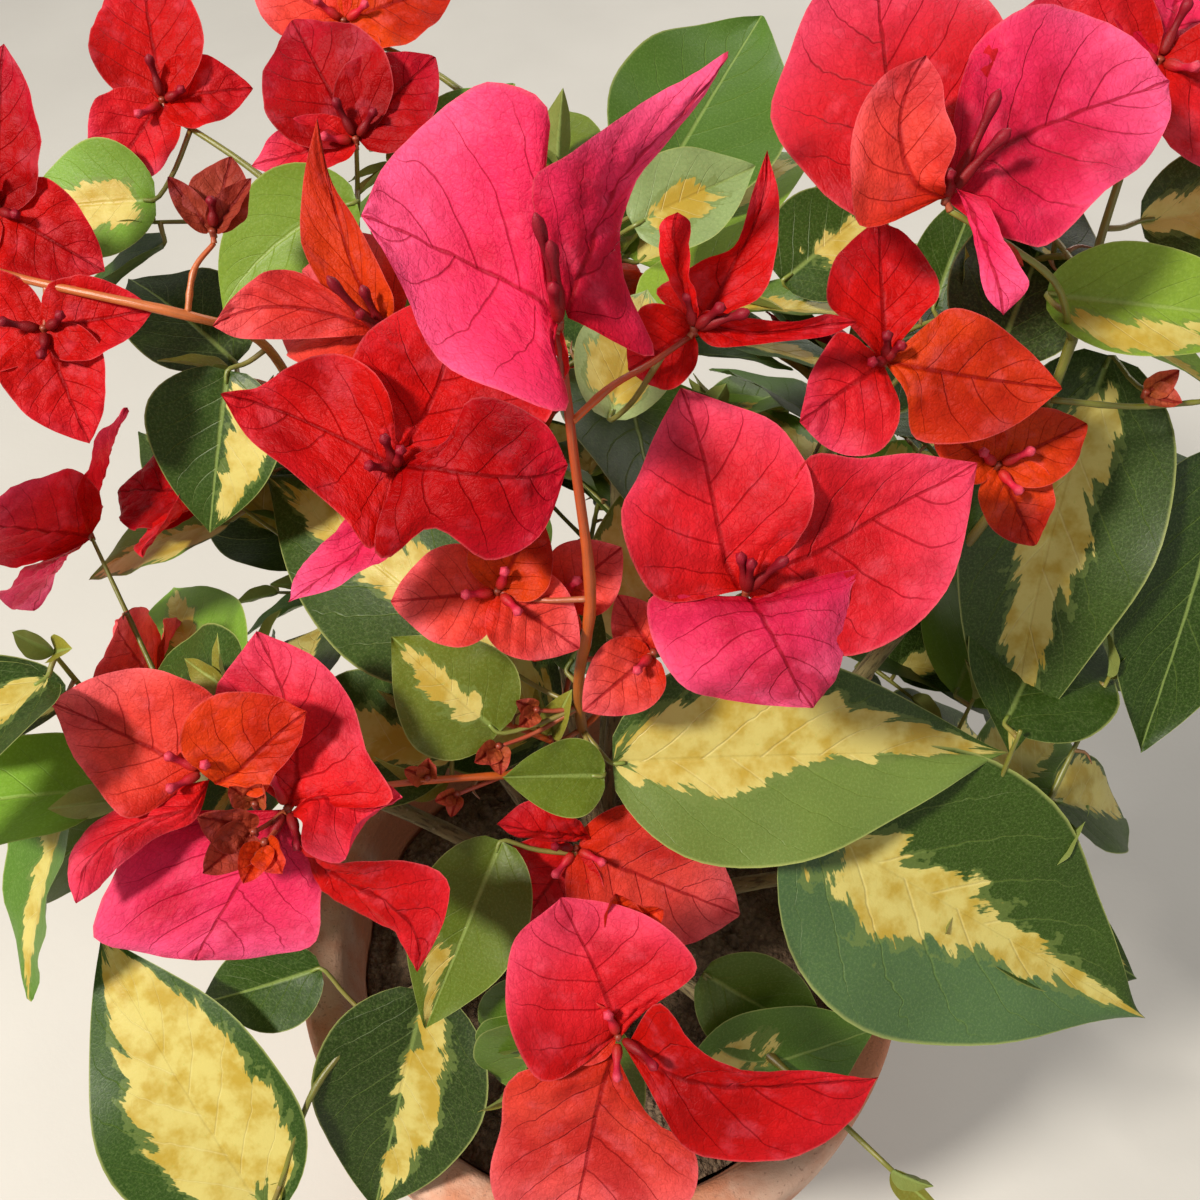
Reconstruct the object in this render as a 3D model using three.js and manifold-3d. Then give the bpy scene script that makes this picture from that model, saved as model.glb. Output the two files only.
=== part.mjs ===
// Bougainvillea in a terracotta pot, in full bloom.
// Millimetres, +Z up. The origin is the centre of the pot's flat underside.
// The plant's showing side faces -Y and up.
import * as THREE from "three";
import { mergeVertices } from "three/addons/utils/BufferGeometryUtils.js";
import Module from "manifold-3d";

const wasm = await Module();
wasm.setup();

// Clear space between neighbouring solids.
const GAP = 0.3;

// Pot, a turned terracotta flower pot with a rim band.
const POT_HEIGHT = 170;
const POT_RIM_RADIUS = 95;
const POT_BAND_HEIGHT = 28;
const POT_BAND_STEP = 5;
const POT_FOOT_RADIUS = 62;
const POT_WALL = 8;
const POT_EDGE = 2;
const POT_INNER_TOP = POT_RIM_RADIUS - POT_BAND_STEP - POT_WALL;
const POT_INNER_FOOT = POT_FOOT_RADIUS - POT_WALL;
const POT_FLOOR = 12;
const POT_SIDES = 30;
const DRAIN_HOLES = 3;
const DRAIN_RADIUS = 6;
const DRAIN_RING = 30;

// Soil, which fills the pot to a little under the rim.
const SOIL_DROP = 25;
const SOIL_LEVEL = POT_HEIGHT - SOIL_DROP;
const SOIL_LUMP = 2.5;
const SOIL_RINGS = 6;
const SOIL_SIDES = 18;
const SOIL_FLAT_RADIUS = 18;
const SOIL_SEED = 5;

// Trunk, from its flat cut on the soil to the fork.
const TRUNK_HEIGHT = 62;
const TRUNK_FOOT_RADIUS = 7;
const TRUNK_FORK_RADIUS = 5.4;
const TRUNK_FLARE = 6;
const TRUNK_FLARE_HEIGHT = 7;
const TRUNK_LEAN = [2, -1];
const TRUNK_SIDES = 12;
const TRUNK_STEPS = 9;

const BOUGH_SIDES = 6;
const BOUGH_STEPS = 4;
const STEM_SIDES = 4;
const STALK_SIDES = 3;
const TWIG_RADIUS = [1.2, 0.9];
const SHOOT_RADIUS = [1.3, 0.8];

// Blades. A leaf is thickest along its midrib and thins to its edge.
const LEAF_THICKNESS = 1.1;
const BRACT_THICKNESS = 0.9;
const LEAF_OUTLINE = { base: 0.6, tip: 1.1, lobe: 0.03 };
const BRACT_OUTLINE = { base: 0.5, tip: 0.92, lobe: 0.04 };
const STALK_RADIUS = 0.85;
const HEART_RADIUS = 1.7;

// How far along a blade its sections stand: one that is set by hand, and one that grows by rule.
const CLOSE_STOPS = [0.14, 0.42, 0.74];
const GROWN_STOPS = [0.25, 0.66];

// The crown's reach round its middle, for what grows by rule.
const CROWN_MIDDLE = [0, 15, 285];
const CROWN_REACH = [185, 165, 135];
const CLEAR_OF_OTHERS = 9;
const CLEAR_OF_OWN = 7;
const BLOOM_CLEARANCE_SHARE = 0.6;

// How a shoot grows: its place on the stem, its turn round the stem from the last shoot, how much
// it keeps along the stem, out of it and up, its length, and its rise and sag as shares of that.
const SHOOT_RULE = {
  first: 0.4, turn: 137.5, turnSpread: 50, along: 0.5, out: 0.85, up: 0.2,
  shortest: 0.7, lengthSpread: 0.5, rise: 0.1, sag: 0.04, spare: 0.04,
};

// How a shoot's leaves grow: their places along it, where each is tried, how much each keeps
// outwards, sideways and along the shoot, how far it droops and where it faces, and its form.
const LEAF_RULE = {
  places: [0.32, 0.59, 0.86], tries: 3, turn: 90, nextTurn: 75, turnSpread: 50, lead: 5,
  outwards: 0.75, sidewards: 0.8, along: 0.35, level: 0.05, droop: 0.45,
  faceOutwards: 0.45, faceSpread: 0.5,
  length: 64, shorterAbove: 18, shortest: 0.75, lengthSpread: 0.4,
  slimmest: 0.55, widthSpread: 0.12, bend: -20, sweepSpread: 24, rise: 14,
};

// How a bloom grows at a shoot's end: how much its axis keeps outwards and up, and its bracts.
const BLOOM_RULE = {
  bracts: 3, outwards: 0.8, tiltSpread: 0.6, up: 0.55, length: 34, sizeSpread: 8,
  turnSpread: 20, lift: 12, liftSpread: 26, shortest: 0.88, lengthSpread: 0.24,
  slimmest: 0.8, widthSpread: 0.16, bend: -22, bendSpread: 20, rise: 16,
};

// The showing side is seen from here. What grows by rule stays out of the lines of sight to what
// is set by hand, and to these places on the soil and the rim.
const SEEN_FROM = [0, -155, 533];
const SIGHT_WIDTH = 7;
const OPEN_PLACES = [[57, 7, 145], [83, -30, 165], [-85, -4, 165]];
const OPEN_WIDTH = 16;

// The showing side's plane leans back from level by this angle.
// On that plane a turn of 0 points to +X and a turn of 90 points up the plane.
const SHOW_TILT = 52;

const radians = THREE.MathUtils.degToRad;
const vector = (point) => new THREE.Vector3(point[0], point[1], point[2]);
const SHOW_RIGHT = new THREE.Vector3(1, 0, 0);
const FORK_TOP = SOIL_LEVEL + TRUNK_HEIGHT + 3 * GAP;
const SHOW_UP = new THREE.Vector3(0, Math.sin(radians(SHOW_TILT)), Math.cos(radians(SHOW_TILT)));
const SHOW_OUT = new THREE.Vector3(0, -Math.cos(radians(SHOW_TILT)), Math.sin(radians(SHOW_TILT)));

const TERRACOTTA = new THREE.MeshStandardMaterial({ color: 0xb5714c, roughness: 0.85, metalness: 0 });
const EARTH = new THREE.MeshStandardMaterial({ color: 0x6b5138, roughness: 0.95, metalness: 0 });
const BARK = new THREE.MeshStandardMaterial({ color: 0x8a6a4c, roughness: 0.8, metalness: 0 });
const BLOSSOM = new THREE.MeshStandardMaterial({ color: 0xd62a44, roughness: 0.6, metalness: 0 });
const FOLIAGE = new THREE.MeshStandardMaterial({ color: 0x3f7a35, roughness: 0.5, metalness: 0 });

// Boughs: the points of the limb's middle line, then its radius at the foot and at the tip.
const BOUGHS = [
  { name: "bough_centre", path: [[2, -1, FORK_TOP], [-2, 0, 240], [-4, 2, 270]], radius: [3.6, 2.8] },
  { name: "bough_left", path: [[-1, 0, 200], [-7, 24, 255], [-14, 28, 322]], radius: [2.8, 2] },
  { name: "bough_far_left", path: [[-1, 1, 184], [-40, 36, 236], [-74, 73, 300]], radius: [3.2, 2.2] },
  { name: "bough_back_left", path: [[0, 2, 190], [-28, 50, 250], [-55, 84, 318]], radius: [3, 2.2] },
  { name: "bough_back", path: [[0, 2, 198], [6, 52, 246], [4, 92, 308]], radius: [3, 2.2] },
  { name: "bough_back_right", path: [[1, 1, 186], [36, 44, 240], [62, 78, 308]], radius: [3, 2.2] },
  { name: "bough_middle_right", path: [[1, 1, 196], [32, 26, 245], [46, 34, 312]], radius: [2.8, 2] },
  { name: "bough_right", path: [[2, 0, 182], [48, 16, 232], [84, 32, 300]], radius: [3.2, 2.2] },
  { name: "bough_centre_right", path: [[2, 0, 202], [18, 14, 250], [27, 12, 300]], radius: [2.8, 2] },
  { name: "bough_low_right", path: [[2, -1, 172], [34, -6, 205], [62, -10, 226]], radius: [2.8, 2] },
  { name: "bough_front", path: [[1, -2, 178], [0, -26, 208], [-2, -38, 236]], radius: [3, 2.2] },
  { name: "bough_front_left", path: [[-1, -1, 170], [-34, -26, 200], [-58, -44, 214]], radius: [2.8, 2] },
  { name: "bough_front_right", path: [[2, -2, 168], [26, -32, 196], [40, -50, 208]], radius: [2.8, 2] },
  { name: "bough_low_back_left", path: [[-1, 1, 173], [-30, 36, 208], [-50, 58, 230]], radius: [2.8, 2] },
  { name: "bough_low_back_right", path: [[1, 1, 179], [34, 34, 214], [58, 54, 238]], radius: [2.8, 2] },
  { name: "bough_low_back", path: [[0, 2, 169], [2, 40, 206], [4, 70, 228]], radius: [2.8, 2] },
  { name: "bough_low_left", path: [[-1, 0, 176], [-42, 6, 216], [-78, 8, 250]], radius: [2.8, 2] },
];

// A bract or leaf row holds, in millimetres and degrees:
// turn, lift, roll, length, width, bend, sweep, left, right and, where it twists, twist.
// Turn and lift aim the blade on the showing side, bend and lift are positive towards it,
// sweep is positive to the left, and left and right tell how far each half rises out of flat.
// A leaf row starts with the point where its blade begins.
const SPRAYS = [
  {
    name: "spray_crown_top",
    grows: { seed: 11, shoots: 5, length: 42, blooms: 0 },
    bough: "bough_centre",
    stem: [[-4, 2, 271], [-5, 2, 300], [-2, 0, 335], [-5, 4, 375], [-7, 9, 398]],
    radius: [2.4, 1.2],
    twigs: [[[-5, 5, 381], [2, 12, 383], [10, 20, 382], [17, 26, 383]]],
    blooms: [
      {
        heart: [-7, 9, 400],
        bracts: [
          [150, -24, 8, 53, 64, -12, 0, -50, 8],
          [60, 4, 0, 56, 42, -8, 0, 45, 50, -50],
          [215, -40, 0, 20, 18, -10, 0, 20, 20],
        ],
      },
      {
        heart: [18, 27, 384],
        bracts: [
          [94, 25, 10, 27, 15, 10, 0, 50, 50],
          [60, 5, 0, 38, 23, 8, 14, 60, 30],
          [3, 5, 0, 31, 17, 5, 8, 40, 40],
          [205, -35, 0, 17, 18, -10, 0, 20, 20],
        ],
      },
      {
        heart: [-22, 5, 331],
        bracts: [
          [185, 0, 0, 23, 23, -10, 0, 15, 15],
          [62, 15, 0, 20, 20, 10, 0, 20, 20],
          [325, 0, 0, 21, 21, -10, 0, 20, 20],
        ],
      },
      {
        heart: [-9, 6, 328],
        bracts: [
          [38, 5, 0, 17, 18, -10, 0, 15, 15],
          [248, -10, 0, 15, 15, 0, 0, 15, 15],
        ],
      },
      {
        heart: [12, 1, 314],
        bracts: [
          [219, 10, 0, 20, 18, -10, 0, 15, 15],
          [122, 0, 0, 15, 13, 0, 0, 15, 15],
        ],
      },
    ],
    leaves: [
      [[3, -8, 281], 3, 2, 0, 98, 53, -12, -4, 12, 16],
      [[2, 36, 352], 75, -30, 0, 44, 26, -10, 0, 25, 25],
      [[-24, -5, 290], 137, 12, 0, 34, 31, -8, 0, 12, 12],
      [[-8, 6, 300], 62, 0, 0, 17, 14, 0, 0, 20, 20],
      [[1, -12, 282], 178, 14, 0, 25, 20, 10, 0, 20, 20],
      [[-26, 14, 294], 143, -10, 0, 82, 46, -15, 0, 15, 15],
    ],
  },
  {
    name: "spray_upper_left",
    grows: { seed: 12, shoots: 5, length: 42, blooms: 0 },
    bough: "bough_left",
    stem: [[-14, 28, 323], [-18, 27, 336], [-30, 20, 350], [-40, 12, 361]],
    radius: [1.8, 1.1],
    twigs: [[[-26, 22, 346], [-34, 34, 355], [-42, 41, 364], [-44, 41, 369]]],
    blooms: [
      {
        heart: [-44, 41, 371],
        bracts: [
          [102, 0, 0, 38, 32, -10, 4, 45, 35],
          [179, -22, 0, 40, 30, -8, 0, -20, 50],
          [141, -30, 0, 36, 34, -12, 0, 15, 15],
        ],
      },
      {
        heart: [-40, 11, 363],
        bracts: [
          [158, -14, 0, 44, 38, -16, 0, 15, 15],
          [62, -8, 0, 50, 56, -14, 0, 10, 10],
          [343, 12, 0, 37, 50, -14, 0, 10, 15],
          [230, 2, 0, 35, 26, -10, 12, 75, 75],
        ],
      },
    ],
    leaves: [],
  },
  {
    name: "spray_centre_right",
    grows: { seed: 13, shoots: 3, length: 40, blooms: 0 },
    bough: "bough_centre_right",
    stem: [[27, 12, 301], [29, 6, 325], [29, -6, 344]],
    radius: [1.9, 1.2],
    twigs: [],
    blooms: [
      {
        heart: [29, -7, 346],
        bracts: [
          [107, -8, 0, 45, 46, -14, 0, 18, 45],
          [29, 0, 0, 56, 46, -12, 0, 30, 12],
          [300, 12, 0, 31, 48, -14, 0, 35, 15],
        ],
      },
    ],
    leaves: [],
  },
  {
    name: "spray_middle_right",
    grows: { seed: 14, shoots: 4, length: 45, blooms: 1 },
    bough: "bough_middle_right",
    stem: [[46, 34, 313], [51, 38, 345], [57, 35, 369]],
    radius: [1.9, 1.1],
    twigs: [],
    blooms: [
      {
        heart: [58, 34, 370],
        bracts: [
          [95, 0, 0, 30, 23, -14, 0, 15, 15],
          [352, 0, 0, 37, 28, -10, 0, 15, 25],
          [226, 4, 0, 25, 26, -14, 0, 20, 15],
        ],
      },
    ],
    leaves: [],
  },
  {
    name: "spray_top_right",
    grows: { seed: 15, shoots: 7, length: 48, blooms: 1 },
    bough: "bough_right",
    stem: [[84, 32, 301], [94, 35, 335], [99, 43, 368], [104, 58, 385], [111, 76, 408]],
    radius: [2.1, 1.2],
    twigs: [
      [[99, 43, 368], [88, 36, 388], [74, 32, 400], [63, 33, 406]],
      [[97, 38, 356], [116, 38, 354], [134, 41, 353]],
    ],
    blooms: [
      {
        heart: [62, 34, 408],
        bracts: [
          [110, -20, 0, 54, 54, -10, 0, 15, 25],
          [27, -8, 0, 49, 46, -12, 0, 10, 30],
          [105, 26, 0, 30, 28, -10, 0, 25, 10],
          [290, 36, 0, 29, 22, 0, 0, 60, 60],
        ],
      },
      {
        heart: [112, 78, 410],
        bracts: [
          [180, 0, 0, 36, 34, -10, 0, 20, 20],
          [70, -10, 0, 42, 38, -12, 0, 20, 20],
          [320, 10, 0, 38, 34, -12, 0, 20, 20],
        ],
      },
      {
        heart: [86, 28, 346],
        bracts: [
          [25, 0, 0, 22, 18, -10, 0, 20, 20],
          [300, -10, 0, 20, 18, -10, 0, 20, 20],
          [150, 10, 0, 18, 16, 0, 0, 20, 20],
        ],
      },
    ],
    leaves: [
      [[120, 64, 346], 251, -8, 0, 102, 50, -12, 20, 15, 15],
      [[92, 47, 377], 352, 8, 0, 48, 25, -14, 0, 30, 20],
      [[113, 62, 384], 8, 0, 0, 50, 28, -16, 0, 20, 20],
      [[152, 52, 326], 262, -12, 0, 80, 46, -10, 0, 15, 15],
    ],
  },
  {
    name: "spray_left_low",
    grows: { seed: 16, shoots: 4, length: 38, blooms: 0 },
    bough: "bough_centre",
    stem: [[-8, -2, 268], [-17, -9, 278], [-49, -19, 290], [-68, -27, 296]],
    radius: [1.6, 1],
    twigs: [[[-60, -24, 294], [-72, -22, 302], [-84, -25, 306]]],
    blooms: [
      {
        heart: [-85, -25, 307],
        bracts: [
          [157, -10, 0, 42, 36, -14, 0, 12, 12],
          [36, 30, 0, 28, 30, -10, 0, 20, 20],
          [214, 4, 0, 38, 26, -10, 0, 40, 30],
        ],
      },
      {
        heart: [-68, -30, 299],
        bracts: [
          [113, -14, 0, 43, 43, -14, 0, 15, 15],
          [238, -6, 0, 44, 52, -14, 0, 12, 12],
          [306, 10, 0, 46, 36, -10, 0, 20, 70, 40],
        ],
      },
    ],
    leaves: [],
  },
  {
    name: "spray_front",
    grows: { seed: 17, shoots: 4, length: 40, blooms: 0 },
    bough: "bough_front",
    stem: [[-2, -38, 237], [-1, -48, 250], [3, -66, 266]],
    radius: [2, 1.1],
    twigs: [[[-2, -39, 240], [-5, -30, 250], [-6, -22, 261]]],
    blooms: [
      {
        heart: [4, -69, 268],
        bracts: [
          [109, -2, 0, 38, 42, -14, 0, 15, 15],
          [343, 6, 0, 55, 34, -6, 14, 20, 20],
          [262, -6, 0, 52, 48, -16, 0, 12, 12],
          [168, -10, 0, 18, 15, 0, 0, 20, 20],
        ],
      },
      {
        heart: [-6, -21, 262],
        bracts: [
          [165, 16, 0, 26, 26, 10, 0, 50, 40],
          [336, -4, 0, 46, 38, -14, 0, 15, 15],
          [236, -14, 0, 34, 30, -14, 0, 15, 15],
        ],
      },
    ],
    leaves: [[[-24, -22, 268], 248, 0, 0, 52, 30, -14, 0, 20, 20]],
  },
  {
    name: "spray_front_left",
    grows: { seed: 18, shoots: 6, length: 50, blooms: 1 },
    bough: "bough_front_left",
    stem: [[-58, -44, 215], [-74, -62, 208], [-84, -82, 190]],
    radius: [1.8, 1.1],
    twigs: [],
    blooms: [],
    leaves: [
      [[-88, -88, 184], 122, 4, 0, 86, 54, -14, 0, 12, 12],
      [[-46, -42, 222], 256, -8, 0, 72, 48, -16, 0, 15, 15],
      [[-74, -36, 222], 200, -10, 0, 40, 26, -14, 0, 15, 15],
    ],
  },
  {
    name: "spray_front_right",
    grows: { seed: 19, shoots: 6, length: 52, blooms: 1 },
    bough: "bough_front_right",
    stem: [[40, -50, 209], [56, -66, 210], [72, -84, 214]],
    radius: [1.8, 1.1],
    twigs: [],
    blooms: [],
    leaves: [
      [[24, -62, 208], 12, -6, 0, 54, 36, -14, 0, 20, 20],
      [[27, -38, 224], 328, -6, 0, 42, 30, -14, 0, 20, 20],
    ],
  },
  {
    name: "spray_low_right",
    grows: { seed: 20, shoots: 8, length: 52, blooms: 2 },
    bough: "bough_low_right",
    stem: [[62, -10, 227], [88, -14, 236], [112, -18, 250]],
    radius: [1.8, 1.1],
    twigs: [],
    blooms: [],
    leaves: [[[52, 0, 252], 329, -4, 0, 110, 58, -12, 0, 15, 15]],
  },
  {
    name: "spray_far_left",
    grows: { seed: 21, shoots: 8, length: 48, blooms: 1 },
    bough: "bough_far_left",
    stem: [[-74, 73, 301], [-77, 72, 330], [-80, 62, 354], [-90, 55, 365], [-131, 62, 371], [-160, 66, 380]],
    radius: [2.1, 1.3],
    twigs: [[[-90, 55, 365], [-88, 62, 372], [-84, 67, 375]]],
    blooms: [
      {
        heart: [-84, 68, 377],
        bracts: [
          [78, 0, 0, 22, 19, -10, 0, 15, 15],
          [128, 10, 0, 14, 8, 0, 0, 40, 40],
          [50, 10, 0, 14, 8, 0, 0, 40, 40],
        ],
      },
      {
        heart: [-122, 54, 362],
        bracts: [
          [10, 5, 0, 24, 20, -10, 0, 20, 20],
          [290, 0, 0, 26, 24, -10, 0, 20, 20],
          [175, 0, 0, 26, 24, -10, 0, 20, 20],
        ],
      },
      {
        heart: [-134, 78, 376],
        bracts: [
          [80, 20, 0, 34, 24, -10, 0, 50, 20],
          [200, 0, 0, 32, 28, -10, 0, 20, 20],
          [330, 0, 0, 26, 24, -10, 0, 20, 20],
        ],
      },
    ],
    leaves: [[[-87, 60, 345], 258, -10, 0, 40, 34, -14, 0, 15, 15]],
  },
  {
    name: "spray_back_left",
    grows: { seed: 22, shoots: 8, length: 52, blooms: 1 },
    bough: "bough_back_left",
    stem: [[-55, 84, 319], [-62, 98, 345], [-84, 112, 362], [-108, 125, 372]],
    radius: [2, 1.1],
    twigs: [[[-62, 98, 345], [-60, 106, 360], [-59, 110, 371]]],
    blooms: [
      {
        heart: [-109, 127, 374],
        bracts: [
          [100, 0, 0, 36, 30, -10, 0, 20, 20],
          [10, 0, 0, 22, 20, -10, 0, 20, 20],
          [235, 0, 0, 28, 24, -10, 0, 20, 20],
        ],
      },
      {
        heart: [-59, 111, 373],
        bracts: [
          [118, 0, 0, 34, 34, -10, 0, 20, 20],
          [48, 0, 0, 28, 26, -10, 0, 20, 20],
          [192, 0, 0, 26, 16, -10, 0, 30, 30],
        ],
      },
    ],
    leaves: [
      [[-110, 106, 360], 183, 0, 0, 36, 30, -14, 0, 15, 15],
      [[-58, 96, 366], 196, 0, 0, 44, 28, -20, 40, 15, 15],
    ],
  },
  {
    name: "spray_back",
    grows: { seed: 23, shoots: 9, length: 55, blooms: 2 },
    bough: "bough_back",
    stem: [[4, 92, 309], [0, 104, 340], [-14, 118, 360], [-40, 138, 374], [-64, 151, 379]],
    radius: [2, 1.1],
    twigs: [],
    blooms: [
      {
        heart: [-66, 153, 381],
        bracts: [
          [150, 0, 0, 28, 26, -10, 0, 20, 20],
          [20, 0, 0, 30, 28, -10, 0, 20, 20],
          [265, 0, 0, 26, 24, -10, 0, 20, 20],
        ],
      },
    ],
    leaves: [
      [[14, 122, 350], 62, -12, 0, 72, 50, -16, 0, 15, 15],
      [[8, 92, 362], 28, 0, 0, 34, 25, -14, 0, 15, 15],
    ],
  },
  {
    name: "spray_back_right",
    grows: { seed: 24, shoots: 9, length: 58, blooms: 3 },
    bough: "bough_back_right",
    stem: [[62, 78, 309], [66, 92, 340], [72, 112, 368]],
    radius: [2, 1.1],
    twigs: [],
    blooms: [],
    leaves: [[[44, 84, 352], 40, 0, 0, 36, 29, -14, 0, 15, 15]],
  },
  {
    name: "spray_low_back_left",
    grows: { seed: 26, shoots: 5, length: 55, blooms: 2 },
    bough: "bough_low_back_left",
    stem: [[-50, 58, 231], [-72, 78, 242], [-94, 94, 258]],
    radius: [1.8, 1.1],
    twigs: [],
    blooms: [],
    leaves: [],
  },
  {
    name: "spray_low_back_right",
    grows: { seed: 27, shoots: 6, length: 55, blooms: 2 },
    bough: "bough_low_back_right",
    stem: [[58, 54, 239], [82, 72, 250], [104, 86, 264]],
    radius: [1.8, 1.1],
    twigs: [],
    blooms: [],
    leaves: [],
  },
  {
    name: "spray_low_back",
    grows: { seed: 28, shoots: 6, length: 55, blooms: 3 },
    bough: "bough_low_back",
    stem: [[4, 70, 229], [6, 94, 238], [8, 118, 248]],
    radius: [1.8, 1.1],
    twigs: [],
    blooms: [],
    leaves: [],
  },
  {
    name: "spray_low_left",
    grows: { seed: 25, shoots: 6, length: 55, blooms: 2 },
    bough: "bough_low_left",
    stem: [[-78, 8, 251], [-104, 8, 266], [-128, 6, 286]],
    radius: [1.8, 1.1],
    twigs: [],
    blooms: [],
    leaves: [],
  },
];

// A repeatable stream of numbers from 0 to 1.
function numbers(seed) {
  let state = seed >>> 0;
  return () => {
    state = (state + 0x6d2b79f5) >>> 0;
    let mixed = Math.imul(state ^ (state >>> 15), state | 1);
    mixed ^= mixed + Math.imul(mixed ^ (mixed >>> 7), mixed | 61);
    return ((mixed ^ (mixed >>> 14)) >>> 0) / 4294967296;
  };
}

// The closed body of a geometry, ready to be cut or joined.
function solidOf(geometry) {
  const bare = geometry.clone();
  bare.deleteAttribute("normal");
  bare.deleteAttribute("uv");
  const merged = mergeVertices(bare, 1e-5);
  return new wasm.Manifold(new wasm.Mesh({
    numProp: 3,
    vertProperties: new Float32Array(merged.attributes.position.array),
    triVerts: new Uint32Array(merged.index.array),
  }));
}

function geometryOf(solid) {
  const mesh = solid.getMesh();
  const geometry = new THREE.BufferGeometry();
  geometry.setAttribute("position", new THREE.BufferAttribute(new Float32Array(mesh.vertProperties), 3));
  geometry.setIndex(new THREE.BufferAttribute(new Uint32Array(mesh.triVerts), 1));
  geometry.computeVertexNormals();
  return geometry;
}

function closedGeometry(points, faces) {
  const geometry = new THREE.BufferGeometry();
  geometry.setAttribute("position", new THREE.Float32BufferAttribute(points.flatMap((p) => p.toArray()), 3));
  geometry.setIndex(faces.flat());
  return geometry;
}

// The largest piece of a solid, without the loose scraps.
function largest(solid) {
  const pieces = solid.decompose();
  return pieces.reduce((best, piece) => (piece.volume() > best.volume() ? piece : best));
}

// A tapering limb along smooth points, with flat ends.
function limb(path, radiusAt, sides, steps) {
  const curve = new THREE.CatmullRomCurve3(path.map(vector), false, "centripetal");
  const points = [];
  const faces = [];
  let across = new THREE.Vector3(1, 0, 0);
  for (let step = 0; step <= steps; step += 1) {
    const t = step / steps;
    const middle = curve.getPoint(t);
    const along = curve.getTangent(t);
    if (step === 0 && Math.abs(along.x) > 0.9) across.set(0, 1, 0);
    across = across.clone().addScaledVector(along, -across.dot(along)).normalize();
    const other = new THREE.Vector3().crossVectors(along, across);
    const radius = radiusAt(t);
    for (let side = 0; side < sides; side += 1) {
      const angle = (2 * Math.PI * side) / sides;
      points.push(middle.clone()
        .addScaledVector(across, radius * Math.cos(angle))
        .addScaledVector(other, radius * Math.sin(angle)));
    }
  }
  for (let step = 0; step < steps; step += 1) {
    for (let side = 0; side < sides; side += 1) {
      const a = step * sides + side;
      const b = step * sides + ((side + 1) % sides);
      faces.push([a, b, a + sides], [b, b + sides, a + sides]);
    }
  }
  const last = steps * sides;
  for (let side = 1; side < sides - 1; side += 1) {
    faces.push([0, side + 1, side], [last, last + side, last + side + 1]);
  }
  return closedGeometry(points, faces);
}

const taper = ([foot, tip]) => (t) => foot + (tip - foot) * t;

// The directions of a blade that is aimed on the showing side.
function aim(turn, lift, roll) {
  const along = SHOW_RIGHT.clone().multiplyScalar(Math.cos(radians(turn)))
    .addScaledVector(SHOW_UP, Math.sin(radians(turn)))
    .multiplyScalar(Math.cos(radians(lift)))
    .addScaledVector(SHOW_OUT, Math.sin(radians(lift)));
  const face = SHOW_OUT.clone().addScaledVector(along, -SHOW_OUT.dot(along)).normalize();
  const side = new THREE.Vector3().crossVectors(along, face);
  turnBoth(side, face, roll);
  return { along, side, face };
}

// How far across and up a strip reaches that leaves at an angle and turns steadily.
function arc(distance, start, rate) {
  if (Math.abs(rate) < 1e-6) return [distance * Math.cos(start), distance * Math.sin(start)];
  const end = start + rate * distance;
  return [(Math.sin(end) - Math.sin(start)) / rate, (Math.cos(start) - Math.cos(end)) / rate];
}

// Half the width of a blade, as a share of its widest, at a share of its length.
function outlineAt(outline, v) {
  if (v <= 0 || v >= 1) return 0;
  const peakAt = outline.base / (outline.base + outline.tip);
  const shape = (x) => x ** outline.base * (1 - x) ** outline.tip;
  return shape(v) / shape(peakAt);
}

// Points of a blade's middle surface: its midrib, and its left and right edge.
function bladeLines(foot, pose, form, outline, stops) {
  const along = pose.along.clone();
  const side = pose.side.clone();
  const face = pose.face.clone();
  const point = foot.clone();
  const lines = { left: [], middle: [], right: [], faces: [] };
  let reached = 0;
  for (const stop of stops) {
    const steps = Math.max(1, Math.round((stop - reached) * 24));
    const share = (stop - reached) / steps;
    for (let step = 0; step < steps; step += 1) {
      point.addScaledVector(along, form.length * share);
      turnBoth(along, face, form.bend * share);
      turnBoth(along, side, -form.sweep * share);
      turnBoth(side, face, form.twist * share);
    }
    reached = stop;
    const half = 0.5 * form.width * outlineAt(outline, stop);
    const back = outline.lobe * form.width * (1 - stop) ** 3;
    lines.middle.push(point.clone());
    lines.faces.push(face.clone());
    for (const [name, sign, rise] of [["left", -1, form.left], ["right", 1, form.right]]) {
      const [across, up] = arc(half, 0.45 * radians(rise), (1.1 * radians(rise)) / (0.5 * form.width));
      lines[name].push(point.clone()
        .addScaledVector(side, sign * across)
        .addScaledVector(face, up)
        .addScaledVector(along, -back));
    }
  }
  return lines;
}

// Turns the first direction towards the second by an angle in degrees, in their own plane.
function turnBoth(first, second, degrees) {
  const cosine = Math.cos(radians(degrees));
  const sine = Math.sin(radians(degrees));
  const kept = first.clone();
  first.multiplyScalar(cosine).addScaledVector(second, sine);
  second.multiplyScalar(cosine).addScaledVector(kept, -sine);
}

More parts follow.
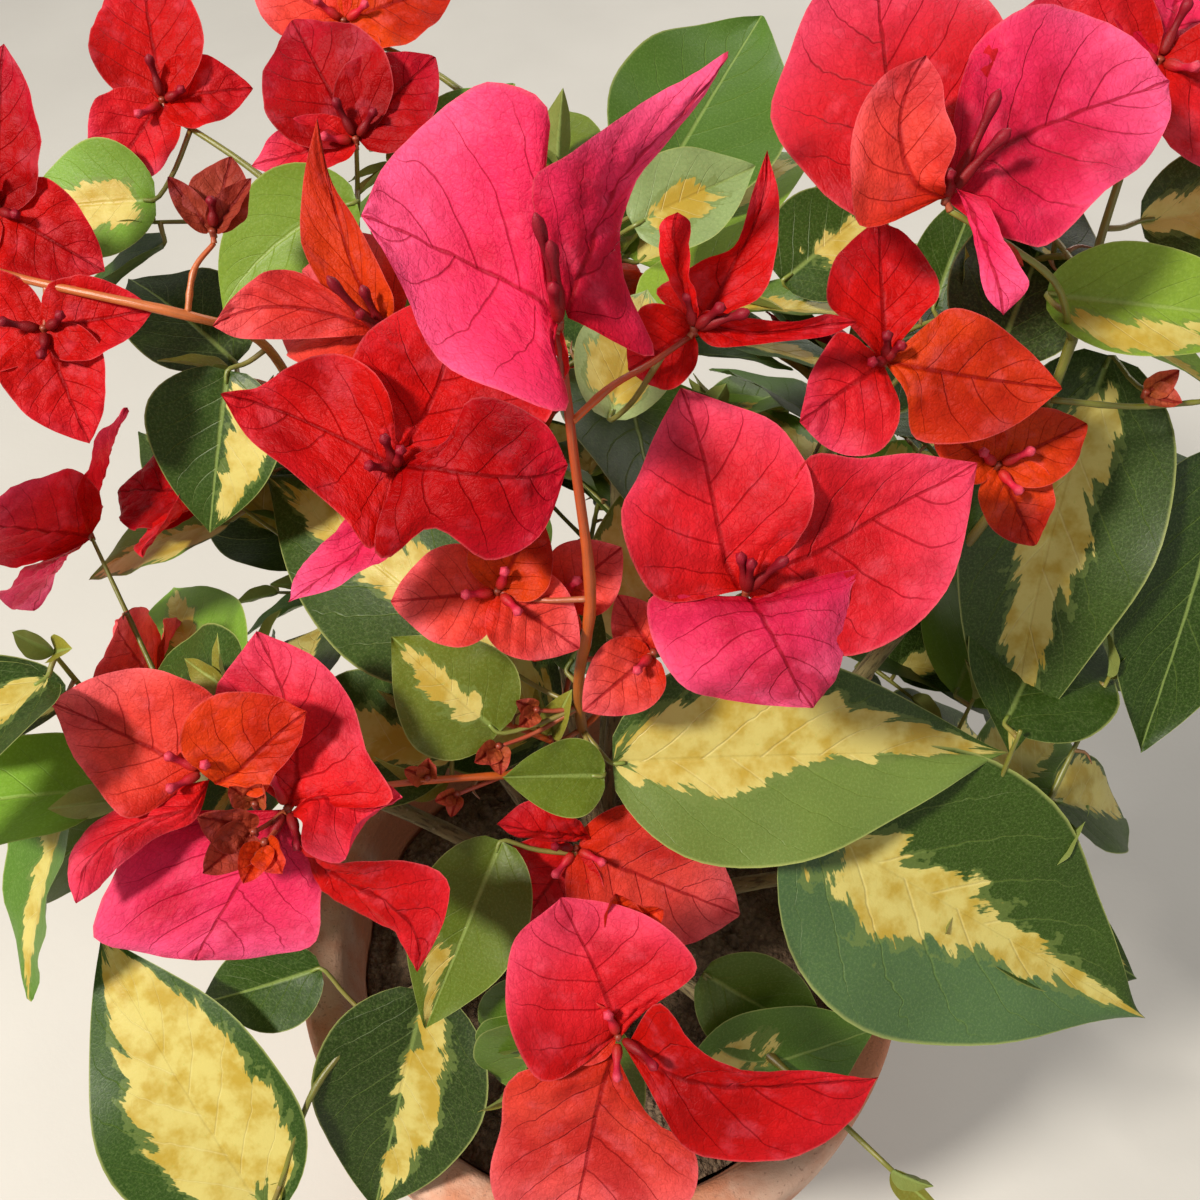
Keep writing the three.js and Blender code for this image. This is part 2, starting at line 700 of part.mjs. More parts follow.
// A thin blade, thickest along its midrib and sharp at its edge.
// With a lead, a stalk of one straight length from that point is one body with it.
function blade({ foot, pose, form, kind, lead }, stops) {
  const outline = kind === "leaf" ? LEAF_OUTLINE : BRACT_OUTLINE;
  const half = 0.5 * (kind === "leaf" ? LEAF_THICKNESS : BRACT_THICKNESS);
  const lines = bladeLines(foot, pose, form, outline, [...stops, 1]);
  const sections = stops.map((stop, row) => [
    lines.left[row],
    lines.middle[row].clone().addScaledVector(lines.faces[row], half),
    lines.middle[row].clone().addScaledVector(lines.faces[row], -half),
    lines.right[row],
  ]);
  const tip = lines.middle[stops.length];
  if (!lead) return closedSections(foot, sections, tip);
  const stalk = poseAlong(foot.clone().sub(lead).normalize(), pose.side);
  const ring = (point, { side, face }) => [[side, -1], [face, 1], [face, -1], [side, 1]].map(
    ([direction, sign]) => point.clone().addScaledVector(direction, sign * STALK_RADIUS));
  return closedSections(null, [ring(lead, stalk), ring(foot, stalk), ...sections], tip);
}

// A body with four corners to each section: left, top, under and right.
// It starts at a point, or with a flat end, and ends at its tip.
function closedSections(start, sections, tip) {
  const points = [...sections.flat(), tip];
  const end = points.length - 1;
  const faces = [];
  if (start) {
    points.push(start);
    const foot = end + 1;
    faces.push([foot, 1, 0], [foot, 3, 1], [foot, 0, 2], [foot, 2, 3]);
  } else {
    faces.push([1, 0, 2], [1, 2, 3]);
  }
  for (let row = 1; row < sections.length; row += 1) {
    const [left, top, under, right] = [0, 1, 2, 3].map((n) => 4 * row + n);
    const [leftBefore, topBefore, underBefore, rightBefore] = [left, top, under, right].map((n) => n - 4);
    faces.push(
      [leftBefore, topBefore, top], [leftBefore, top, left],
      [topBefore, rightBefore, right], [topBefore, right, top],
      [underBefore, leftBefore, under], [leftBefore, left, under],
      [rightBefore, underBefore, right], [underBefore, under, right],
    );
  }
  const [left, top, under, right] = [4, 3, 2, 1].map((n) => end - n);
  faces.push([left, top, end], [top, right, end], [under, left, end], [right, under, end]);
  return closedGeometry(points, faces);
}

// Directions for a stretch that runs along a line, its side kept near a wanted one.
function poseAlong(along, wanted) {
  const side = wanted.clone().addScaledVector(along, -wanted.dot(along)).normalize();
  return { along, side, face: new THREE.Vector3().crossVectors(side, along) };
}

// The points that stand for a blade when its neighbours are kept clear of it.
function blademarks({ foot, pose, form, kind }) {
  const outline = kind === "leaf" ? LEAF_OUTLINE : BRACT_OUTLINE;
  const lines = bladeLines(foot, pose, form, outline, [0.3, 0.6, 1]);
  return [...lines.middle, ...lines.left.slice(0, 2), ...lines.right.slice(0, 2)];
}

const formOf = ([length, width, bend, sweep, left, right, twist = 0]) => (
  { length, width, bend, sweep, left, right, twist });

// A limb's middle line as points.
function lineOf(path, steps) {
  return new THREE.CatmullRomCurve3(path.map(vector), false, "centripetal").getPoints(steps);
}

function nearest(points, goal) {
  return points.reduce((best, point) => (point.distanceTo(goal) < best.distanceTo(goal) ? point : best));
}

// A stalk from the nearest point of the spray's wood, easing up into the goal.
function stalkTo(goal, wood) {
  const start = nearest(wood, goal);
  const middle = start.clone().lerp(goal, 0.55);
  middle.z -= 0.08 * start.distanceTo(goal);
  return [start, middle, goal];
}

// A bract starts a little out from the heart of its bloom.
const fromHeart = (heart, along) => heart.clone().addScaledVector(along, 0.3 * HEART_RADIUS);

function handBracts(heart, rows) {
  return rows.map(([turn, lift, roll, ...rest]) => {
    const pose = aim(turn, lift, roll);
    return { kind: "bract", foot: fromHeart(heart, pose.along), pose, form: formOf(rest) };
  });
}

// What is set by hand on a spray.
function handSet(spray) {
  const wood = [spray.stem, ...spray.twigs].flatMap((path) => lineOf(path, 12));
  const leaves = spray.leaves.map(([foot, turn, lift, roll, ...rest]) => {
    const leaf = { kind: "leaf", foot: vector(foot), pose: aim(turn, lift, roll), form: formOf(rest) };
    return { blades: [leaf], stalk: stalkTo(leaf.foot, wood) };
  });
  const blooms = spray.blooms.map((bloom) => {
    const heart = vector(bloom.heart);
    return { blades: handBracts(heart, bloom.bracts), heart, stalk: stalkTo(heart, wood) };
  });
  return [...blooms, ...leaves];
}

// Directions across a line, for what stands round it.
function roundAbout(along, angle) {
  const across = new THREE.Vector3(0, 0, 1).addScaledVector(along, -along.z);
  if (across.length() < 0.1) across.set(1, 0, 0).addScaledVector(along, -along.x);
  across.normalize();
  return across.applyAxisAngle(along, radians(angle));
}

function poseFacing(along, wanted) {
  const face = wanted.clone().addScaledVector(along, -wanted.dot(along)).normalize();
  return { along, side: new THREE.Vector3().crossVectors(along, face), face };
}

// A leaf that grows by rule: it leaves its shoot sideways, and shows its face up and outwards.
function grownLeaf(foot, shootAlong, sidewards, random) {
  const rule = LEAF_RULE;
  const outward = foot.clone().sub(vector(CROWN_MIDDLE)).normalize();
  const height = THREE.MathUtils.clamp((foot.z - CROWN_MIDDLE[2]) / CROWN_REACH[2], -1, 1);
  const along = outward.clone().multiplyScalar(rule.outwards)
    .addScaledVector(sidewards, rule.sidewards)
    .addScaledVector(shootAlong, rule.along)
    .add(new THREE.Vector3(0, 0, rule.level - rule.droop * random()))
    .normalize();
  const leanX = rule.faceSpread * (random() - 0.5);
  const leanY = rule.faceSpread * (random() - 0.5);
  const wanted = outward.clone().multiplyScalar(rule.faceOutwards).add(new THREE.Vector3(leanX, leanY, 1));
  const length = (rule.length - rule.shorterAbove * height) * (rule.shortest + rule.lengthSpread * random());
  const width = length * (rule.slimmest + rule.widthSpread * random());
  const sweep = rule.sweepSpread * (random() - 0.5);
  const form = formOf([length, width, rule.bend, sweep, rule.rise, rule.rise]);
  return { kind: "leaf", foot, pose: poseFacing(along, wanted), form };
}

// A bloom that grows by rule: its bracts stand round an axis that points up and outwards.
function grownBracts(heart, random) {
  const rule = BLOOM_RULE;
  const tiltX = rule.tiltSpread * (random() - 0.5);
  const tiltY = rule.tiltSpread * (random() - 0.5);
  const axis = heart.clone().sub(vector(CROWN_MIDDLE)).normalize().multiplyScalar(rule.outwards)
    .add(new THREE.Vector3(tiltX, tiltY, rule.up))
    .normalize();
  const first = 360 * random();
  const size = rule.length + rule.sizeSpread * random();
  const bracts = [];
  for (let n = 0; n < rule.bracts; n += 1) {
    const turn = first + (360 * n) / rule.bracts + rule.turnSpread * (random() - 0.5);
    const lift = radians(rule.lift + rule.liftSpread * random());
    const along = roundAbout(axis, turn)
      .multiplyScalar(Math.cos(lift))
      .addScaledVector(axis, Math.sin(lift))
      .normalize();
    const length = size * (rule.shortest + rule.lengthSpread * random());
    const width = length * (rule.slimmest + rule.widthSpread * random());
    const form = formOf([length, width, rule.bend + rule.bendSpread * random(), 0, rule.rise, rule.rise]);
    bracts.push({ kind: "bract", foot: fromHeart(heart, along), pose: poseFacing(along, axis), form });
  }
  return bracts;
}

// Whether a point is in the crown, and clear of the pot and the soil.
function inCrown(point) {
  const share = [point.x, point.y, point.z].map((n, axis) => (n - CROWN_MIDDLE[axis]) / CROWN_REACH[axis]);
  const inside = share[0] ** 2 + share[1] ** 2 + share[2] ** 2 < 1;
  const overPot = Math.hypot(point.x, point.y) < POT_RIM_RADIUS + POT_BAND_STEP;
  return inside && point.z > (overPot ? POT_HEIGHT + 8 : POT_HEIGHT - 18);
}

// Whether a mark stands in the line of sight to a place that is kept open.
function hides(mark, { point, sight }) {
  const line = vector(SEEN_FROM).sub(point).normalize();
  const away = mark.clone().sub(point);
  const forward = away.dot(line);
  return forward > 0 && away.addScaledVector(line, -forward).length() < sight;
}

// A shoot's middle line, out of a spray's stem.
function shootCurve(stem, n, grows, random) {
  const rule = SHOOT_RULE;
  const share = (n + rule.first) / grows.shoots;
  const start = stem.getPoint(share);
  const stemAlong = stem.getTangent(share);
  const out = roundAbout(stemAlong, rule.turn * n + rule.turnSpread * random());
  const along = stemAlong.clone().multiplyScalar(rule.along).addScaledVector(out, rule.out);
  along.z += rule.up;
  along.normalize();
  const length = grows.length * (rule.shortest + rule.lengthSpread * random());
  const end = start.clone().addScaledVector(along, length);
  end.z += rule.rise * length;
  const middle = start.clone().lerp(end, 0.5);
  middle.z -= rule.sag * length;
  return { curve: new THREE.CatmullRomCurve3([start, middle, end], false, "centripetal"), along, end };
}

// The angles round a shoot at which the leaf of one place is tried, the first that fits being kept.
function leafTries(shoot, place, n, random) {
  const rule = LEAF_RULE;
  const lead = shoot.curve.getPoint(rule.places[place]);
  const tries = [];
  for (let attempt = 0; attempt < rule.tries; attempt += 1) {
    const turn = rule.turn + 180 * (place % 2) + rule.nextTurn * attempt + rule.turnSpread * (random() - 0.5);
    const sidewards = roundAbout(shoot.along, turn);
    const foot = lead.clone().addScaledVector(sidewards, rule.lead);
    tries.push({ ...grownLeaf(foot, shoot.along, sidewards, random), lead });
  }
  return tries;
}

// The shoots that grow by rule out of a spray's stem, with what they carry.
// An organ whose marks come too near to what is there already is skipped.
function growSpray(spray, taken) {
  const random = numbers(spray.grows.seed);
  const stem = new THREE.CatmullRomCurve3(spray.stem.map(vector), false, "centripetal");
  const clear = (marks, share = 1) => marks.every((mark) => inCrown(mark) && taken.every((one) => (
    mark.distanceTo(one.point) > share * (one.owner === spray.name ? CLEAR_OF_OWN : CLEAR_OF_OTHERS)
    && !(one.sight && hides(mark, one)))));
  const keep = (marks) => marks.forEach((point) => taken.push({ point, owner: spray.name }));
  const shoots = [];
  let blooms = 0;
  for (let n = 0; n < spray.grows.shoots; n += 1) {
    const shoot = shootCurve(stem, n, spray.grows, random);
    const organs = [];
    const bracts = grownBracts(shoot.end, random);
    if (blooms < spray.grows.blooms && clear(bracts.flatMap(blademarks), BLOOM_CLEARANCE_SHARE)) {
      blooms += 1;
      organs.push({ at: 1, blades: bracts, heart: shoot.end });
      keep(bracts.flatMap(blademarks));
    }
    LEAF_RULE.places.forEach((at, place) => {
      const leaf = leafTries(shoot, place, n, random).find((one) => clear(blademarks(one)));
      if (leaf) {
        organs.push({ at, blades: [leaf] });
        keep(blademarks(leaf));
      }
    });
    if (organs.length > 0) {
      const reach = Math.min(1, Math.max(...organs.map((organ) => organ.at)) + SHOOT_RULE.spare);
      shoots.push({ points: [0, 0.5, 1].map((t) => shoot.curve.getPoint(t * reach)), organs });
    }
  }
  return shoots;
}

// The stalk and heart that carry an organ's blades, if it has them.
function carriersOf(organ) {
  const pieces = [];
  if (organ.stalk) {
    const path = organ.stalk.map((point) => point.toArray());
    const [{ kind, foot, pose, form }] = organ.blades;
    if (kind === "leaf") path.push(foot.clone().addScaledVector(pose.along, 0.12 * form.length).toArray());
    pieces.push(limb(path, taper([STALK_RADIUS, 0.6 * STALK_RADIUS]), STALK_SIDES, path.length - 1));
  }
  if (organ.heart) {
    const heart = new THREE.OctahedronGeometry(HEART_RADIUS, 0);
    heart.translate(organ.heart.x, organ.heart.y, organ.heart.z);
    pieces.push(heart);
  }
  return pieces.map(solidOf);
}

function joined(solids) {
  return solids.length === 1 ? solids[0] : wasm.Manifold.union(solids);
}

const near = (solid, other) => {
  const a = solid.boundingBox();
  const b = other.boundingBox();
  const apart = [0, 1, 2].some((n) => a.min[n] - GAP > b.max[n] || b.min[n] - GAP > a.max[n]);
  return !apart && solid.minGap(other, 2 * GAP) < GAP;
};

function potSolid() {
  const body = POT_RIM_RADIUS - POT_BAND_STEP;
  const band = POT_HEIGHT - POT_BAND_HEIGHT;
  const profile = [
    [0, 0], [POT_FOOT_RADIUS - POT_EDGE, 0], [POT_FOOT_RADIUS, POT_EDGE],
    [body, band], [POT_RIM_RADIUS - POT_EDGE, band + POT_EDGE], [POT_RIM_RADIUS, band + 3 * POT_EDGE],
    [POT_RIM_RADIUS, POT_HEIGHT - 2 * POT_EDGE], [POT_RIM_RADIUS - POT_EDGE, POT_HEIGHT],
    [POT_INNER_TOP + POT_EDGE, POT_HEIGHT], [POT_INNER_TOP, POT_HEIGHT - POT_EDGE],
    [POT_INNER_FOOT, POT_FLOOR], [0, POT_FLOOR],
  ];
  const pot = new THREE.LatheGeometry(profile.map(([x, y]) => new THREE.Vector2(x, y)), POT_SIDES);
  pot.rotateX(Math.PI / 2);
  let solid = solidOf(pot);
  for (let n = 0; n < DRAIN_HOLES; n += 1) {
    const angle = (2 * Math.PI * n) / DRAIN_HOLES;
    const drill = new THREE.CylinderGeometry(DRAIN_RADIUS, DRAIN_RADIUS, 3 * POT_FLOOR, 16);
    drill.rotateX(Math.PI / 2);
    drill.translate(DRAIN_RING * Math.cos(angle), DRAIN_RING * Math.sin(angle), 0);
    solid = solid.subtract(solidOf(drill));
  }
  return solid;
}

// Radius of the pot's inner wall, to the middle of its flat sides.
function innerRadius(z) {
  const share = (z - POT_FLOOR) / (POT_HEIGHT - POT_EDGE - POT_FLOOR);
  return (POT_INNER_FOOT + (POT_INNER_TOP - POT_INNER_FOOT) * share) * Math.cos(Math.PI / POT_SIDES);
}

// The soil: lumpy on top, flat under the trunk, and clear of the pot all round.
function soilSolid() {
  const random = numbers(SOIL_SEED);
  const floor = POT_FLOOR + GAP;
  const edge = innerRadius(SOIL_LEVEL) - 2 * GAP;
  const points = [new THREE.Vector3(0, 0, SOIL_LEVEL)];
  const faces = [];
  for (let ring = 1; ring <= SOIL_RINGS; ring += 1) {
    const radius = (edge * ring) / SOIL_RINGS;
    for (let side = 0; side < SOIL_SIDES; side += 1) {
      const angle = (2 * Math.PI * (side + 0.5 * (ring % 2))) / SOIL_SIDES;
      const lump = radius > SOIL_FLAT_RADIUS && ring < SOIL_RINGS ? SOIL_LUMP * (random() - 0.4) : 0;
      points.push(new THREE.Vector3(radius * Math.cos(angle), radius * Math.sin(angle), SOIL_LEVEL + lump));
    }
  }
  const foot = innerRadius(floor) - 2 * GAP;
  for (let side = 0; side < SOIL_SIDES; side += 1) {
    const angle = (2 * Math.PI * (side + 0.5 * (SOIL_RINGS % 2))) / SOIL_SIDES;
    points.push(new THREE.Vector3(foot * Math.cos(angle), foot * Math.sin(angle), floor));
  }
  points.push(new THREE.Vector3(0, 0, floor));
  const under = points.length - 1;
  for (let side = 0; side < SOIL_SIDES; side += 1) {
    const next = (side + 1) % SOIL_SIDES;
    faces.push([0, 1 + side, 1 + next]);
    for (let ring = 0; ring < SOIL_RINGS; ring += 1) {
      const inner = 1 + ring * SOIL_SIDES;
      const outer = inner + SOIL_SIDES;
      const leanOn = ring % 2 === 0 && ring < SOIL_RINGS - 1;
      if (leanOn) {
        faces.push([inner + side, outer + side, inner + next], [inner + next, outer + side, outer + next]);
      } else {
        faces.push([inner + side, outer + side, outer + next], [inner + side, outer + next, inner + next]);
      }
    }
    const rim = 1 + SOIL_RINGS * SOIL_SIDES;
    faces.push([under, rim + next, rim + side]);
  }
  return solidOf(closedGeometry(points, faces));
}

function trunkRadius(t) {
  const flare = TRUNK_FLARE * Math.exp((-t * TRUNK_HEIGHT) / TRUNK_FLARE_HEIGHT);
  return taper([TRUNK_FOOT_RADIUS, TRUNK_FORK_RADIUS])(t) + flare;
}

function trunkGeometry(grown) {
  const foot = SOIL_LEVEL + GAP;
  const path = [
    [0, 0, foot],
    [0, 0, foot + 0.15 * TRUNK_HEIGHT],
    [0.5 * TRUNK_LEAN[0], 0.5 * TRUNK_LEAN[1], foot + 0.6 * TRUNK_HEIGHT],
    [...TRUNK_LEAN, foot + TRUNK_HEIGHT],
  ];
  return limb(path, (t) => trunkRadius(t) + grown, TRUNK_SIDES, TRUNK_STEPS);
}

function boughGeometry(bough, grown) {
  const radiusAt = taper(bough.radius);
  return limb(bough.path, (t) => radiusAt(t) + grown, BOUGH_SIDES, BOUGH_STEPS);
}

const settled = [];

// Joins an organ's pieces and keeps them, unless they come too near to another node.
function settle(owner, bough, pieces) {
  const solid = joined(pieces);
  const blocked = settled.some((one) => one.owner !== owner && one.owner !== bough && near(one.solid, solid));
  if (!blocked) settled.push({ owner, solid });
  return !blocked;
}

// Keeps an organ's stalk and heart, and then each blade that is clear of the other nodes.
function settleOrgan(spray, organ, stops) {
  const carriers = carriersOf(organ);
  if (carriers.length > 0 && !settle(spray.name, spray.bough, carriers)) return;
  organ.blades.forEach((one) => settle(spray.name, spray.bough, [solidOf(blade(one, stops))]));
}

// Keeps a stem, twig or shoot, unless it comes too near to another node.
function settleWood(spray, path, radius, sides, steps) {
  return settle(spray.name, spray.bough, [solidOf(limb(path, taper(radius), sides, steps))]);
}

const bush = new THREE.Group();

function addNode(name, solid, material) {
  const mesh = new THREE.Mesh(geometryOf(solid), material);
  mesh.name = name;
  bush.add(mesh);
}

const pot = potSolid();
const soil = soilSolid();
const trunk = solidOf(trunkGeometry(0));
settled.push({ owner: "pot", solid: pot }, { owner: "soil", solid: soil }, { owner: "trunk", solid: trunk });
addNode("pot", pot, TERRACOTTA);
addNode("soil", soil, EARTH);
addNode("trunk", trunk, BARK);

// Each bough stops clear of the trunk and of the boughs before it.
const cleared = [solidOf(trunkGeometry(GAP))];
for (const bough of BOUGHS) {
  const whole = solidOf(boughGeometry(bough, 0));
  const solid = largest(cleared.reduce((left, other) => left.subtract(other), whole));
  cleared.push(solidOf(boughGeometry(bough, GAP)));
  settled.push({ owner: bough.name, solid });
  addNode(bough.name, solid, BARK);
}

// The stems and twigs first, then what is set by hand, then what grows by rule.
for (const spray of SPRAYS) {
  settleWood(spray, spray.stem, spray.radius, STEM_SIDES, 2 * (spray.stem.length - 1));
  for (const twig of spray.twigs) settleWood(spray, twig, TWIG_RADIUS, STALK_SIDES, twig.length);
}
const taken = OPEN_PLACES.map((point) => ({ point: vector(point), owner: "pot", sight: OPEN_WIDTH }));
for (const { path } of BOUGHS) lineOf(path, 14).forEach((point) => taken.push({ point, owner: "wood" }));
for (const spray of SPRAYS) {
  const wood = [spray.stem, ...spray.twigs].flatMap((path) => lineOf(path, 12));
  wood.forEach((point) => taken.push({ point, owner: spray.name }));
  for (const organ of handSet(spray)) {
    settleOrgan(spray, organ, CLOSE_STOPS);
    for (const point of organ.blades.flatMap(blademarks)) {
      taken.push({ point, owner: spray.name, sight: SIGHT_WIDTH });
    }
  }
}
for (const spray of SPRAYS) {
  for (const shoot of growSpray(spray, taken)) {
    const path = shoot.points.map((point) => point.toArray());
    if (settleWood(spray, path, SHOOT_RADIUS, STALK_SIDES, 2)) {
      shoot.organs.forEach((organ) => settleOrgan(spray, organ, GROWN_STOPS));
    }
  }
}
const boughNamed = new Map(BOUGHS.map((bough) => [bough.name, bough]));
for (const spray of SPRAYS) {
  const own = settled.filter((one) => one.owner === spray.name).map((one) => one.solid);
  const limbGrown = solidOf(boughGeometry(boughNamed.get(spray.bough), GAP));
  const solid = largest(joined(own).subtract(limbGrown));
  addNode(spray.name, solid, spray.blooms.length > 0 ? BLOSSOM : FOLIAGE);
}

export default bush;
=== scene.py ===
import math

import bmesh
import bpy
import numpy as np
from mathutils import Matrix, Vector


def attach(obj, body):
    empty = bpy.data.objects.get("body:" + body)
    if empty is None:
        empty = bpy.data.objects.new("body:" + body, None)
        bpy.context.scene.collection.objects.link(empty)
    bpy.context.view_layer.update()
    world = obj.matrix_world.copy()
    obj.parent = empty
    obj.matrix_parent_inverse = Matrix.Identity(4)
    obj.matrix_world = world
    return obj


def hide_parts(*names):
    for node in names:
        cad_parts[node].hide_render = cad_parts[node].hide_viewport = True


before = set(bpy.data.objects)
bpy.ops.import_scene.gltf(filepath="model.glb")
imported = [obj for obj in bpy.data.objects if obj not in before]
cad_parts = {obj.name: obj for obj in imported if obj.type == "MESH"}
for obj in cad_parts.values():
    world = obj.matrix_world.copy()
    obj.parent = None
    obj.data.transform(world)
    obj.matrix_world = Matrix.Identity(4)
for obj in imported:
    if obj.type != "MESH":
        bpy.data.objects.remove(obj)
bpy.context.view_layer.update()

MM = 0.001

# Pot, a turned terracotta flower pot with a rim band.
POT_HEIGHT = 170
POT_RIM_RADIUS = 95
POT_BAND_HEIGHT = 28
POT_BAND_STEP = 5
POT_FOOT_RADIUS = 62
POT_WALL = 8
POT_EDGE = 2
POT_INNER_TOP = POT_RIM_RADIUS - POT_BAND_STEP - POT_WALL
POT_INNER_FOOT = POT_FOOT_RADIUS - POT_WALL
POT_FLOOR = 12
POT_SIDES = 144
DRAIN_HOLES = 3
DRAIN_RADIUS = 6
DRAIN_RING = 30

# Soil, which fills the pot to a little under the rim.
SOIL_DROP = 25
SOIL_LEVEL = POT_HEIGHT - SOIL_DROP
SOIL_LUMP = 2.5
SOIL_RINGS = 44
SOIL_SIDES = 120
SOIL_FLAT_RADIUS = 14
SOIL_GRAIN = 1.1
SOIL_OFF_WALL = 0.8
CRUMBS = 420
CRUMB_RADIUS = [0.9, 3.3]

# Trunk, from the soil to the fork.
GAP = 0.3
TRUNK_HEIGHT = 62
TRUNK_FOOT_RADIUS = 7
TRUNK_FORK_RADIUS = 5.4
TRUNK_FLARE = 6
TRUNK_FLARE_HEIGHT = 7
TRUNK_LEAN = [2, -1]
FORK_TOP = SOIL_LEVEL + TRUNK_HEIGHT + 3 * GAP

TWIG_RADIUS = [1.2, 0.9]
SHOOT_RADIUS = [1.3, 0.8]
STALK_RADIUS = 0.7
STEM_SHOWN = 0.62
HEART_RADIUS = 1.7

LEAF_OUTLINE = {"base": 0.6, "tip": 1.1, "lobe": 0.03}
BRACT_OUTLINE = {"base": 0.5, "tip": 0.92, "lobe": 0.04}
DRAWN_OUT = {"base": 0.66, "tip": 1.32}

# How finely a blade's midrib is stepped, how steep a half starts and curls as shares of its rise,
# and how far out of its bloom's heart a bract stands, as a share of the heart.
SPINE_STEPS = 48
HALF_START = 0.45
HALF_CURL = 1.1
OUT_OF_HEART = 0.3

# Where a stalk's middle is on its way, and how far it sags there as a share of its length.
STALK_MIDDLE = 0.55
STALK_SAG = 0.08

# The crown's reach round its middle, for what grows by rule, and how near it comes to the rim.
CROWN_MIDDLE = np.array([0, 15, 285], float)
CROWN_REACH = np.array([185, 165, 135], float)
CROWN_OVER_RIM = 8
CROWN_UNDER_RIM = 18
CLEAR_OF_OTHERS = 9
CLEAR_OF_OWN = 7
BLOOM_CLEARANCE_SHARE = 0.6

# How a shoot grows: its place on the stem, its turn round the stem from the last shoot, how much
# it keeps along the stem, out of it and up, its length, and its rise and sag as shares of that.
SHOOT_RULE = {
    "first": 0.4, "turn": 137.5, "turn_spread": 50, "along": 0.5, "out": 0.85, "up": 0.2,
    "shortest": 0.7, "length_spread": 0.5, "rise": 0.1, "sag": 0.04, "spare": 0.04,
}

# How a shoot's leaves grow: their places along it, where each is tried, how much each keeps
# outwards, sideways and along the shoot, how far it droops and where it faces, and its form.
LEAF_RULE = {
    "places": [0.32, 0.59, 0.86], "tries": 3, "turn": 90, "next_turn": 75, "turn_spread": 50, "lead": 5,
    "outwards": 0.75, "sidewards": 0.8, "along": 0.35, "level": 0.05, "droop": 0.45,
    "face_outwards": 0.45, "face_spread": 0.5,
    "length": 64, "shorter_above": 18, "shortest": 0.75, "length_spread": 0.4,
    "slimmest": 0.55, "width_spread": 0.12, "bend": -20, "sweep_spread": 24, "rise": 14,
}

# How a bloom grows at a shoot's end: how much its axis keeps outwards and up, and its bracts.
BLOOM_RULE = {
    "bracts": 3, "outwards": 0.8, "tilt_spread": 0.6, "up": 0.55, "length": 34, "size_spread": 8,
    "turn_spread": 20, "lift": 12, "lift_spread": 26, "shortest": 0.88, "length_spread": 0.24,
    "slimmest": 0.8, "width_spread": 0.16, "bend": -22, "bend_spread": 20, "rise": 16,
}

# How finer twigs carry the rule on, out of the shoots that stand far enough from where the plant
# is seen: their places, how much each keeps along its shoot and outwards, and its smaller leaves.
FINER_RULE = {
    "places": [0.25, 0.55, 0.85], "along": 0.5, "outwards": 0.4, "length": 20, "length_spread": 18,
    "rise": 0.1, "leaves": [0.5, 0.78, 1.0], "lead": 3, "leaf_size": 0.62, "clearance": 0.55,
    "wood_clearance": 0.1, "behind": 300,
}

# What grows by rule stays out of the lines of sight to what is listed, and to these places
# on the soil and the rim. The finer twigs keep clear of places on the floor too.
SEEN_FROM = np.array([0, -155, 533], float)
SIGHT_WIDTH = 7
OPEN_PLACES = [[57, 7, 145], [83, -30, 165], [-85, -4, 165]]
OPEN_WIDTH = 16
OPEN_FLOOR = [[-340, 390, 0], [-260, 285, 0], [-315, 245, 0], [-280, 135, 0], [265, 170, 0], [260, 80, 0]]
OPEN_FLOOR_WIDTH = 32

# What would hide a blade that is listed isn't shown: how near a line of sight it comes and how
# far before the blade it stands, and the share of a blade or of a shoot's wood that may do so.
SIGHT_SLIT = 3.5
BEFORE_AT_LEAST = 2
BLADE_BEFORE = 0.15
WOOD_BEFORE = 0.5

# The showing side's plane leans back from level by this angle.
# On that plane a turn of 0 points to +X and a turn of 90 points up the plane.
SHOW_TILT = math.radians(52)
SHOW_RIGHT = np.array([1.0, 0.0, 0.0])
SHOW_UP = np.array([0.0, math.sin(SHOW_TILT), math.cos(SHOW_TILT)])
SHOW_OUT = np.array([0.0, -math.cos(SHOW_TILT), math.sin(SHOW_TILT)])

# What each use of the random numbers adds to a spray's seed.
SEED_STEPS = {"organs": 500, "young leaves": 700, "finer twigs": 800, "paint": 900}
WOOD_SEED = 71
CRUMB_SEED = 5

# Fineness of the meshes: rows along a blade and columns across it, and sides of round things.
LEAF_GRID = (26, 16)
BRACT_GRID = (30, 22)
STEM_SIDES = 10
STALK_SIDES = 7
TUBE_SIDES = 10

# Bract colours: at the heart, over the body and at the tip.
TINTS = {
    "magenta": ((0.50, 0.003, 0.020), (0.74, 0.024, 0.100), (0.84, 0.090, 0.230)),
    # The crimson tint is darker than the bracts' own colour: painted shade, for bracts that lie in the shade
    # of others.
    "crimson": ((0.34, 0.001, 0.001), (0.40, 0.001, 0.002), (0.46, 0.004, 0.020)),
    "red": ((0.50, 0.004, 0.001), (0.54, 0.004, 0.003), (0.62, 0.010, 0.018)),
    "rose": ((0.56, 0.006, 0.003), (0.64, 0.012, 0.020), (0.76, 0.050, 0.115)),
    "coral": ((0.62, 0.022, 0.003), (0.76, 0.060, 0.040), (0.84, 0.115, 0.125)),
    "orange": ((0.66, 0.052, 0.003), (0.66, 0.048, 0.005), (0.62, 0.036, 0.010)),
    "dusky": ((0.30, 0.040, 0.016), (0.34, 0.050, 0.026), (0.30, 0.036, 0.022)),
    "bud": ((0.36, 0.080, 0.020), (0.46, 0.090, 0.035), (0.50, 0.070, 0.040)),
}

# Leaf greens, from shaded to fresh.
GREENS = {
    "deep": (0.018, 0.038, 0.002),
    "dark": (0.028, 0.062, 0.004),
    "mid": (0.078, 0.155, 0.014),
    "fresh": (0.170, 0.290, 0.024),
    "olive": (0.110, 0.150, 0.010),
    "pale": (0.300, 0.400, 0.150),
    # A lighter grey-green for the half that faces the light: partly the leaf's own dusty tone, partly a
    # painted sheen.
    "dusty": (0.135, 0.205, 0.040),
    "grey": (0.062, 0.130, 0.040),
    "young": (0.210, 0.190, 0.020),
}

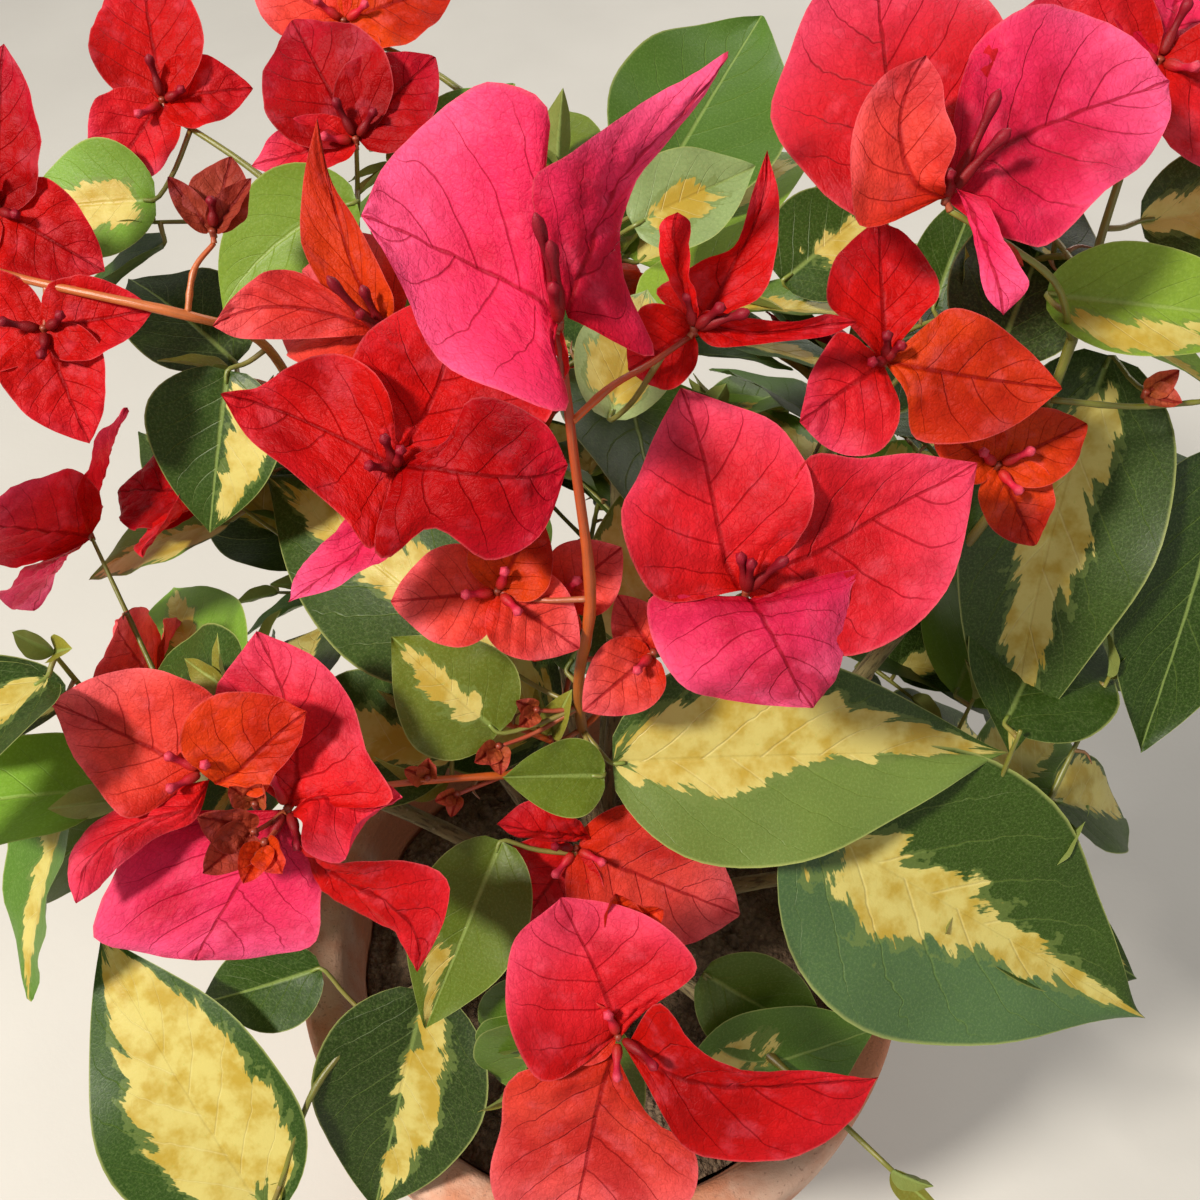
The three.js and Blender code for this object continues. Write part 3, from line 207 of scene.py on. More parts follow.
# Boughs: the points of the limb's middle line, then its radius at the foot and at the tip.
BOUGHS = {
    "bough_centre": [[[2, -1, FORK_TOP], [-2, 0, 240], [-4, 2, 270]], [3.6, 2.8]],
    "bough_left": [[[-1, 0, 200], [-7, 24, 255], [-14, 28, 322]], [2.8, 2]],
    "bough_far_left": [[[-1, 1, 184], [-40, 36, 236], [-74, 73, 300]], [3.2, 2.2]],
    "bough_back_left": [[[0, 2, 190], [-28, 50, 250], [-55, 84, 318]], [3, 2.2]],
    "bough_back": [[[0, 2, 198], [6, 52, 246], [4, 92, 308]], [3, 2.2]],
    "bough_back_right": [[[1, 1, 186], [36, 44, 240], [62, 78, 308]], [3, 2.2]],
    "bough_middle_right": [[[1, 1, 196], [32, 26, 245], [46, 34, 312]], [2.8, 2]],
    "bough_right": [[[2, 0, 182], [48, 16, 232], [84, 32, 300]], [3.2, 2.2]],
    "bough_centre_right": [[[2, 0, 202], [18, 14, 250], [27, 12, 300]], [2.8, 2]],
    "bough_low_right": [[[2, -1, 172], [34, -6, 205], [62, -10, 226]], [2.8, 2]],
    "bough_front": [[[1, -2, 178], [0, -26, 208], [-2, -38, 236]], [3, 2.2]],
    "bough_front_left": [[[-1, -1, 170], [-34, -26, 200], [-58, -44, 214]], [2.8, 2]],
    "bough_front_right": [[[2, -2, 168], [26, -32, 196], [40, -50, 208]], [2.8, 2]],
    "bough_low_back_left": [[[-1, 1, 173], [-30, 36, 208], [-50, 58, 230]], [2.8, 2]],
    "bough_low_back_right": [[[1, 1, 179], [34, 34, 214], [58, 54, 238]], [2.8, 2]],
    "bough_low_back": [[[0, 2, 169], [2, 40, 206], [4, 70, 228]], [2.8, 2]],
    "bough_low_left": [[[-1, 0, 176], [-42, 6, 216], [-78, 8, 250]], [2.8, 2]],
}


def spray_of(name, grows, radius, stem, twigs=(), blooms=(), leaves=(), unseen=()):
    """A spray: how it grows by rule, its stem and side twigs, and what is listed for it.

    What grows by rule is its seed, its shoots, their length and how many of them flower.
    """
    seed, shoots, length, flowering = grows
    return {
        "name": name, "seed": seed, "shoots": shoots, "length": length, "flowering": flowering,
        "radius": radius, "stem": stem, "twigs": list(twigs), "blooms": blooms, "leaves": leaves,
        "unseen": unseen,
    }


# A bloom is its heart and a row for each bract, which starts with the bract's tint. A leaf is the
# point where its blade begins, its green, a pair of greens where its halves differ, and where it is
# cream: from the first to the second share of its half widths, left to right, and from the first to
# the second share of its length, where a pair tells a share near the foot and past it.
# Then both hold, in millimetres and degrees:
# turn, lift, roll, length, width, bend, sweep, left, right and, where they differ, twist and outline.
# Turn and lift aim the blade on the showing side, bend and lift are positive towards it,
# sweep is positive to the left, and left and right tell how far each half rises out of flat.
SPRAYS = [
    spray_of(
        "spray_crown_top", [11, 5, 42, 0], [2.4, 1.2],
        [[-4, 2, 271], [-5, 2, 300], [-2, 0, 335], [-5, 4, 375], [-7, 9, 398]],
        twigs=[[[-5, 5, 381], [2, 12, 383], [10, 20, 382], [17, 26, 383]]],
        blooms=[
            [[-7, 9, 400], ["magenta", 150, -24, 8, 53, 64, -12, 0, -50, 8],
             ["magenta", 60, 4, 0, 56, 42, -8, 0, 45, 50, -50],
             ["red", 215, -75, 0, 16, 16, -20, 0, 20, 20]],
            [[18, 27, 384], ["red", 94, 25, 10, 27, 15, 10, 0, 50, 50],
             ["red", 60, 5, 0, 38, 23, 8, 14, 60, 30], ["red", 3, 5, 0, 31, 17, 5, 8, 40, 40],
             ["red", 205, -35, 0, 17, 18, -10, 0, 20, 20]],
            [[-22, 5, 331], ["coral", 185, 0, 0, 23, 23, -10, 0, 15, 15],
             ["orange", 62, 15, 0, 20, 20, 10, 0, 20, 20], ["coral", 325, 0, 0, 21, 21, -10, 0, 20, 20]],
            [[-9, 6, 328], ["coral", 38, 5, 0, 17, 18, -10, 0, 15, 15],
             ["orange", 248, -10, 0, 15, 15, 0, 0, 15, 15]],
            [[12, 1, 314], ["coral", 219, 10, 0, 20, 18, -10, 0, 15, 15],
             ["coral", 122, 0, 0, 15, 13, 0, 0, 15, 15]],
        ],
        leaves=[
            [[3, -8, 281], ["dark", "dusty"], [-0.62, [0.34, 0.05], 0.02, 0.97],
             3, 2, 0, 98, 53, -12, -4, 12, 16, 0, DRAWN_OUT],
            [[2, 36, 352], "pale", [-0.7, 0.6, 0.1, 0.9], 75, -30, 0, 44, 26, -10, 0, 25, 25],
            [[-24, -5, 290], "olive", [-0.25, 0.2, 0.2, 0.85], 137, 12, 0, 34, 31, -8, 0, 12, 12],
            [[-8, 6, 300], "dark", None, 62, 0, 0, 17, 14, 0, 0, 20, 20],
            [[1, -12, 282], "olive", None, 178, 14, 0, 25, 20, 10, 0, 20, 20],
            [[-26, 14, 294], "dark", [-0.2, 0.45, 0.02, 0.9], 143, -10, 0, 82, 46, -15, 0, 15, 15],
        ],
    ),
    spray_of(
        "spray_upper_left", [12, 5, 42, 0], [1.8, 1.1],
        [[-14, 28, 323], [-18, 27, 336], [-30, 20, 350], [-40, 12, 361]],
        twigs=[[[-26, 22, 346], [-34, 34, 355], [-42, 41, 364], [-44, 41, 369]]],
        blooms=[
            [[-44, 41, 371], ["orange", 102, 0, 0, 38, 32, -10, 4, 45, 35],
             ["coral", 179, -22, 0, 40, 30, -8, 0, -20, 50],
             ["coral", 141, -30, 0, 36, 34, -12, 0, 15, 15]],
            [[-40, 11, 363], ["red", 158, -14, 0, 44, 38, -16, 0, 15, 15],
             ["red", 62, -8, 0, 50, 56, -14, 0, 10, 10], ["crimson", 343, 12, 0, 37, 50, -14, 0, 10, 15],
             ["magenta", 230, 2, 0, 35, 26, -10, 12, 75, 75]],
        ],
    ),
    spray_of(
        "spray_centre_right", [13, 3, 40, 0], [1.9, 1.2], [[27, 12, 301], [29, 6, 325], [29, -6, 344]],
        blooms=[
            [[29, -7, 346], ["rose", 107, -8, 0, 45, 46, -14, 0, 18, 45],
             ["rose", 29, 0, 0, 56, 46, -12, 0, 30, 12], ["magenta", 300, 12, 0, 31, 48, -14, 0, 35, 15]],
        ],
    ),
    spray_of(
        "spray_middle_right", [14, 4, 45, 1], [1.9, 1.1], [[46, 34, 313], [51, 38, 345], [57, 35, 369]],
        blooms=[
            [[58, 34, 370], ["red", 95, 0, 0, 30, 23, -14, 0, 15, 15],
             ["orange", 352, 0, 0, 37, 28, -10, 0, 15, 25], ["rose", 226, 4, 0, 25, 26, -14, 0, 20, 15]],
        ],
    ),
    spray_of(
        "spray_top_right", [15, 7, 48, 1], [2.1, 1.2],
        [[84, 32, 301], [94, 35, 335], [99, 43, 368], [104, 58, 385], [111, 76, 408]],
        twigs=[
            [[99, 43, 368], [88, 36, 388], [74, 32, 400], [63, 33, 406]],
            [[97, 38, 356], [116, 38, 354], [134, 41, 353]],
        ],
        blooms=[
            [[62, 34, 408], ["rose", 110, -20, 0, 54, 54, -10, 0, 15, 25],
             ["magenta", 27, -8, 0, 49, 46, -12, 0, 10, 30],
             ["coral", 105, 26, 0, 30, 28, -10, 0, 25, 10],
             ["magenta", 290, 36, 0, 29, 22, 0, 0, 60, 60]],
            [[112, 78, 410], ["rose", 180, 0, 0, 36, 34, -10, 0, 20, 20],
             ["magenta", 70, -10, 0, 42, 38, -12, 0, 20, 20],
             ["rose", 320, 10, 0, 38, 34, -12, 0, 20, 20]],
            [[86, 28, 346], ["orange", 25, 0, 0, 22, 18, -10, 0, 20, 20],
             ["orange", 300, -10, 0, 20, 18, -10, 0, 20, 20],
             ["orange", 150, 10, 0, 18, 16, 0, 0, 20, 20]],
        ],
        leaves=[
            [[120, 64, 346], "dark", [-0.3, 0.3, 0.1, 0.95], 251, -8, 0, 102, 50, -12, 20, 15, 15],
            [[92, 47, 377], "fresh", [0.3, 0.9, 0.1, 0.7], 352, 8, 0, 48, 25, -14, 0, 30, 20],
            [[113, 62, 384], "dark", [-0.4, 0.4, 0.0, 0.9], 8, 0, 0, 50, 28, -16, 0, 20, 20],
            [[152, 52, 326], "deep", None, 262, -12, 0, 80, 46, -10, 0, 15, 15],
        ],
    ),
    spray_of(
        "spray_left_low", [16, 4, 38, 0], [1.6, 1],
        [[-8, -2, 268], [-17, -9, 278], [-49, -19, 290], [-68, -27, 296]],
        twigs=[[[-60, -24, 294], [-72, -22, 302], [-84, -25, 306]]],
        blooms=[
            [[-85, -25, 307], ["coral", 157, -10, 0, 42, 36, -14, 0, 12, 12],
             ["orange", 36, 30, 0, 28, 30, -10, 0, 20, 20], ["rose", 214, 4, 0, 38, 26, -10, 0, 40, 30]],
            [[-68, -30, 299], ["rose", 113, -14, 0, 43, 43, -14, 0, 15, 15],
             ["magenta", 238, -6, 0, 44, 52, -14, 0, 12, 12],
             ["red", 306, 10, 0, 46, 36, -10, 0, 20, 20], ["rose", 0, 10, 0, 24, 20, -10, 0, 20, 20]],
        ],
    ),
    spray_of(
        "spray_front", [17, 4, 40, 0], [2, 1.1], [[-2, -38, 237], [-1, -48, 250], [3, -66, 266]],
        twigs=[[[-2, -39, 240], [-5, -30, 250], [-6, -22, 261]]],
        blooms=[
            [[4, -69, 268], ["rose", 109, -2, 0, 38, 42, -14, 0, 15, 15],
             ["red", 343, 6, 0, 55, 34, -6, 14, 20, 20], ["coral", 262, -6, 0, 52, 48, -16, 0, 12, 12],
             ["coral", 168, -10, 0, 18, 15, 0, 0, 20, 20]],
            [[-6, -21, 262], ["red", 165, 16, 0, 26, 26, 10, 0, 50, 40],
             ["coral", 336, -4, 0, 46, 38, -14, 0, 15, 15],
             ["rose", 236, -14, 0, 34, 30, -14, 0, 15, 15]],
        ],
        leaves=[[[-24, -22, 268], "olive", [0.1, 0.5, 0.55, 0.95], 248, 0, 0, 52, 30, -14, 0, 20, 20]],
    ),
    spray_of(
        "spray_front_left", [18, 6, 50, 1], [1.8, 1.1], [[-58, -44, 215], [-74, -62, 208], [-84, -82, 190]],
        leaves=[
            [[-88, -88, 184], "dark", [-0.55, 0.75, 0.05, 0.95], 122, 4, 0, 86, 54, -14, 0, 12, 12],
            [[-46, -42, 222], "deep", [-0.5, 0.0, 0.0, 0.9], 256, -8, 0, 72, 48, -16, 0, 15, 15],
            [[-74, -36, 222], "dark", None, 200, -10, 0, 40, 26, -14, 0, 15, 15],
        ],
    ),
    spray_of(
        "spray_front_right", [19, 6, 52, 1], [1.8, 1.1], [[40, -50, 209], [56, -66, 210], [72, -84, 214]],
        leaves=[
            [[24, -62, 208], "mid", [-0.5, 0.0, 0.1, 0.35], 12, -6, 0, 54, 36, -14, 0, 20, 20],
            [[27, -38, 224], "mid", None, 328, -6, 0, 42, 30, -14, 0, 20, 20],
        ],
        unseen=[1],
    ),
    spray_of(
        "spray_low_right", [20, 8, 52, 2], [1.8, 1.1], [[62, -10, 227], [88, -14, 236], [112, -18, 250]],
        leaves=[
            [[49, -13, 264], ["dark", "grey"], [-0.14, [0.42, 0.22], 0.12, 0.97],
             330, -3, 8, 112, 76, -12, 0, 22, 4, 0, DRAWN_OUT],
        ],
    ),
    spray_of(
        "spray_far_left", [21, 8, 48, 1], [2.1, 1.3],
        [[-74, 73, 301], [-77, 72, 330], [-80, 62, 354], [-90, 55, 365], [-131, 62, 371], [-160, 66, 380]],
        twigs=[[[-90, 55, 365], [-88, 62, 372], [-84, 67, 375]]],
        blooms=[
            [[-84, 68, 377], ["dusky", 78, 0, 0, 17, 15, -10, 0, 15, 15],
             ["dusky", 128, 10, 0, 14, 8, 0, 0, 40, 40], ["dusky", 50, 10, 0, 14, 8, 0, 0, 40, 40]],
            [[-122, 54, 362], ["red", 10, 5, 0, 24, 20, -10, 0, 20, 20],
             ["red", 290, 0, 0, 26, 24, -10, 0, 20, 20], ["red", 175, 0, 0, 26, 24, -10, 0, 20, 20]],
            [[-134, 78, 376], ["crimson", 80, 20, 0, 34, 24, -10, 0, 50, 20],
             ["red", 200, 0, 0, 32, 28, -10, 0, 20, 20], ["red", 330, 0, 0, 26, 24, -10, 0, 20, 20]],
        ],
        leaves=[[[-87, 60, 345], "dark", [-0.75, -0.15, 0.1, 0.85], 258, -10, 0, 40, 34, -14, 0, 15, 15]],
    ),
    spray_of(
        "spray_back_left", [22, 8, 52, 1], [2, 1.1],
        [[-55, 84, 319], [-62, 98, 345], [-84, 112, 362], [-108, 125, 372]],
        twigs=[[[-62, 98, 345], [-60, 106, 360], [-59, 110, 371]]],
        blooms=[
            [[-109, 127, 374], ["red", 100, 0, 0, 36, 30, -10, 0, 20, 20],
             ["red", 10, 0, 0, 22, 20, -10, 0, 20, 20], ["rose", 235, 0, 0, 28, 24, -10, 0, 20, 20]],
            [[-59, 111, 373], ["crimson", 118, 0, 0, 34, 34, -10, 0, 20, 20],
             ["crimson", 48, 0, 0, 28, 26, -10, 0, 20, 20], ["rose", 192, 0, 0, 26, 16, -10, 0, 30, 30]],
        ],
        leaves=[
            [[-110, 106, 360], "fresh", [-0.4, 0.35, 0.15, 0.7], 183, 0, 0, 36, 30, -14, 0, 15, 15],
            [[-58, 96, 366], "fresh", None, 196, 0, 0, 44, 28, -20, 40, 15, 15],
        ],
    ),
    spray_of(
        "spray_back", [23, 9, 55, 2], [2, 1.1],
        [[4, 92, 309], [0, 104, 340], [-14, 118, 360], [-40, 138, 374], [-64, 151, 379]],
        blooms=[
            [[-66, 153, 381], ["coral", 150, 0, 0, 28, 26, -10, 0, 20, 20],
             ["orange", 20, 0, 0, 30, 28, -10, 0, 20, 20], ["orange", 265, 0, 0, 26, 24, -10, 0, 20, 20]],
        ],
        leaves=[
            [[14, 122, 350], "mid", None, 62, -12, 0, 72, 50, -16, 0, 15, 15],
            [[8, 92, 362], "pale", [-0.3, 0.5, 0.1, 0.6], 28, 0, 0, 34, 25, -14, 0, 15, 15],
        ],
    ),
    spray_of(
        "spray_back_right", [24, 9, 58, 3], [2, 1.1], [[62, 78, 309], [66, 92, 340], [72, 112, 368]],
        leaves=[[[44, 84, 352], "dark", [-0.1, 0.5, 0.3, 0.9], 40, 0, 0, 36, 29, -14, 0, 15, 15]],
    ),
    spray_of(
        "spray_low_back_left", [26, 5, 55, 2], [1.8, 1.1], [[-50, 58, 231], [-72, 78, 242], [-94, 94, 258]],
    ),
    spray_of(
        "spray_low_back_right", [27, 6, 55, 2], [1.8, 1.1], [[58, 54, 239], [82, 72, 250], [104, 86, 264]],
    ),
    spray_of("spray_low_back", [28, 6, 55, 3], [1.8, 1.1], [[4, 70, 229], [6, 94, 238], [8, 118, 248]]),
    spray_of("spray_low_left", [25, 6, 55, 2], [1.8, 1.1], [[-78, 8, 251], [-104, 8, 266], [-128, 6, 286]]),
]

# Bracts whose folds and twists are set point by point, by spray, bloom and bract. Each starts with
# its foot and ends with its tip; a line between them holds a point of its midrib, then one of its
# left and one of its right edge. Each point is its way from the heart in millimetres, to the right
# and up on the showing side's plane, and then out along the line of sight.
SHAPES = {
    ("spray_crown_top", 0, 0): [
        [0, 0, 0], [-2, 3, 0, -1, -5, 2, -4, 23, 4], [-6, 5.5, -1, 1, -15, 7, -2.4, 37.7, 9],
        [-13, 9, -2, -10, -11.5, 8, -12, 40, 6], [-20.4, 12.5, -1.5, -20.4, -5.7, 6, -21.4, 35.8, 4],
        [-27.6, 16, 0, -27, 6.5, 3, -30, 27, 2], [-34, 18.5, 2],
    ],
    ("spray_crown_top", 0, 1): [
        [1.5, 1, 0], [3, 7, 1, -2, 10.6, 4, 16.5, -5.5, -7], [5.7, 13.5, 3, -4, 24.4, 13, 10.5, 8, -7],
        [7.7, 20, 4, 1, 28.5, 14, 9.3, 14.7, -6], [10.8, 26, 5, 6, 33.3, 12, 13.2, 23.3, -3],
        [17.3, 33.3, 8, 14, 38, 12, 19.4, 31, 3], [24.2, 40.5, 12, 23, 42.2, 13, 25, 39.3, 10],
        [29, 46.8, 15],
    ],
    ("spray_crown_top", 1, 0): [
        [0, 0, 0], [-0.4, 3.4, 3, -2, 3, 2, 1, 4.8, 6], [-2.7, 9.6, 6, -4.2, 9.6, 4, -1.3, 10, 10],
        [-3.8, 15.7, 8, -6.7, 16.2, 6, -0.6, 15.7, 11], [-3.8, 20.2, 9, -6.3, 20.6, 8, -0.8, 20.6, 11],
        [-3.2, 22.5, 10],
    ],
    ("spray_crown_top", 1, 1): [
        [0, 0, 0], [4, 5.7, -1, -7.3, 7.6, -2, 11.7, 5.7, 4], [7.8, 12.4, -1, 1, 13, 0, 15, 11, 5],
        [11, 19, 0, 7.8, 16.2, 3, 16.2, 20, 4], [13.4, 26.4, 1, 11, 25.8, 3, 16, 26.7, 3], [14, 34.4, 2],
    ],
    ("spray_crown_top", 1, 2): [
        [0, 0, 0], [4, 0.4, 1, 2, 3.6, 4, 3, -3, 2], [10.7, -0.6, 0, 9.7, 2.3, 4, 10.3, -3, 2],
        [19.3, 0, 0, 19.3, 1.5, 3, 19.3, -2, 2], [26, 1, 0, 25.6, 3, 2, 26, -1, 1], [31.3, 1.5, 1],
    ],
    ("spray_upper_left", 0, 0): [
        [0, 1, 0], [-3, 5, 1, -11.8, 7.5, 4, 1.7, 7.5, 5], [-6.2, 11.6, 2, -16.4, 15.3, 5, -1.4, 13.7, 6],
        [-9, 20, 3, -18.2, 23, 5, -6, 23, 5], [-11.8, 30.2, 3, -17.2, 33.3, 5, -11.6, 32.3, 4],
        [-14.5, 45, 5],
    ],
    ("spray_upper_left", 0, 1): [
        [-1, 0, 0], [-6.6, 3, 1, -7.2, 0, 2, -11.8, 9.5, 5], [-16, 5.4, 1, -16, -0.6, 3, -21, 13.7, 6],
        [-25.3, 5.8, 1, -26, -0.8, 3, -27, 12.4, 5], [-31.5, 4.3, 1, -32, -0.2, 2, -32, 8, 3],
        [-36.2, 2, 2],
    ],
    ("spray_upper_left", 1, 0): [
        [0, 0, 0], [-4.3, 2.4, 0, -4.3, -16, 3, -2.4, 16.2, 6],
        [-12.2, 6.3, -1, -10.2, -10.4, 6, -12.2, 22.7, 5], [-21, 10.2, -2, -20, -1.6, 4, -21, 19.5, 3],
        [-28.6, 12.8, -1, -29, 5.7, 2, -28, 15.6, 1], [-34.7, 14.4, 1],
    ],
    ("spray_upper_left", 1, 1): [
        [0, 0, 0], [2.6, 5.3, -1, -5, 8.3, 1, 14.4, 2.4, 0], [6.5, 12.2, -3, -9, 19, 1, 28.2, 7.3, -2],
        [9.5, 20, -4, -5, 27, -1, 31, 14.2, -4], [11.4, 28, -5, 3.5, 33, -4, 22.3, 24, -6], [12.4, 35, -6],
    ],
    ("spray_upper_left", 1, 2): [
        [0, 0, 0], [6.5, -0.6, 3, 8.5, 5.3, 6, -3.7, -17.7, 8], [14.4, -1.6, 5, 14.4, 13.2, 3, 7, -12, 4],
        [23.2, -2.2, 4, 24.2, 12.2, 0, 18.3, -18.3, 2], [29.2, -1.6, 2, 30.7, 6.3, 0, 28.2, -13.4, 1],
        [33.7, 0.4, 2],
    ],
    ("spray_upper_left", 1, 3): [
        [0, 0, 0], [-2.5, -8.5, -1, 3.4, -8.5, 3, -9, -7.5, 1],
        [-6.5, -15.5, 0, -2, -17.7, 5, -12.5, -13.5, 1], [-11.8, -20, 1, -7.4, -21.2, 5, -17.6, -17, 1],
        [-17, -23.8, 2, -14, -24.4, 4, -20, -21.6, 1], [-21.4, -26.6, 2],
    ],
    ("spray_centre_right", 0, 0): [
        [-0.8, 0.4, 0], [-4, 6, 0, -16.3, -1.6, 5, 9.7, 9.3, 2],
        [-5.4, 12.3, 0, -22, 4.8, 6, 13.3, 17.3, 5], [-7, 20.3, -1, -24.8, 16.3, 5, 12, 26.2, 5],
        [-9, 28.6, -2, -21, 24.2, 3, 6.4, 33.4, 4], [-11, 35.2, -1, -17.3, 33.2, 1, -4.2, 37.8, 1],
        [-13, 40.7, 1],
    ],
    ("spray_centre_right", 0, 1): [
        [0, 0, 0], [7.7, 5.2, -1, 6.8, 18.3, 1, 10.7, -9.5, 0],
        [15.7, 8.7, -2, 12.7, 27.2, 3, 18.7, -12.7, 1], [24.2, 14, -2, 23, 26.8, 3, 30.6, -9, 2],
        [32.6, 18.7, -1, 33, 27.8, 3, 39.5, 0, 3], [40, 22.3, 0, 40, 26.6, 2, 44, 14.3, 2], [46, 25.8, 2],
    ],
    ("spray_centre_right", 0, 2): [
        [0.8, -1.2, 0], [2.4, -4, 3, 23.8, 5.8, 0, -19, -2.4, 1],
        [4.8, -8, 5, 20.7, 0.4, -1, -18.7, -8.5, 0], [7.2, -12.5, 6, 20.3, -7.6, 0, -13, -18.3, 1],
        [9.7, -17.5, 5, 17.7, -16, 2, -3.2, -22, 2], [13.3, -23, 3],
    ],
    ("spray_middle_right", 0, 0): [
        [0, 0, 0], [0, 5.5, 0, -8, 8.2, 3, 8.4, 10.2, 4], [-0.4, 11.6, 0, -11.6, 12.6, 3, 11, 13, 4],
        [-0.8, 17.7, -1, -10.4, 20.4, 2, 9.6, 20.4, 2], [-1, 23.3, -2, -6.5, 25, 0, 4.3, 26, 0],
        [-1.2, 29, -3],
    ],
    ("spray_middle_right", 0, 1): [
        [0, 0, 0], [6.3, -1.2, 1, 10.4, 9, 4, 4.3, -6.7, 2], [13.5, -2.4, 1, 14, 11, 5, 6.3, -15.5, 0],
        [20.6, -3.5, 1, 21.6, 8.6, 4, 16.5, -16.5, 0], [28.2, -4.5, 1, 29.4, 2.4, 2, 26.7, -13, 0],
        [36.3, -5.5, 2],
    ],
    ("spray_middle_right", 0, 2): [
        [0, 0, 0], [-4, -3, 2, 3, -11.8, 3, -8.6, 6.5, 5], [-7.5, -5.3, 2, -0.8, -18, 2, -12.6, 2, 4],
        [-11, -7.8, 2, -7, -19.2, 1, -15.5, -4, 3], [-14, -10, 2, -13, -16.7, 1, -16.5, -8.2, 2],
        [-17.3, -12.2, 2],
    ],
    ("spray_top_right", 0, 0): [
        [0, 0, 0], [-4.7, 6, -1, -15.8, -3.4, -2, 8, 16, -3], [-8.6, 14, -4, -27, 5.2, -4, 10.6, 26.7, -5],
        [-10.7, 22.2, -6, -31.5, 14.5, -6, 8, 34.7, -7], [-11.6, 30.3, -8, -28, 26.7, -8, 2.5, 40, -9],
        [-12.4, 37.4, -9, -23.4, 36.5, -9, -4.7, 43.7, -10], [-13.6, 44.6, -10],
    ],
    ("spray_top_right", 0, 1): [
        [0, 0, 0], [7, 7, -1, 2.5, 21.3, -3, 11.5, -8.2, 2], [13.2, 10.6, -3, 8, 30.6, -2, 18.6, -8, 3],
        [20.4, 13.8, -4, 16.8, 34.5, -2, 27.6, 0.4, 2], [27.6, 16.5, -4, 26.7, 33.5, -2, 35.6, 6.4, 0],
        [34.4, 18.8, -3, 35.3, 26.7, -2, 39.7, 14, -1], [40, 21, -2],
    ],
    ("spray_top_right", 0, 2): [
        [0, 0, 1], [-5.5, 2.5, 3, -15, -5.2, 5, -0.2, 3.4, 8], [-8, 8.8, 5, -17.2, 3.4, 8, 1.6, 8.8, 10],
        [-8, 16, 7, -15.8, 15, 9, 0, 16, 11], [-6, 21.3, 9, -11, 22.2, 10, -1, 21.3, 11], [-3.6, 25.6, 11],
    ],
    ("spray_top_right", 0, 3): [
        [1, 2, 2], [3.4, -0.2, 5, 7, -1, 9, 1.6, 2.5, 2], [5.7, -6.4, 8, 10.2, -6, 12, 4.3, -4.7, 4],
        [8, -11.8, 10, 13, -11.8, 13, 6, -11.3, 7], [9.7, -16.6, 11, 14.7, -15.8, 13, 7.2, -17.7, 9],
        [10.2, -21, 10],
    ],
    ("spray_left_low", 0, 0): [
        [-0.5, 0, 0], [-6.5, 2.4, 0, -15.5, -10.3, 6, 1.5, 16, 2],
        [-13, 5.6, -1, -23, -4.5, 6, -5.4, 20.2, 4], [-20, 8.8, -1, -27.5, 2, 4, -13, 22, 4],
        [-26.4, 11.8, 0, -30.5, 9.2, 2, -23.7, 20.2, 2], [-33.5, 14.8, 1],
    ],
    ("spray_left_low", 0, 1): [
        [2.2, -3, 1], [7, -0.2, 2, -4.3, 3, 8, 12.3, -5.2, 5], [10.8, 3.4, 3, -4.3, 11, 9, 15, -1, 5],
        [14.4, 6.7, 4, 3.7, 17, 8, 18.3, 2.8, 5], [18.3, 10, 5, 14.4, 16, 7, 21, 7.7, 6], [22, 12.7, 6],
    ],
    ("spray_left_low", 0, 2): [
        [1, -2, 0], [-3.2, -8, 4, -2.2, -11, 3, -6.5, -4, 1],
        [-11.8, -10.5, 5, -10.8, -14.4, 3, -17.2, -7.5, 0],
        [-20, -14.8, 5, -17.8, -20.4, 3, -25.2, -12.3, 0], [-25.6, -21, 4, -22.6, -25.2, 3, -30, -19.6, 1],
        [-27.7, -28.6, 3],
    ],
    ("spray_left_low", 1, 0): [
        [0, 0.5, 0], [2.2, 7.4, 0, -8.3, 7.4, -2, 23.3, 2, 4],
        [1.7, 15, -2, -14.4, 17.2, -3, 17.4, 12.4, 2], [0, 22.7, -3, -16.4, 25, -4, 13.5, 23.8, 0],
        [-2.8, 30.7, -3, -12, 31.6, -4, 6.5, 33, -2], [-6.8, 38.8, -2],
    ],
    ("spray_left_low", 1, 1): [
        [0, 0, -1], [-5, -7.8, -2, 5.2, -9, -2, -31, -3, -6], [-10, -15.5, -4, 7, -19.8, -1, -38, -15, -6],
        [-14.4, -23, -5, 6, -29, -2, -41.4, -28, -5], [-18, -29.2, -5, -5.7, -32.3, -4, -30, -31.8, -5],
        [-20, -33, -4],
    ],
    ("spray_left_low", 1, 2): [
        [0.4, -2.4, 1], [4.6, -9, 5, 3.4, -7.6, 9, 5, -12.6, 2],
        [9.8, -13.5, 4, 10.5, -10.6, 9, 8, -16.8, 2], [16, -17, 4, 17.6, -11.7, 9, 12.4, -21, 1],
        [22.5, -20.5, 4, 26, -12.3, 8, 18.6, -24.6, 1], [27.5, -25.5, 3, 34.6, -15.5, 6, 23.6, -26.6, 1],
        [29, -31, 3, 34, -24.5, 4, 26, -30.6, 2], [28.2, -35.5, 4],
    ],
    ("spray_left_low", 1, 3): [
        [0.4, -1, 1], [7, 2.6, 2, 8.5, 5.2, 3, 3, -3, 8], [12, 1.2, 1, 13.6, 6.1, 4, 3.4, -8.8, 11],
        [16.4, -0.4, 1, 18.4, 6.2, 3, 11.6, -11.6, 10], [20.8, 0.6, 2, 22, 5.4, 3, 15.6, -3.4, 6],
        [25, 2.6, 4],
    ],
    ("spray_front", 0, 0): [
        [0, 0, 0], [-1.3, 4.8, 1, -16, -10.5, 6, 8, 8, 1], [-3.5, 11.3, 1, -23, 0.4, 6, 17.2, 14.6, 4],
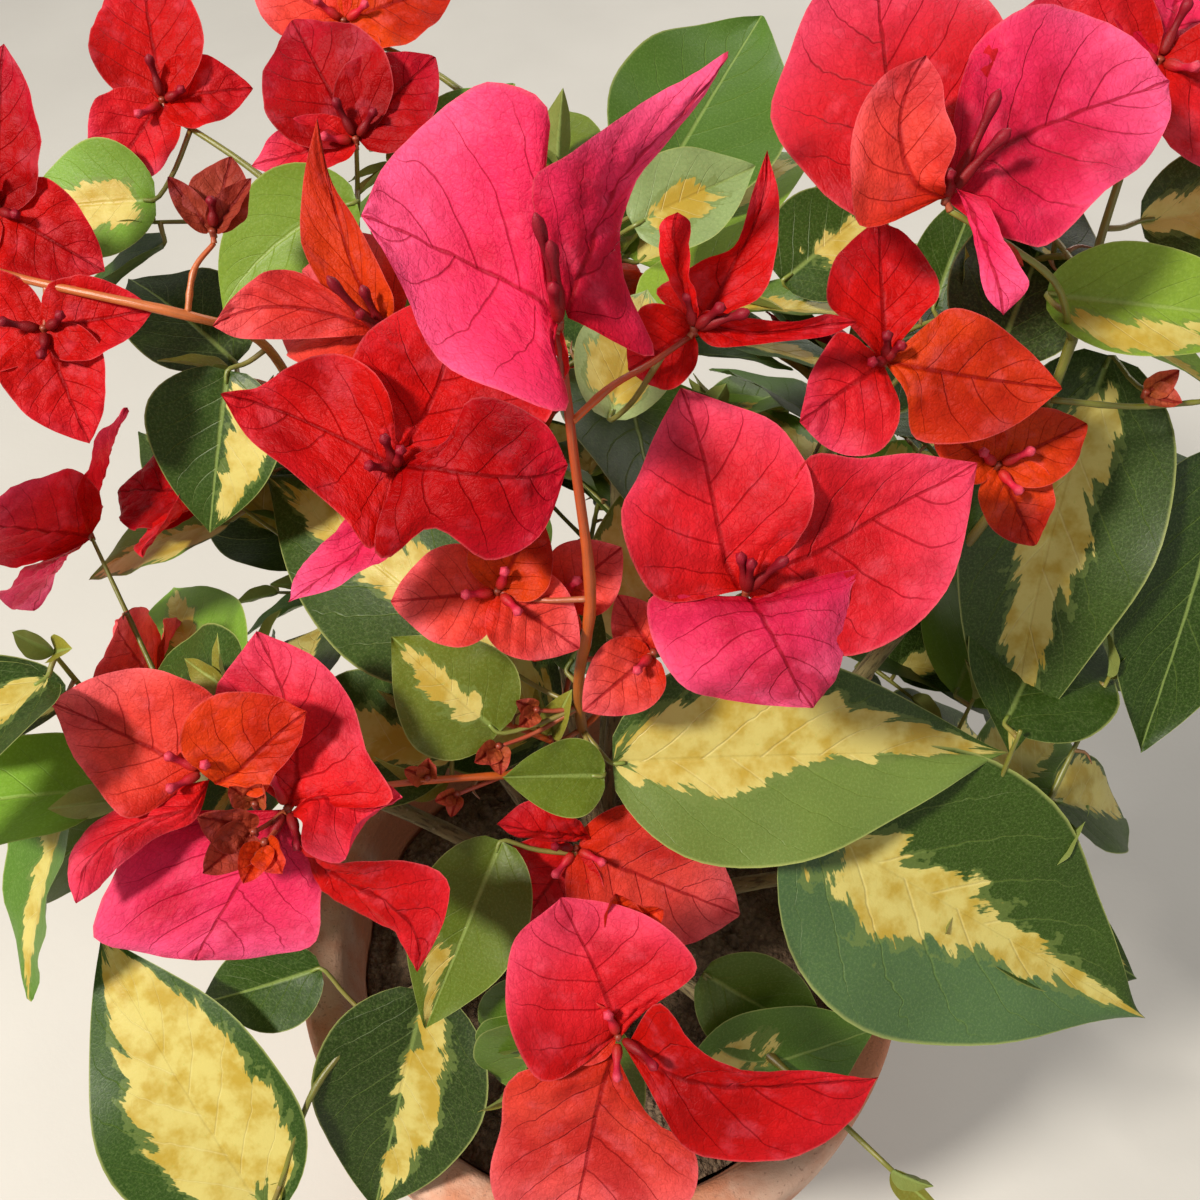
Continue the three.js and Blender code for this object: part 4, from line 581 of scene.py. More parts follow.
        [-6, 17.2, 0, -24.6, 11.3, 5, 13, 21.6, 4], [-9, 23, -1, -22.2, 22.2, 2, 4.8, 27.2, 1],
        [-12.6, 30.5, 0],
    ],
    ("spray_front", 0, 1): [
        [1.5, -2.4, 0], [9.6, -7.2, 1, 8.7, 7.4, 6, 9.2, -14.8, 2],
        [18, -9.8, 2, 16.8, -2.8, 6, 16, -25, 2], [27.7, -10.7, 2, 26.6, -6.8, 5, 28.8, -27.3, 2],
        [38.6, -10.2, 2, 38.6, -7.4, 4, 42, -24.2, 2], [48.4, -9.6, 2, 48.4, -8, 3, 51.7, -18, 2],
        [56.7, -8.7, 2],
    ],
    ("spray_front", 0, 2): [
        [-1, -3, -1], [-3.5, -10.5, -2, 7, -17.7, -3, -23.5, -8.3, -1],
        [-5.5, -19.2, -3, 17.2, -26.8, -3, -25.7, -20.3, -1], [-7.2, -28, -3, 16, -34.4, -2, -28, -30, -1],
        [-8.7, -35.5, -2, 7, -41, -2, -24.6, -38.8, -1], [-10, -44.3, -1],
    ],
    ("spray_front", 1, 0): [
        [3.5, 2.6, 1], [-1.5, 3.3, 3, -0.2, 1.6, 1, 1, 6.5, 4], [-7.7, 4, 5, -7.7, 2, 2, -5.2, 11.2, 6],
        [-13.8, 5, 6, -13.8, 2.3, 4, -12.6, 11.5, 6], [-19.5, 6, 6],
    ],
}


def numbers(seed):
    """A repeatable stream of numbers from 0 to 1."""
    state = seed
    while True:
        state = (state + 0x6D2B79F5) & 0xFFFFFFFF
        mixed = ((state ^ (state >> 15)) * (state | 1)) & 0xFFFFFFFF
        mixed ^= (mixed + (((mixed ^ (mixed >> 7)) * (mixed | 61)) & 0xFFFFFFFF)) & 0xFFFFFFFF
        yield ((mixed ^ (mixed >> 14)) & 0xFFFFFFFF) / 4294967296


def draw_for(spray, use):
    """The stream of numbers for one use on one spray."""
    return numbers(spray["seed"] + SEED_STEPS[use])


def unit(vector):
    return vector / np.linalg.norm(vector)


def turned(vector, axis, degrees):
    """The vector turned round a unit axis."""
    angle = math.radians(degrees)
    across = np.cross(axis, vector) * math.sin(angle)
    return vector * math.cos(angle) + across + axis * (axis @ vector) * (1 - math.cos(angle))


class Curve:
    """A smooth centripetal curve through points, from 0 to 1."""

    def __init__(self, points):
        inner = [np.array(point, float) for point in points]
        before = 2 * inner[0] - inner[1]
        after = 2 * inner[-1] - inner[-2]
        self.points = [before, *inner, after]
        self.spans = len(inner) - 1

    def place(self, t):
        at = self.spans * min(max(t, 0.0), 1.0)
        index = min(int(at), self.spans - 1)
        weight = at - index
        p0, p1, p2, p3 = self.points[index : index + 4]
        step0, step1, step2 = (((b - a) @ (b - a)) ** 0.25 for a, b in ((p0, p1), (p1, p2), (p2, p3)))
        slope1 = ((p1 - p0) / step0 - (p2 - p0) / (step0 + step1) + (p2 - p1) / step1) * step1
        slope2 = ((p2 - p1) / step1 - (p3 - p1) / (step1 + step2) + (p3 - p2) / step2) * step1
        bend = -3 * p1 + 3 * p2 - 2 * slope1 - slope2
        twist = 2 * p1 - 2 * p2 + slope1 + slope2
        return p1 + weight * (slope1 + weight * (bend + weight * twist))

    def along(self, t):
        return unit(self.place(t + 0.0001) - self.place(t - 0.0001))

    def line(self, steps):
        return [self.place(step / steps) for step in range(steps + 1)]


def aim(turn, lift, roll):
    """The directions of a blade that is aimed on the showing side."""
    turn, lift = math.radians(turn), math.radians(lift)
    level = SHOW_RIGHT * math.cos(turn) + SHOW_UP * math.sin(turn)
    along = level * math.cos(lift) + SHOW_OUT * math.sin(lift)
    face = unit(SHOW_OUT - along * (SHOW_OUT @ along))
    side, face = turn_both(np.cross(along, face), face, roll)
    return along, side, face


def turn_both(first, second, degrees):
    """Turns the first direction towards the second, in their own plane."""
    cosine = math.cos(math.radians(degrees))
    sine = math.sin(math.radians(degrees))
    return first * cosine + second * sine, second * cosine - first * sine


def facing(along, wanted):
    """The directions of a blade that shows its face as far as it can to where it is wanted."""
    face = unit(wanted - along * (wanted @ along))
    return along, np.cross(along, face), face


def round_about(along, angle):
    """A direction across a line, for what stands round it."""
    across = np.array([0, 0, 1.0]) - along * along[2]
    if np.linalg.norm(across) < 0.1:
        across = np.array([1.0, 0, 0]) - along * along[0]
    return turned(unit(across), along, angle)


def outline_at(outline, v):
    """Half the width of a blade, as a share of its widest, at shares of its length."""
    peak_at = outline["base"] / (outline["base"] + outline["tip"])
    peak = peak_at ** outline["base"] * (1 - peak_at) ** outline["tip"]
    inside = np.clip(v, 0, 1)
    return inside ** outline["base"] * (1 - inside) ** outline["tip"] / peak


def form_of(row):
    """A blade's form, from the measures of its row that follow its aim."""
    names = ("length", "width", "bend", "sweep", "left", "right", "twist", "outline")
    return {"twist": 0, "outline": {}, **dict(zip(names, row))}


def bract_at(heart, pose, row, **look):
    """A bract whose foot stands out a little from the heart of its bloom."""
    foot = heart + pose[0] * OUT_OF_HEART * HEART_RADIUS
    return {"kind": "bract", "foot": foot, "pose": pose, "form": form_of(row), **look}


def leaf_at(foot, pose, row, **look):
    return {"kind": "leaf", "foot": foot, "pose": pose, "form": form_of(row), **look}


def spine(blade, stops):
    """The midrib's points at shares of a blade's length, with the directions that it has there."""
    form = blade["form"]
    along, side, face = blade["pose"]
    point = np.array(blade["foot"], float)
    reached = 0.0
    rows = []
    for stop in stops:
        steps = max(1, round((stop - reached) * SPINE_STEPS))
        share = (stop - reached) / steps
        for _ in range(steps):
            point = point + along * form["length"] * share
            along, face = turn_both(along, face, form["bend"] * share)
            along, side = turn_both(along, side, -form["sweep"] * share)
            side, face = turn_both(side, face, form["twist"] * share)
        reached = stop
        rows.append((point, along, side, face))
    return rows


def half_reach(form, half, share, name):
    """How far across and up a point is on one half of a blade, at a share of that half."""
    rise = math.radians(form[name])
    start = HALF_START * rise
    rate = HALF_CURL * rise / (0.5 * form["width"])
    distance = share * half
    if abs(rate) < 1e-6:
        return distance * math.cos(start), distance * math.sin(start)
    end = start + rate * distance
    return (np.sin(end) - math.sin(start)) / rate, (math.cos(start) - np.cos(end)) / rate


def outline_of(blade):
    usual = LEAF_OUTLINE if blade["kind"] == "leaf" else BRACT_OUTLINE
    return {**usual, **blade["form"]["outline"]}


def marks_of(blade):
    """The points that stand for a blade when its neighbours are kept clear of it."""
    stops = [0.3, 0.6, 1]
    form, outline = blade["form"], outline_of(blade)
    marks = []
    for stop, (point, along, side, face) in zip(stops, spine(blade, stops)):
        marks.append(point)
        half = 0.5 * form["width"] * float(outline_at(outline, stop))
        back = outline["lobe"] * form["width"] * (1 - stop) ** 3
        for sign, name in ((-1, "left"), (1, "right")):
            if stop < 1:
                across, up = half_reach(form, half, 1.0, name)
                marks.append(point + side * sign * across + face * up - along * back)
    return marks


def all_marks(blades):
    return [mark for blade in blades for mark in marks_of(blade)]


def stalk_to(goal, wood):
    """A stalk from the nearest point of the spray's wood, easing up into the goal."""
    start = min(wood, key=lambda point: np.linalg.norm(point - goal))
    middle = start + (goal - start) * STALK_MIDDLE
    middle[2] -= STALK_SAG * np.linalg.norm(goal - start)
    return [start, middle, goal]


def wood_of(spray):
    return [point for path in [spray["stem"], *spray["twigs"]] for point in Curve(path).line(12)]


def on_sight(heart, across, up, out):
    """The point that is seen at this place of the showing side's plane, and stands out from it."""
    point = heart + SHOW_RIGHT * across + SHOW_UP * up
    return point + unit(SEEN_FROM - point) * out


def edges_of(heart, lines):
    """The curves of a bract's midrib, left and right edge."""
    foot, *between, tip = lines
    ends = [on_sight(heart, *foot), on_sight(heart, *tip)]
    curves = []
    for first in (0, 3, 6):
        inner = [on_sight(heart, *line[first : first + 3]) for line in between]
        curves.append(Curve([ends[0], *inner, ends[1]]))
    return curves


def hand_set(spray):
    """What is listed for a spray: its blooms, then its leaves."""
    wood = wood_of(spray)
    organs = []
    for number, (heart, *rows) in enumerate(spray["blooms"]):
        heart = np.array(heart, float)
        bracts = []
        for index, (tint, turn, lift, roll, *row) in enumerate(rows):
            bracts.append(bract_at(heart, aim(turn, lift, roll), row, tint=tint))
            place = (spray["name"], number, index)
            if place in SHAPES:
                bracts[-1]["shape"] = edges_of(heart, SHAPES[place])
        tubes = TUBES.get((spray["name"], number), [])
        organs.append({"blades": bracts, "heart": heart, "stalk": stalk_to(heart, wood), "tubes": tubes})
    for foot, green, cream, turn, lift, roll, *row in spray["leaves"]:
        foot = np.array(foot, float)
        leaf = leaf_at(foot, aim(turn, lift, roll), row, green=green, cream=cream)
        organs.append({"blades": [leaf], "stalk": stalk_to(foot, wood)})
    return organs


def grown_leaf(foot, shoot_along, sidewards, draw, size=1.0):
    """A leaf that grows by rule: it leaves its shoot sideways, and faces up and outwards."""
    rule = LEAF_RULE
    outward = unit(foot - CROWN_MIDDLE)
    height = min(max((foot[2] - CROWN_MIDDLE[2]) / CROWN_REACH[2], -1), 1)
    droop = rule["level"] - rule["droop"] * next(draw)
    along = outward * rule["outwards"] + sidewards * rule["sidewards"] + shoot_along * rule["along"]
    along = unit(along + np.array([0, 0, droop]))
    lean_x = rule["face_spread"] * (next(draw) - 0.5)
    lean_y = rule["face_spread"] * (next(draw) - 0.5)
    wanted = outward * rule["face_outwards"] + np.array([lean_x, lean_y, 1])
    length = rule["length"] - rule["shorter_above"] * height
    length *= size * (rule["shortest"] + rule["length_spread"] * next(draw))
    width = length * (rule["slimmest"] + rule["width_spread"] * next(draw))
    sweep = rule["sweep_spread"] * (next(draw) - 0.5)
    row = [length, width, rule["bend"], sweep, rule["rise"], rule["rise"]]
    return leaf_at(foot, facing(along, wanted), row)


def grown_bracts(heart, draw):
    """A bloom that grows by rule: its bracts stand round an axis that points up and outwards."""
    rule = BLOOM_RULE
    tilt_x = rule["tilt_spread"] * (next(draw) - 0.5)
    tilt_y = rule["tilt_spread"] * (next(draw) - 0.5)
    axis = unit(unit(heart - CROWN_MIDDLE) * rule["outwards"] + np.array([tilt_x, tilt_y, rule["up"]]))
    first = 360 * next(draw)
    size = rule["length"] + rule["size_spread"] * next(draw)
    bracts = []
    for n in range(rule["bracts"]):
        turn = first + 360 * n / rule["bracts"] + rule["turn_spread"] * (next(draw) - 0.5)
        lift = math.radians(rule["lift"] + rule["lift_spread"] * next(draw))
        along = unit(round_about(axis, turn) * math.cos(lift) + axis * math.sin(lift))
        length = size * (rule["shortest"] + rule["length_spread"] * next(draw))
        width = length * (rule["slimmest"] + rule["width_spread"] * next(draw))
        bend = rule["bend"] + rule["bend_spread"] * next(draw)
        row = [length, width, bend, 0, rule["rise"], rule["rise"]]
        bracts.append(bract_at(heart, facing(along, axis), row))
    return bracts


def in_crown(point):
    """Whether a point is in the crown, and clear of the pot and the soil."""
    share = (point - CROWN_MIDDLE) / CROWN_REACH
    over_pot = math.hypot(point[0], point[1]) < POT_RIM_RADIUS + POT_BAND_STEP
    lowest = POT_HEIGHT + CROWN_OVER_RIM if over_pot else POT_HEIGHT - CROWN_UNDER_RIM
    return share @ share < 1 and point[2] > lowest


def sight_lines(points):
    """The directions from the points to where the plant is seen from."""
    lines = SEEN_FROM - points
    return lines / np.linalg.norm(lines, axis=1)[:, None]


def from_sight(steps, lines):
    """How far steps go along lines of sight, and how far beside them they end."""
    forward = (steps * lines).sum(1)
    return forward, np.linalg.norm(steps - lines * forward[:, None], axis=1)


class Taken:
    """The places that are taken, each with its owner and the width of the sight that it keeps."""

    def __init__(self):
        self.points, self.owners, self.sights = [], [], []

    def add(self, points, owner, sight=0):
        self.points += [np.array(point, float) for point in points]
        self.owners += [owner] * len(points)
        self.sights += [sight] * len(points)

    def clear(self, marks, owner, share=1.0):
        if not all(in_crown(mark) for mark in marks):
            return False
        points = np.array(self.points)
        own = np.array(self.owners) == owner
        sights = np.array(self.sights)
        needed = share * np.where(own, CLEAR_OF_OWN, CLEAR_OF_OTHERS)
        lines = sight_lines(points)
        for mark in marks:
            away = mark - points
            if (np.linalg.norm(away, axis=1) <= needed).any():
                return False
            forward, beside = from_sight(away, lines)
            if ((sights > 0) & (forward > 0) & (beside < sights)).any():
                return False
        return True


def shoot_curve(spray, stem, n, draw):
    """A shoot's middle line, out of a spray's stem, with its direction and its end."""
    rule = SHOOT_RULE
    share = (n + rule["first"]) / spray["shoots"]
    start, stem_along = stem.place(share), stem.along(share)
    out = round_about(stem_along, rule["turn"] * n + rule["turn_spread"] * next(draw))
    along = unit(stem_along * rule["along"] + out * rule["out"] + np.array([0, 0, rule["up"]]))
    length = spray["length"] * (rule["shortest"] + rule["length_spread"] * next(draw))
    end = start + along * length
    end[2] += rule["rise"] * length
    middle = (start + end) / 2
    middle[2] -= rule["sag"] * length
    return Curve([start, middle, end]), along, end


def leaf_tries(curve, along, place, draw):
    """The leaf of one place on a shoot, at each angle where it is tried."""
    rule = LEAF_RULE
    lead = curve.place(rule["places"][place])
    tries = []
    for attempt in range(rule["tries"]):
        turn = rule["turn"] + 180 * (place % 2) + rule["next_turn"] * attempt
        sidewards = round_about(along, turn + rule["turn_spread"] * (next(draw) - 0.5))
        foot = lead + sidewards * rule["lead"]
        tries.append({**grown_leaf(foot, along, sidewards, draw), "lead": lead})
    return tries


def grow_spray(spray, taken):
    """The shoots that grow by rule out of a spray's stem, with what they carry."""
    name, stem = spray["name"], Curve(spray["stem"])
    draw = numbers(spray["seed"])
    shoots = []
    flowering = 0
    for n in range(spray["shoots"]):
        curve, along, end = shoot_curve(spray, stem, n, draw)
        organs = []
        bracts = grown_bracts(end, draw)
        marks = all_marks(bracts)
        if flowering < spray["flowering"] and taken.clear(marks, name, BLOOM_CLEARANCE_SHARE):
            flowering += 1
            organs.append({"at": 1, "blades": bracts, "heart": end})
            taken.add(marks, name)
        for place, at in enumerate(LEAF_RULE["places"]):
            tries = leaf_tries(curve, along, place, draw)
            leaf = next((one for one in tries if taken.clear(marks_of(one), name)), None)
            if leaf:
                organs.append({"at": at, "blades": [leaf]})
                taken.add(marks_of(leaf), name)
        if organs:
            reach = min(1, max(organ["at"] for organ in organs) + SHOOT_RULE["spare"])
            points = [curve.place(t * reach) for t in (0, 0.5, 1)]
            shoots.append({"points": points, "organs": organs})
    return shoots


def twig_leaves(curve, way, owner, taken, draw):
    """The smaller leaves that find room on a finer twig."""
    rule = FINER_RULE
    organs = []
    for number, place in enumerate(rule["leaves"]):
        lead = curve.place(place)
        sidewards = round_about(way, 90 + 180 * number + 60 * next(draw))
        leaf = grown_leaf(lead + sidewards * rule["lead"], way, sidewards, draw, rule["leaf_size"])
        marks = marks_of(leaf)
        behind = np.linalg.norm(SEEN_FROM - lead) > rule["behind"]
        if behind and taken.clear(marks, owner, rule["clearance"]):
            organs.append({"blades": [{**leaf, "lead": lead}]})
            taken.add(marks, owner)
    return organs


def finer_twigs(spray, shoots, taken):
    """Twigs that carry the rule on, out of the shoots, with what smaller leaves find room."""
    rule, name = FINER_RULE, spray["name"]
    draw = draw_for(spray, "finer twigs")
    twigs = []
    for shoot in shoots:
        line = Curve(shoot["points"])
        for at in rule["places"]:
            foot, along = line.place(at), line.along(at)
            out = round_about(along, 360 * next(draw))
            way = unit(out + along * rule["along"] + unit(foot - CROWN_MIDDLE) * rule["outwards"])
            length = rule["length"] + rule["length_spread"] * next(draw)
            tip = foot + way * length
            middle = (foot + tip) / 2 + np.array([0, 0, rule["rise"] * length])
            organs = twig_leaves(Curve([foot, middle, tip]), way, name, taken, draw)
            if organs and taken.clear([middle, tip], name, rule["wood_clearance"]):
                twigs.append({"points": [foot, middle, tip], "organs": organs})
    return twigs


# Meshes

# Each part of a heap has a number of its own, which moves its patterns, and a cell of the atlas.
OWN_STEP = 7.31
OWN_SPAN = 50
CELL_EDGE = 0.04


def flat(values):
    return np.concatenate(values).astype(np.float32).ravel()


def dress(piece, material):
    """Makes a piece smooth and gives it its one material."""
    mesh = piece.data
    mesh.polygons.foreach_set("use_smooth", [True] * len(mesh.polygons))
    mesh.materials.clear()
    mesh.materials.append(material)


class Heap:
    """Points, faces and what is painted on them, gathered for one mesh.

    Cell holds each corner's place on its own part, from 0 to 1, Share its place across (-1 to 1)
    and along (0 to 1), and Blade the same place in millimetres.
    """

    def __init__(self):
        self.points, self.faces, self.shades, self.creams = [], [], [], []
        self.cells, self.shares, self.blades, self.owners = [], [], [], []
        self.own = []
        self.count = 0
        self.parts = 0

    def add(self, points, faces, corners, shades, creams=None):
        points = np.asarray(points, float).reshape(-1, 3)
        colours = np.asarray(shades, float)
        cell, share, blade = corners
        self.points.append(points)
        self.faces += [[index + self.count for index in face] for face in faces]
        self.shades.append(np.concatenate([colours, np.ones((len(colours), 1))], axis=1))
        self.creams.append(np.full(len(points), -1.0) if creams is None else creams)
        self.cells.append(cell)
        self.shares.append(share)
        self.blades.append(blade)
        self.owners.append(np.full(len(cell), self.parts))
        self.own.append(np.full(len(points), (OWN_STEP * self.parts) % OWN_SPAN))
        self.count += len(points)
        self.parts += 1

    def build(self, name, material):
        """One object from all that was added, in metres."""
        mesh = bpy.data.meshes.new(name)
        mesh.from_pydata((np.concatenate(self.points) * MM).tolist(), [], self.faces)
        side = math.ceil(math.sqrt(self.parts))
        owner = np.concatenate(self.owners)
        corner = np.stack([owner % side, owner // side], axis=1)
        atlas = (corner + CELL_EDGE + (1 - 2 * CELL_EDGE) * np.concatenate(self.cells)) / side
        maps = {"OFBake": [atlas], "Share": self.shares, "Blade": self.blades}
        for title, values in maps.items():
            layer = mesh.uv_layers.new(name=title, do_init=False)
            layer.uv.foreach_set("vector", flat(values))
        colours = mesh.attributes.new("Shade", "FLOAT_COLOR", "POINT")
        colours.data.foreach_set("color", flat(self.shades))
        for title, values in {"Cream": self.creams, "Own": self.own}.items():
            mesh.attributes.new(title, "FLOAT", "POINT").data.foreach_set("value", flat(values))
        piece = bpy.data.objects.new(name, mesh)
        bpy.context.scene.collection.objects.link(piece)
        dress(piece, material)
        return piece


def smooth_step(low, high, value):
    share = np.clip((value - low) / (high - low), 0, 1)
    return share * share * (3 - 2 * share)


def blade_grid(rows, columns):
    """A blade's shares along and across, its faces, and each corner's row and column.

    The first and last point stand for the foot and the tip, where all columns meet.
    """
    even = np.arange(1, rows) / rows
    along = 0.45 * even + 0.55 * (1 - np.cos(math.pi * even)) / 2
    across = np.linspace(-1, 1, columns + 1)
    wide = columns + 1
    tip = 1 + (rows - 1) * wide
    faces, corners = [], []
    for column in range(columns):
        faces.append([0, 2 + column, 1 + column])
        corners += [(0, column + 0.5), (1, column + 1), (1, column)]
        for row in range(rows - 2):
            first = 1 + row * wide + column
            faces.append([first, first + 1, first + 1 + wide, first + wide])
            corners += [(row + 1, column), (row + 1, column + 1), (row + 2, column + 1), (row + 2, column)]
        last = tip - wide + column
        faces.append([last, last + 1, tip])
        corners += [(rows - 1, column), (rows - 1, column + 1), (rows, column + 0.5)]
    return along, across, faces, np.array(corners, float)


GRIDS = {"leaf": blade_grid(*LEAF_GRID), "bract": blade_grid(*BRACT_GRID)}

# How many pairs of veins each kind has, and how far they run forwards on their way to the edge.
VEIN_PAIRS = {"leaf": 6.5, "bract": 5.5}
VEIN_SLOPE = {"leaf": 0.36, "bract": 0.3}

# The edge's waves, the swelling between the veins and the groove over the midrib.
EDGE_WAVE = {"leaf": 0.022, "bract": 0.035}
SWELL = {"leaf": 0.012, "bract": 0.030}
PUCKER = {"leaf": 0.1, "bract": 0.42}
GROOVE = {"leaf": 0.6, "bract": 0.3}
GROOVE_WIDTH = 1.3


def vein_phase(kind, across, along):
    """Counts up by one from each vein to the next; the halves are half a step apart."""
    return VEIN_PAIRS[kind] * (1.05 * along - VEIN_SLOPE[kind] * abs(across)) + 0.5 * (across < 0)


def relief(blade, half, across, along, draw):
    """How far a blade's surface stands out of its plain form, at its rows and columns."""
    kind = blade["kind"]
    width = blade["form"]["width"]
    waves = 1.6 + 1.6 * next(draw)
    left, right = 2 * math.pi * next(draw), 2 * math.pi * next(draw)
    phase = np.where(across < 0, left, right)
    edge = EDGE_WAVE[kind] * width * across**2 * np.sin(2 * math.pi * waves * along + phase)
    lull = np.minimum(1, 6 * along) * (1 - along) ** 0.3
    between = np.sin(math.pi * (vein_phase(kind, across, along) % 1)) * (1 - across**4)
    groove = -GROOVE[kind] * np.exp(-((across * half / GROOVE_WIDTH) ** 2)) * (1 - along)
    roll = 0.02 * width * np.sin(4.2 * along + left) * np.cos(2.1 * across + right)
    pucker = PUCKER[kind] * puffs(across * half, along * blade["form"]["length"], left, right)
    return (edge + SWELL[kind] * width * between + pucker) * lull + groove + roll


def puffs(x, y, first, second):
    """Small swellings some millimetres wide, from -1.5 to 1.5."""
    wide = np.sin(0.9 * x + 0.35 * y + first) * np.sin(0.75 * y - 0.3 * x + second)
    return wide + 0.5 * np.sin(1.5 * x - 0.6 * y + second) * np.sin(1.3 * y + 0.5 * x + first)


def blade_points(blade, draw):
    """Points of a blade's surface: its foot, its rows from left to right, and its tip."""
    along, across, _, _ = GRIDS[blade["kind"]]
    form, outline = blade["form"], outline_of(blade)
    rows = spine(blade, [*along, 1.0])
    points = [np.array(blade["foot"], float)]
    half = 0.5 * form["width"] * outline_at(outline, along)
    rise = relief(blade, half[:, None], across[None, :], along[:, None], draw)
    for index, (point, forwards, side, face) in enumerate(rows[:-1]):
        back = outline["lobe"] * form["width"] * (1 - along[index]) ** 3 * np.abs(across) ** 1.5
        left_out, left_up = half_reach(form, half[index], np.abs(across), "left")
        right_out, right_up = half_reach(form, half[index], np.abs(across), "right")
        out = np.where(across < 0, -left_out, right_out)
        up = np.where(across < 0, left_up, right_up) + rise[index]
        row = point + side * out[:, None] + face * up[:, None] - forwards * back[:, None]
        points += list(row)
    points.append(rows[-1][0])
    return points


def shaped_points(blade, draw):
    """Points of a bract that is set point by point."""
    along, across, _, _ = GRIDS["bract"]
    stops = [*along, 1.0]
    rib, left, right = ([curve.place(stop) for stop in stops] for curve in blade["shape"])
    half = np.array([0.5 * np.linalg.norm(b - a) for a, b in zip(left, right)])[:-1]
    rise = relief(blade, half[:, None], across[None, :], along[:, None], draw)
    points = [blade["shape"][0].place(0)]
    for index, stop in enumerate(along):
        forwards = blade["shape"][0].along(stop)
        face = unit(np.cross(right[index] - left[index], forwards))
        share = np.abs(across)[:, None]
        reach = np.where(across[:, None] < 0, left[index] - rib[index], right[index] - rib[index])
        up = (reach @ face)[:, None]
        level = rib[index] + (reach - face * up) * share
        points += list(level + face * (up * share**1.5 + rise[index][:, None]))
    points.append(rib[-1])
    return points


def blade_corners(blade):
    """Where each corner of a blade's faces lies on it: in its cell, in shares and in millimetres."""
    along, across, _, corners = GRIDS[blade["kind"]]
    stops = np.array([0.0, *along, 1.0])
    v = stops[corners[:, 0].astype(int)]
    s = -1 + 2 * corners[:, 1] / (len(across) - 1)
    half = 0.5 * blade["form"]["width"] * outline_at(outline_of(blade), v)
    if "shape" in blade:
        rib, left, right = (np.array([curve.place(stop) for stop in stops]) for curve in blade["shape"])
        row = corners[:, 0].astype(int)
        reach = np.where(s[:, None] < 0, left[row] - rib[row], right[row] - rib[row])
        half = np.linalg.norm(reach, axis=1)
    cell = np.stack([(s + 1) / 2, v], axis=1)
    share = np.stack([s, v], axis=1)
    size = np.stack([s * half, v * blade["form"]["length"]], axis=1)
    return cell, share, size


def shares_of(blade):
    """Each point's share across and along a blade."""
    along, across, _, _ = GRIDS[blade["kind"]]
    s = np.concatenate([[0], np.tile(across, len(along)), [0]])
    v = np.concatenate([[0], np.repeat(along, len(across)), [1]])
    return s, v


# How bright each kind is at least, and how much brighter one can be than another.
BRIGHT = {"bract": (0.9, 0.2), "leaf": (0.85, 0.3), "limb": (0.9, 0.2), "flower": (0.85, 0.3)}


def brightness(kind, draw):
    least, spread = BRIGHT[kind]
    return least + spread * next(draw)


def bract_shades(blade, draw):
    s, v = shares_of(blade)
    heart, body, tip = (np.array(colour) for colour in TINTS[blade["tint"]])
    bright = brightness("bract", draw)
    to_body = smooth_step(0.02, 0.38, v + 0.1 * s * (next(draw) - 0.5))[:, None]
    to_tip = smooth_step(0.45, 1.0, v + 0.25 * np.abs(s) ** 3)[:, None]
    colours = heart + (body - heart) * to_body
    colours = colours + (tip - colours) * to_tip
    return colours * bright


def leaf_shades(blade, draw):
    s, v = shares_of(blade)
    left, right = blade["green"] if isinstance(blade["green"], list) else [blade["green"]] * 2
    on_right = smooth_step(-0.03, 0.03, s)[:, None]
    green = np.array(GREENS[left]) * (1 - on_right) + np.array(GREENS[right]) * on_right
    bright = brightness("leaf", draw)
    warm = np.array([1 + 0.25 * (next(draw) - 0.5), 1, 1 - 0.2 * (next(draw) - 0.5)])
    along = (0.9 + 0.2 * v)[:, None]
    return green * bright * warm * along


def cream_field(blade):
    """Above nought where a leaf is cream, and below it where it is green."""
    s, v = shares_of(blade)
    if blade["cream"] is None:
        return np.full(len(s), -1.0)
    left, right, foot, tip = blade["cream"]
    near, past = right if isinstance(right, list) else [right, right]
    sides = np.minimum(s - left, near + (past - near) * smooth_step(0.3, 0.5, v) - s) / 0.3
    ends = np.minimum((v - foot) / 0.15, (tip - v) / 0.25)
    return np.clip(np.minimum(sides, ends), -1, 1)


def surface_of(blade, draw):
    return shaped_points(blade, draw) if "shape" in blade else blade_points(blade, draw)


def add_blade(heap, blade, draw):
    points = surface_of(blade, draw)
    faces, corners = GRIDS[blade["kind"]][2], blade_corners(blade)
    if blade["kind"] == "leaf":
        heap.add(points, faces, corners, leaf_shades(blade, draw), cream_field(blade))
    else:
        heap.add(points, faces, corners, bract_shades(blade, draw))


def stands_before(points, set_by_hand, share):
    """Whether more than a share of the points stand before what is listed, as it is seen."""
    lines = sight_lines(set_by_hand)
    before = 0
    for point in points:
        forward, beside = from_sight(point - set_by_hand, lines)
        before += ((forward > BEFORE_AT_LEAST) & (beside < SIGHT_SLIT)).any()
    return before > share * len(points)


def hides(organ, set_by_hand):
    surfaces = [surface_of(blade, numbers(1))[::9] for blade in organ["blades"]]
    return any(stands_before(surface, set_by_hand, BLADE_BEFORE) for surface in surfaces)


def in_the_open(spray, shoots, set_by_hand):
    """The shoots and what they carry, without what would hide the listed blades."""
    kept = []
    for number, shoot in enumerate(shoots):
        if stands_before(Curve(shoot["points"]).line(20), set_by_hand, WOOD_BEFORE):
            continue
        organs = [organ for organ in shoot["organs"] if not hides(organ, set_by_hand)]
        if organs and number not in spray["unseen"]:
            kept.append({**shoot, "organs": organs})
    return kept


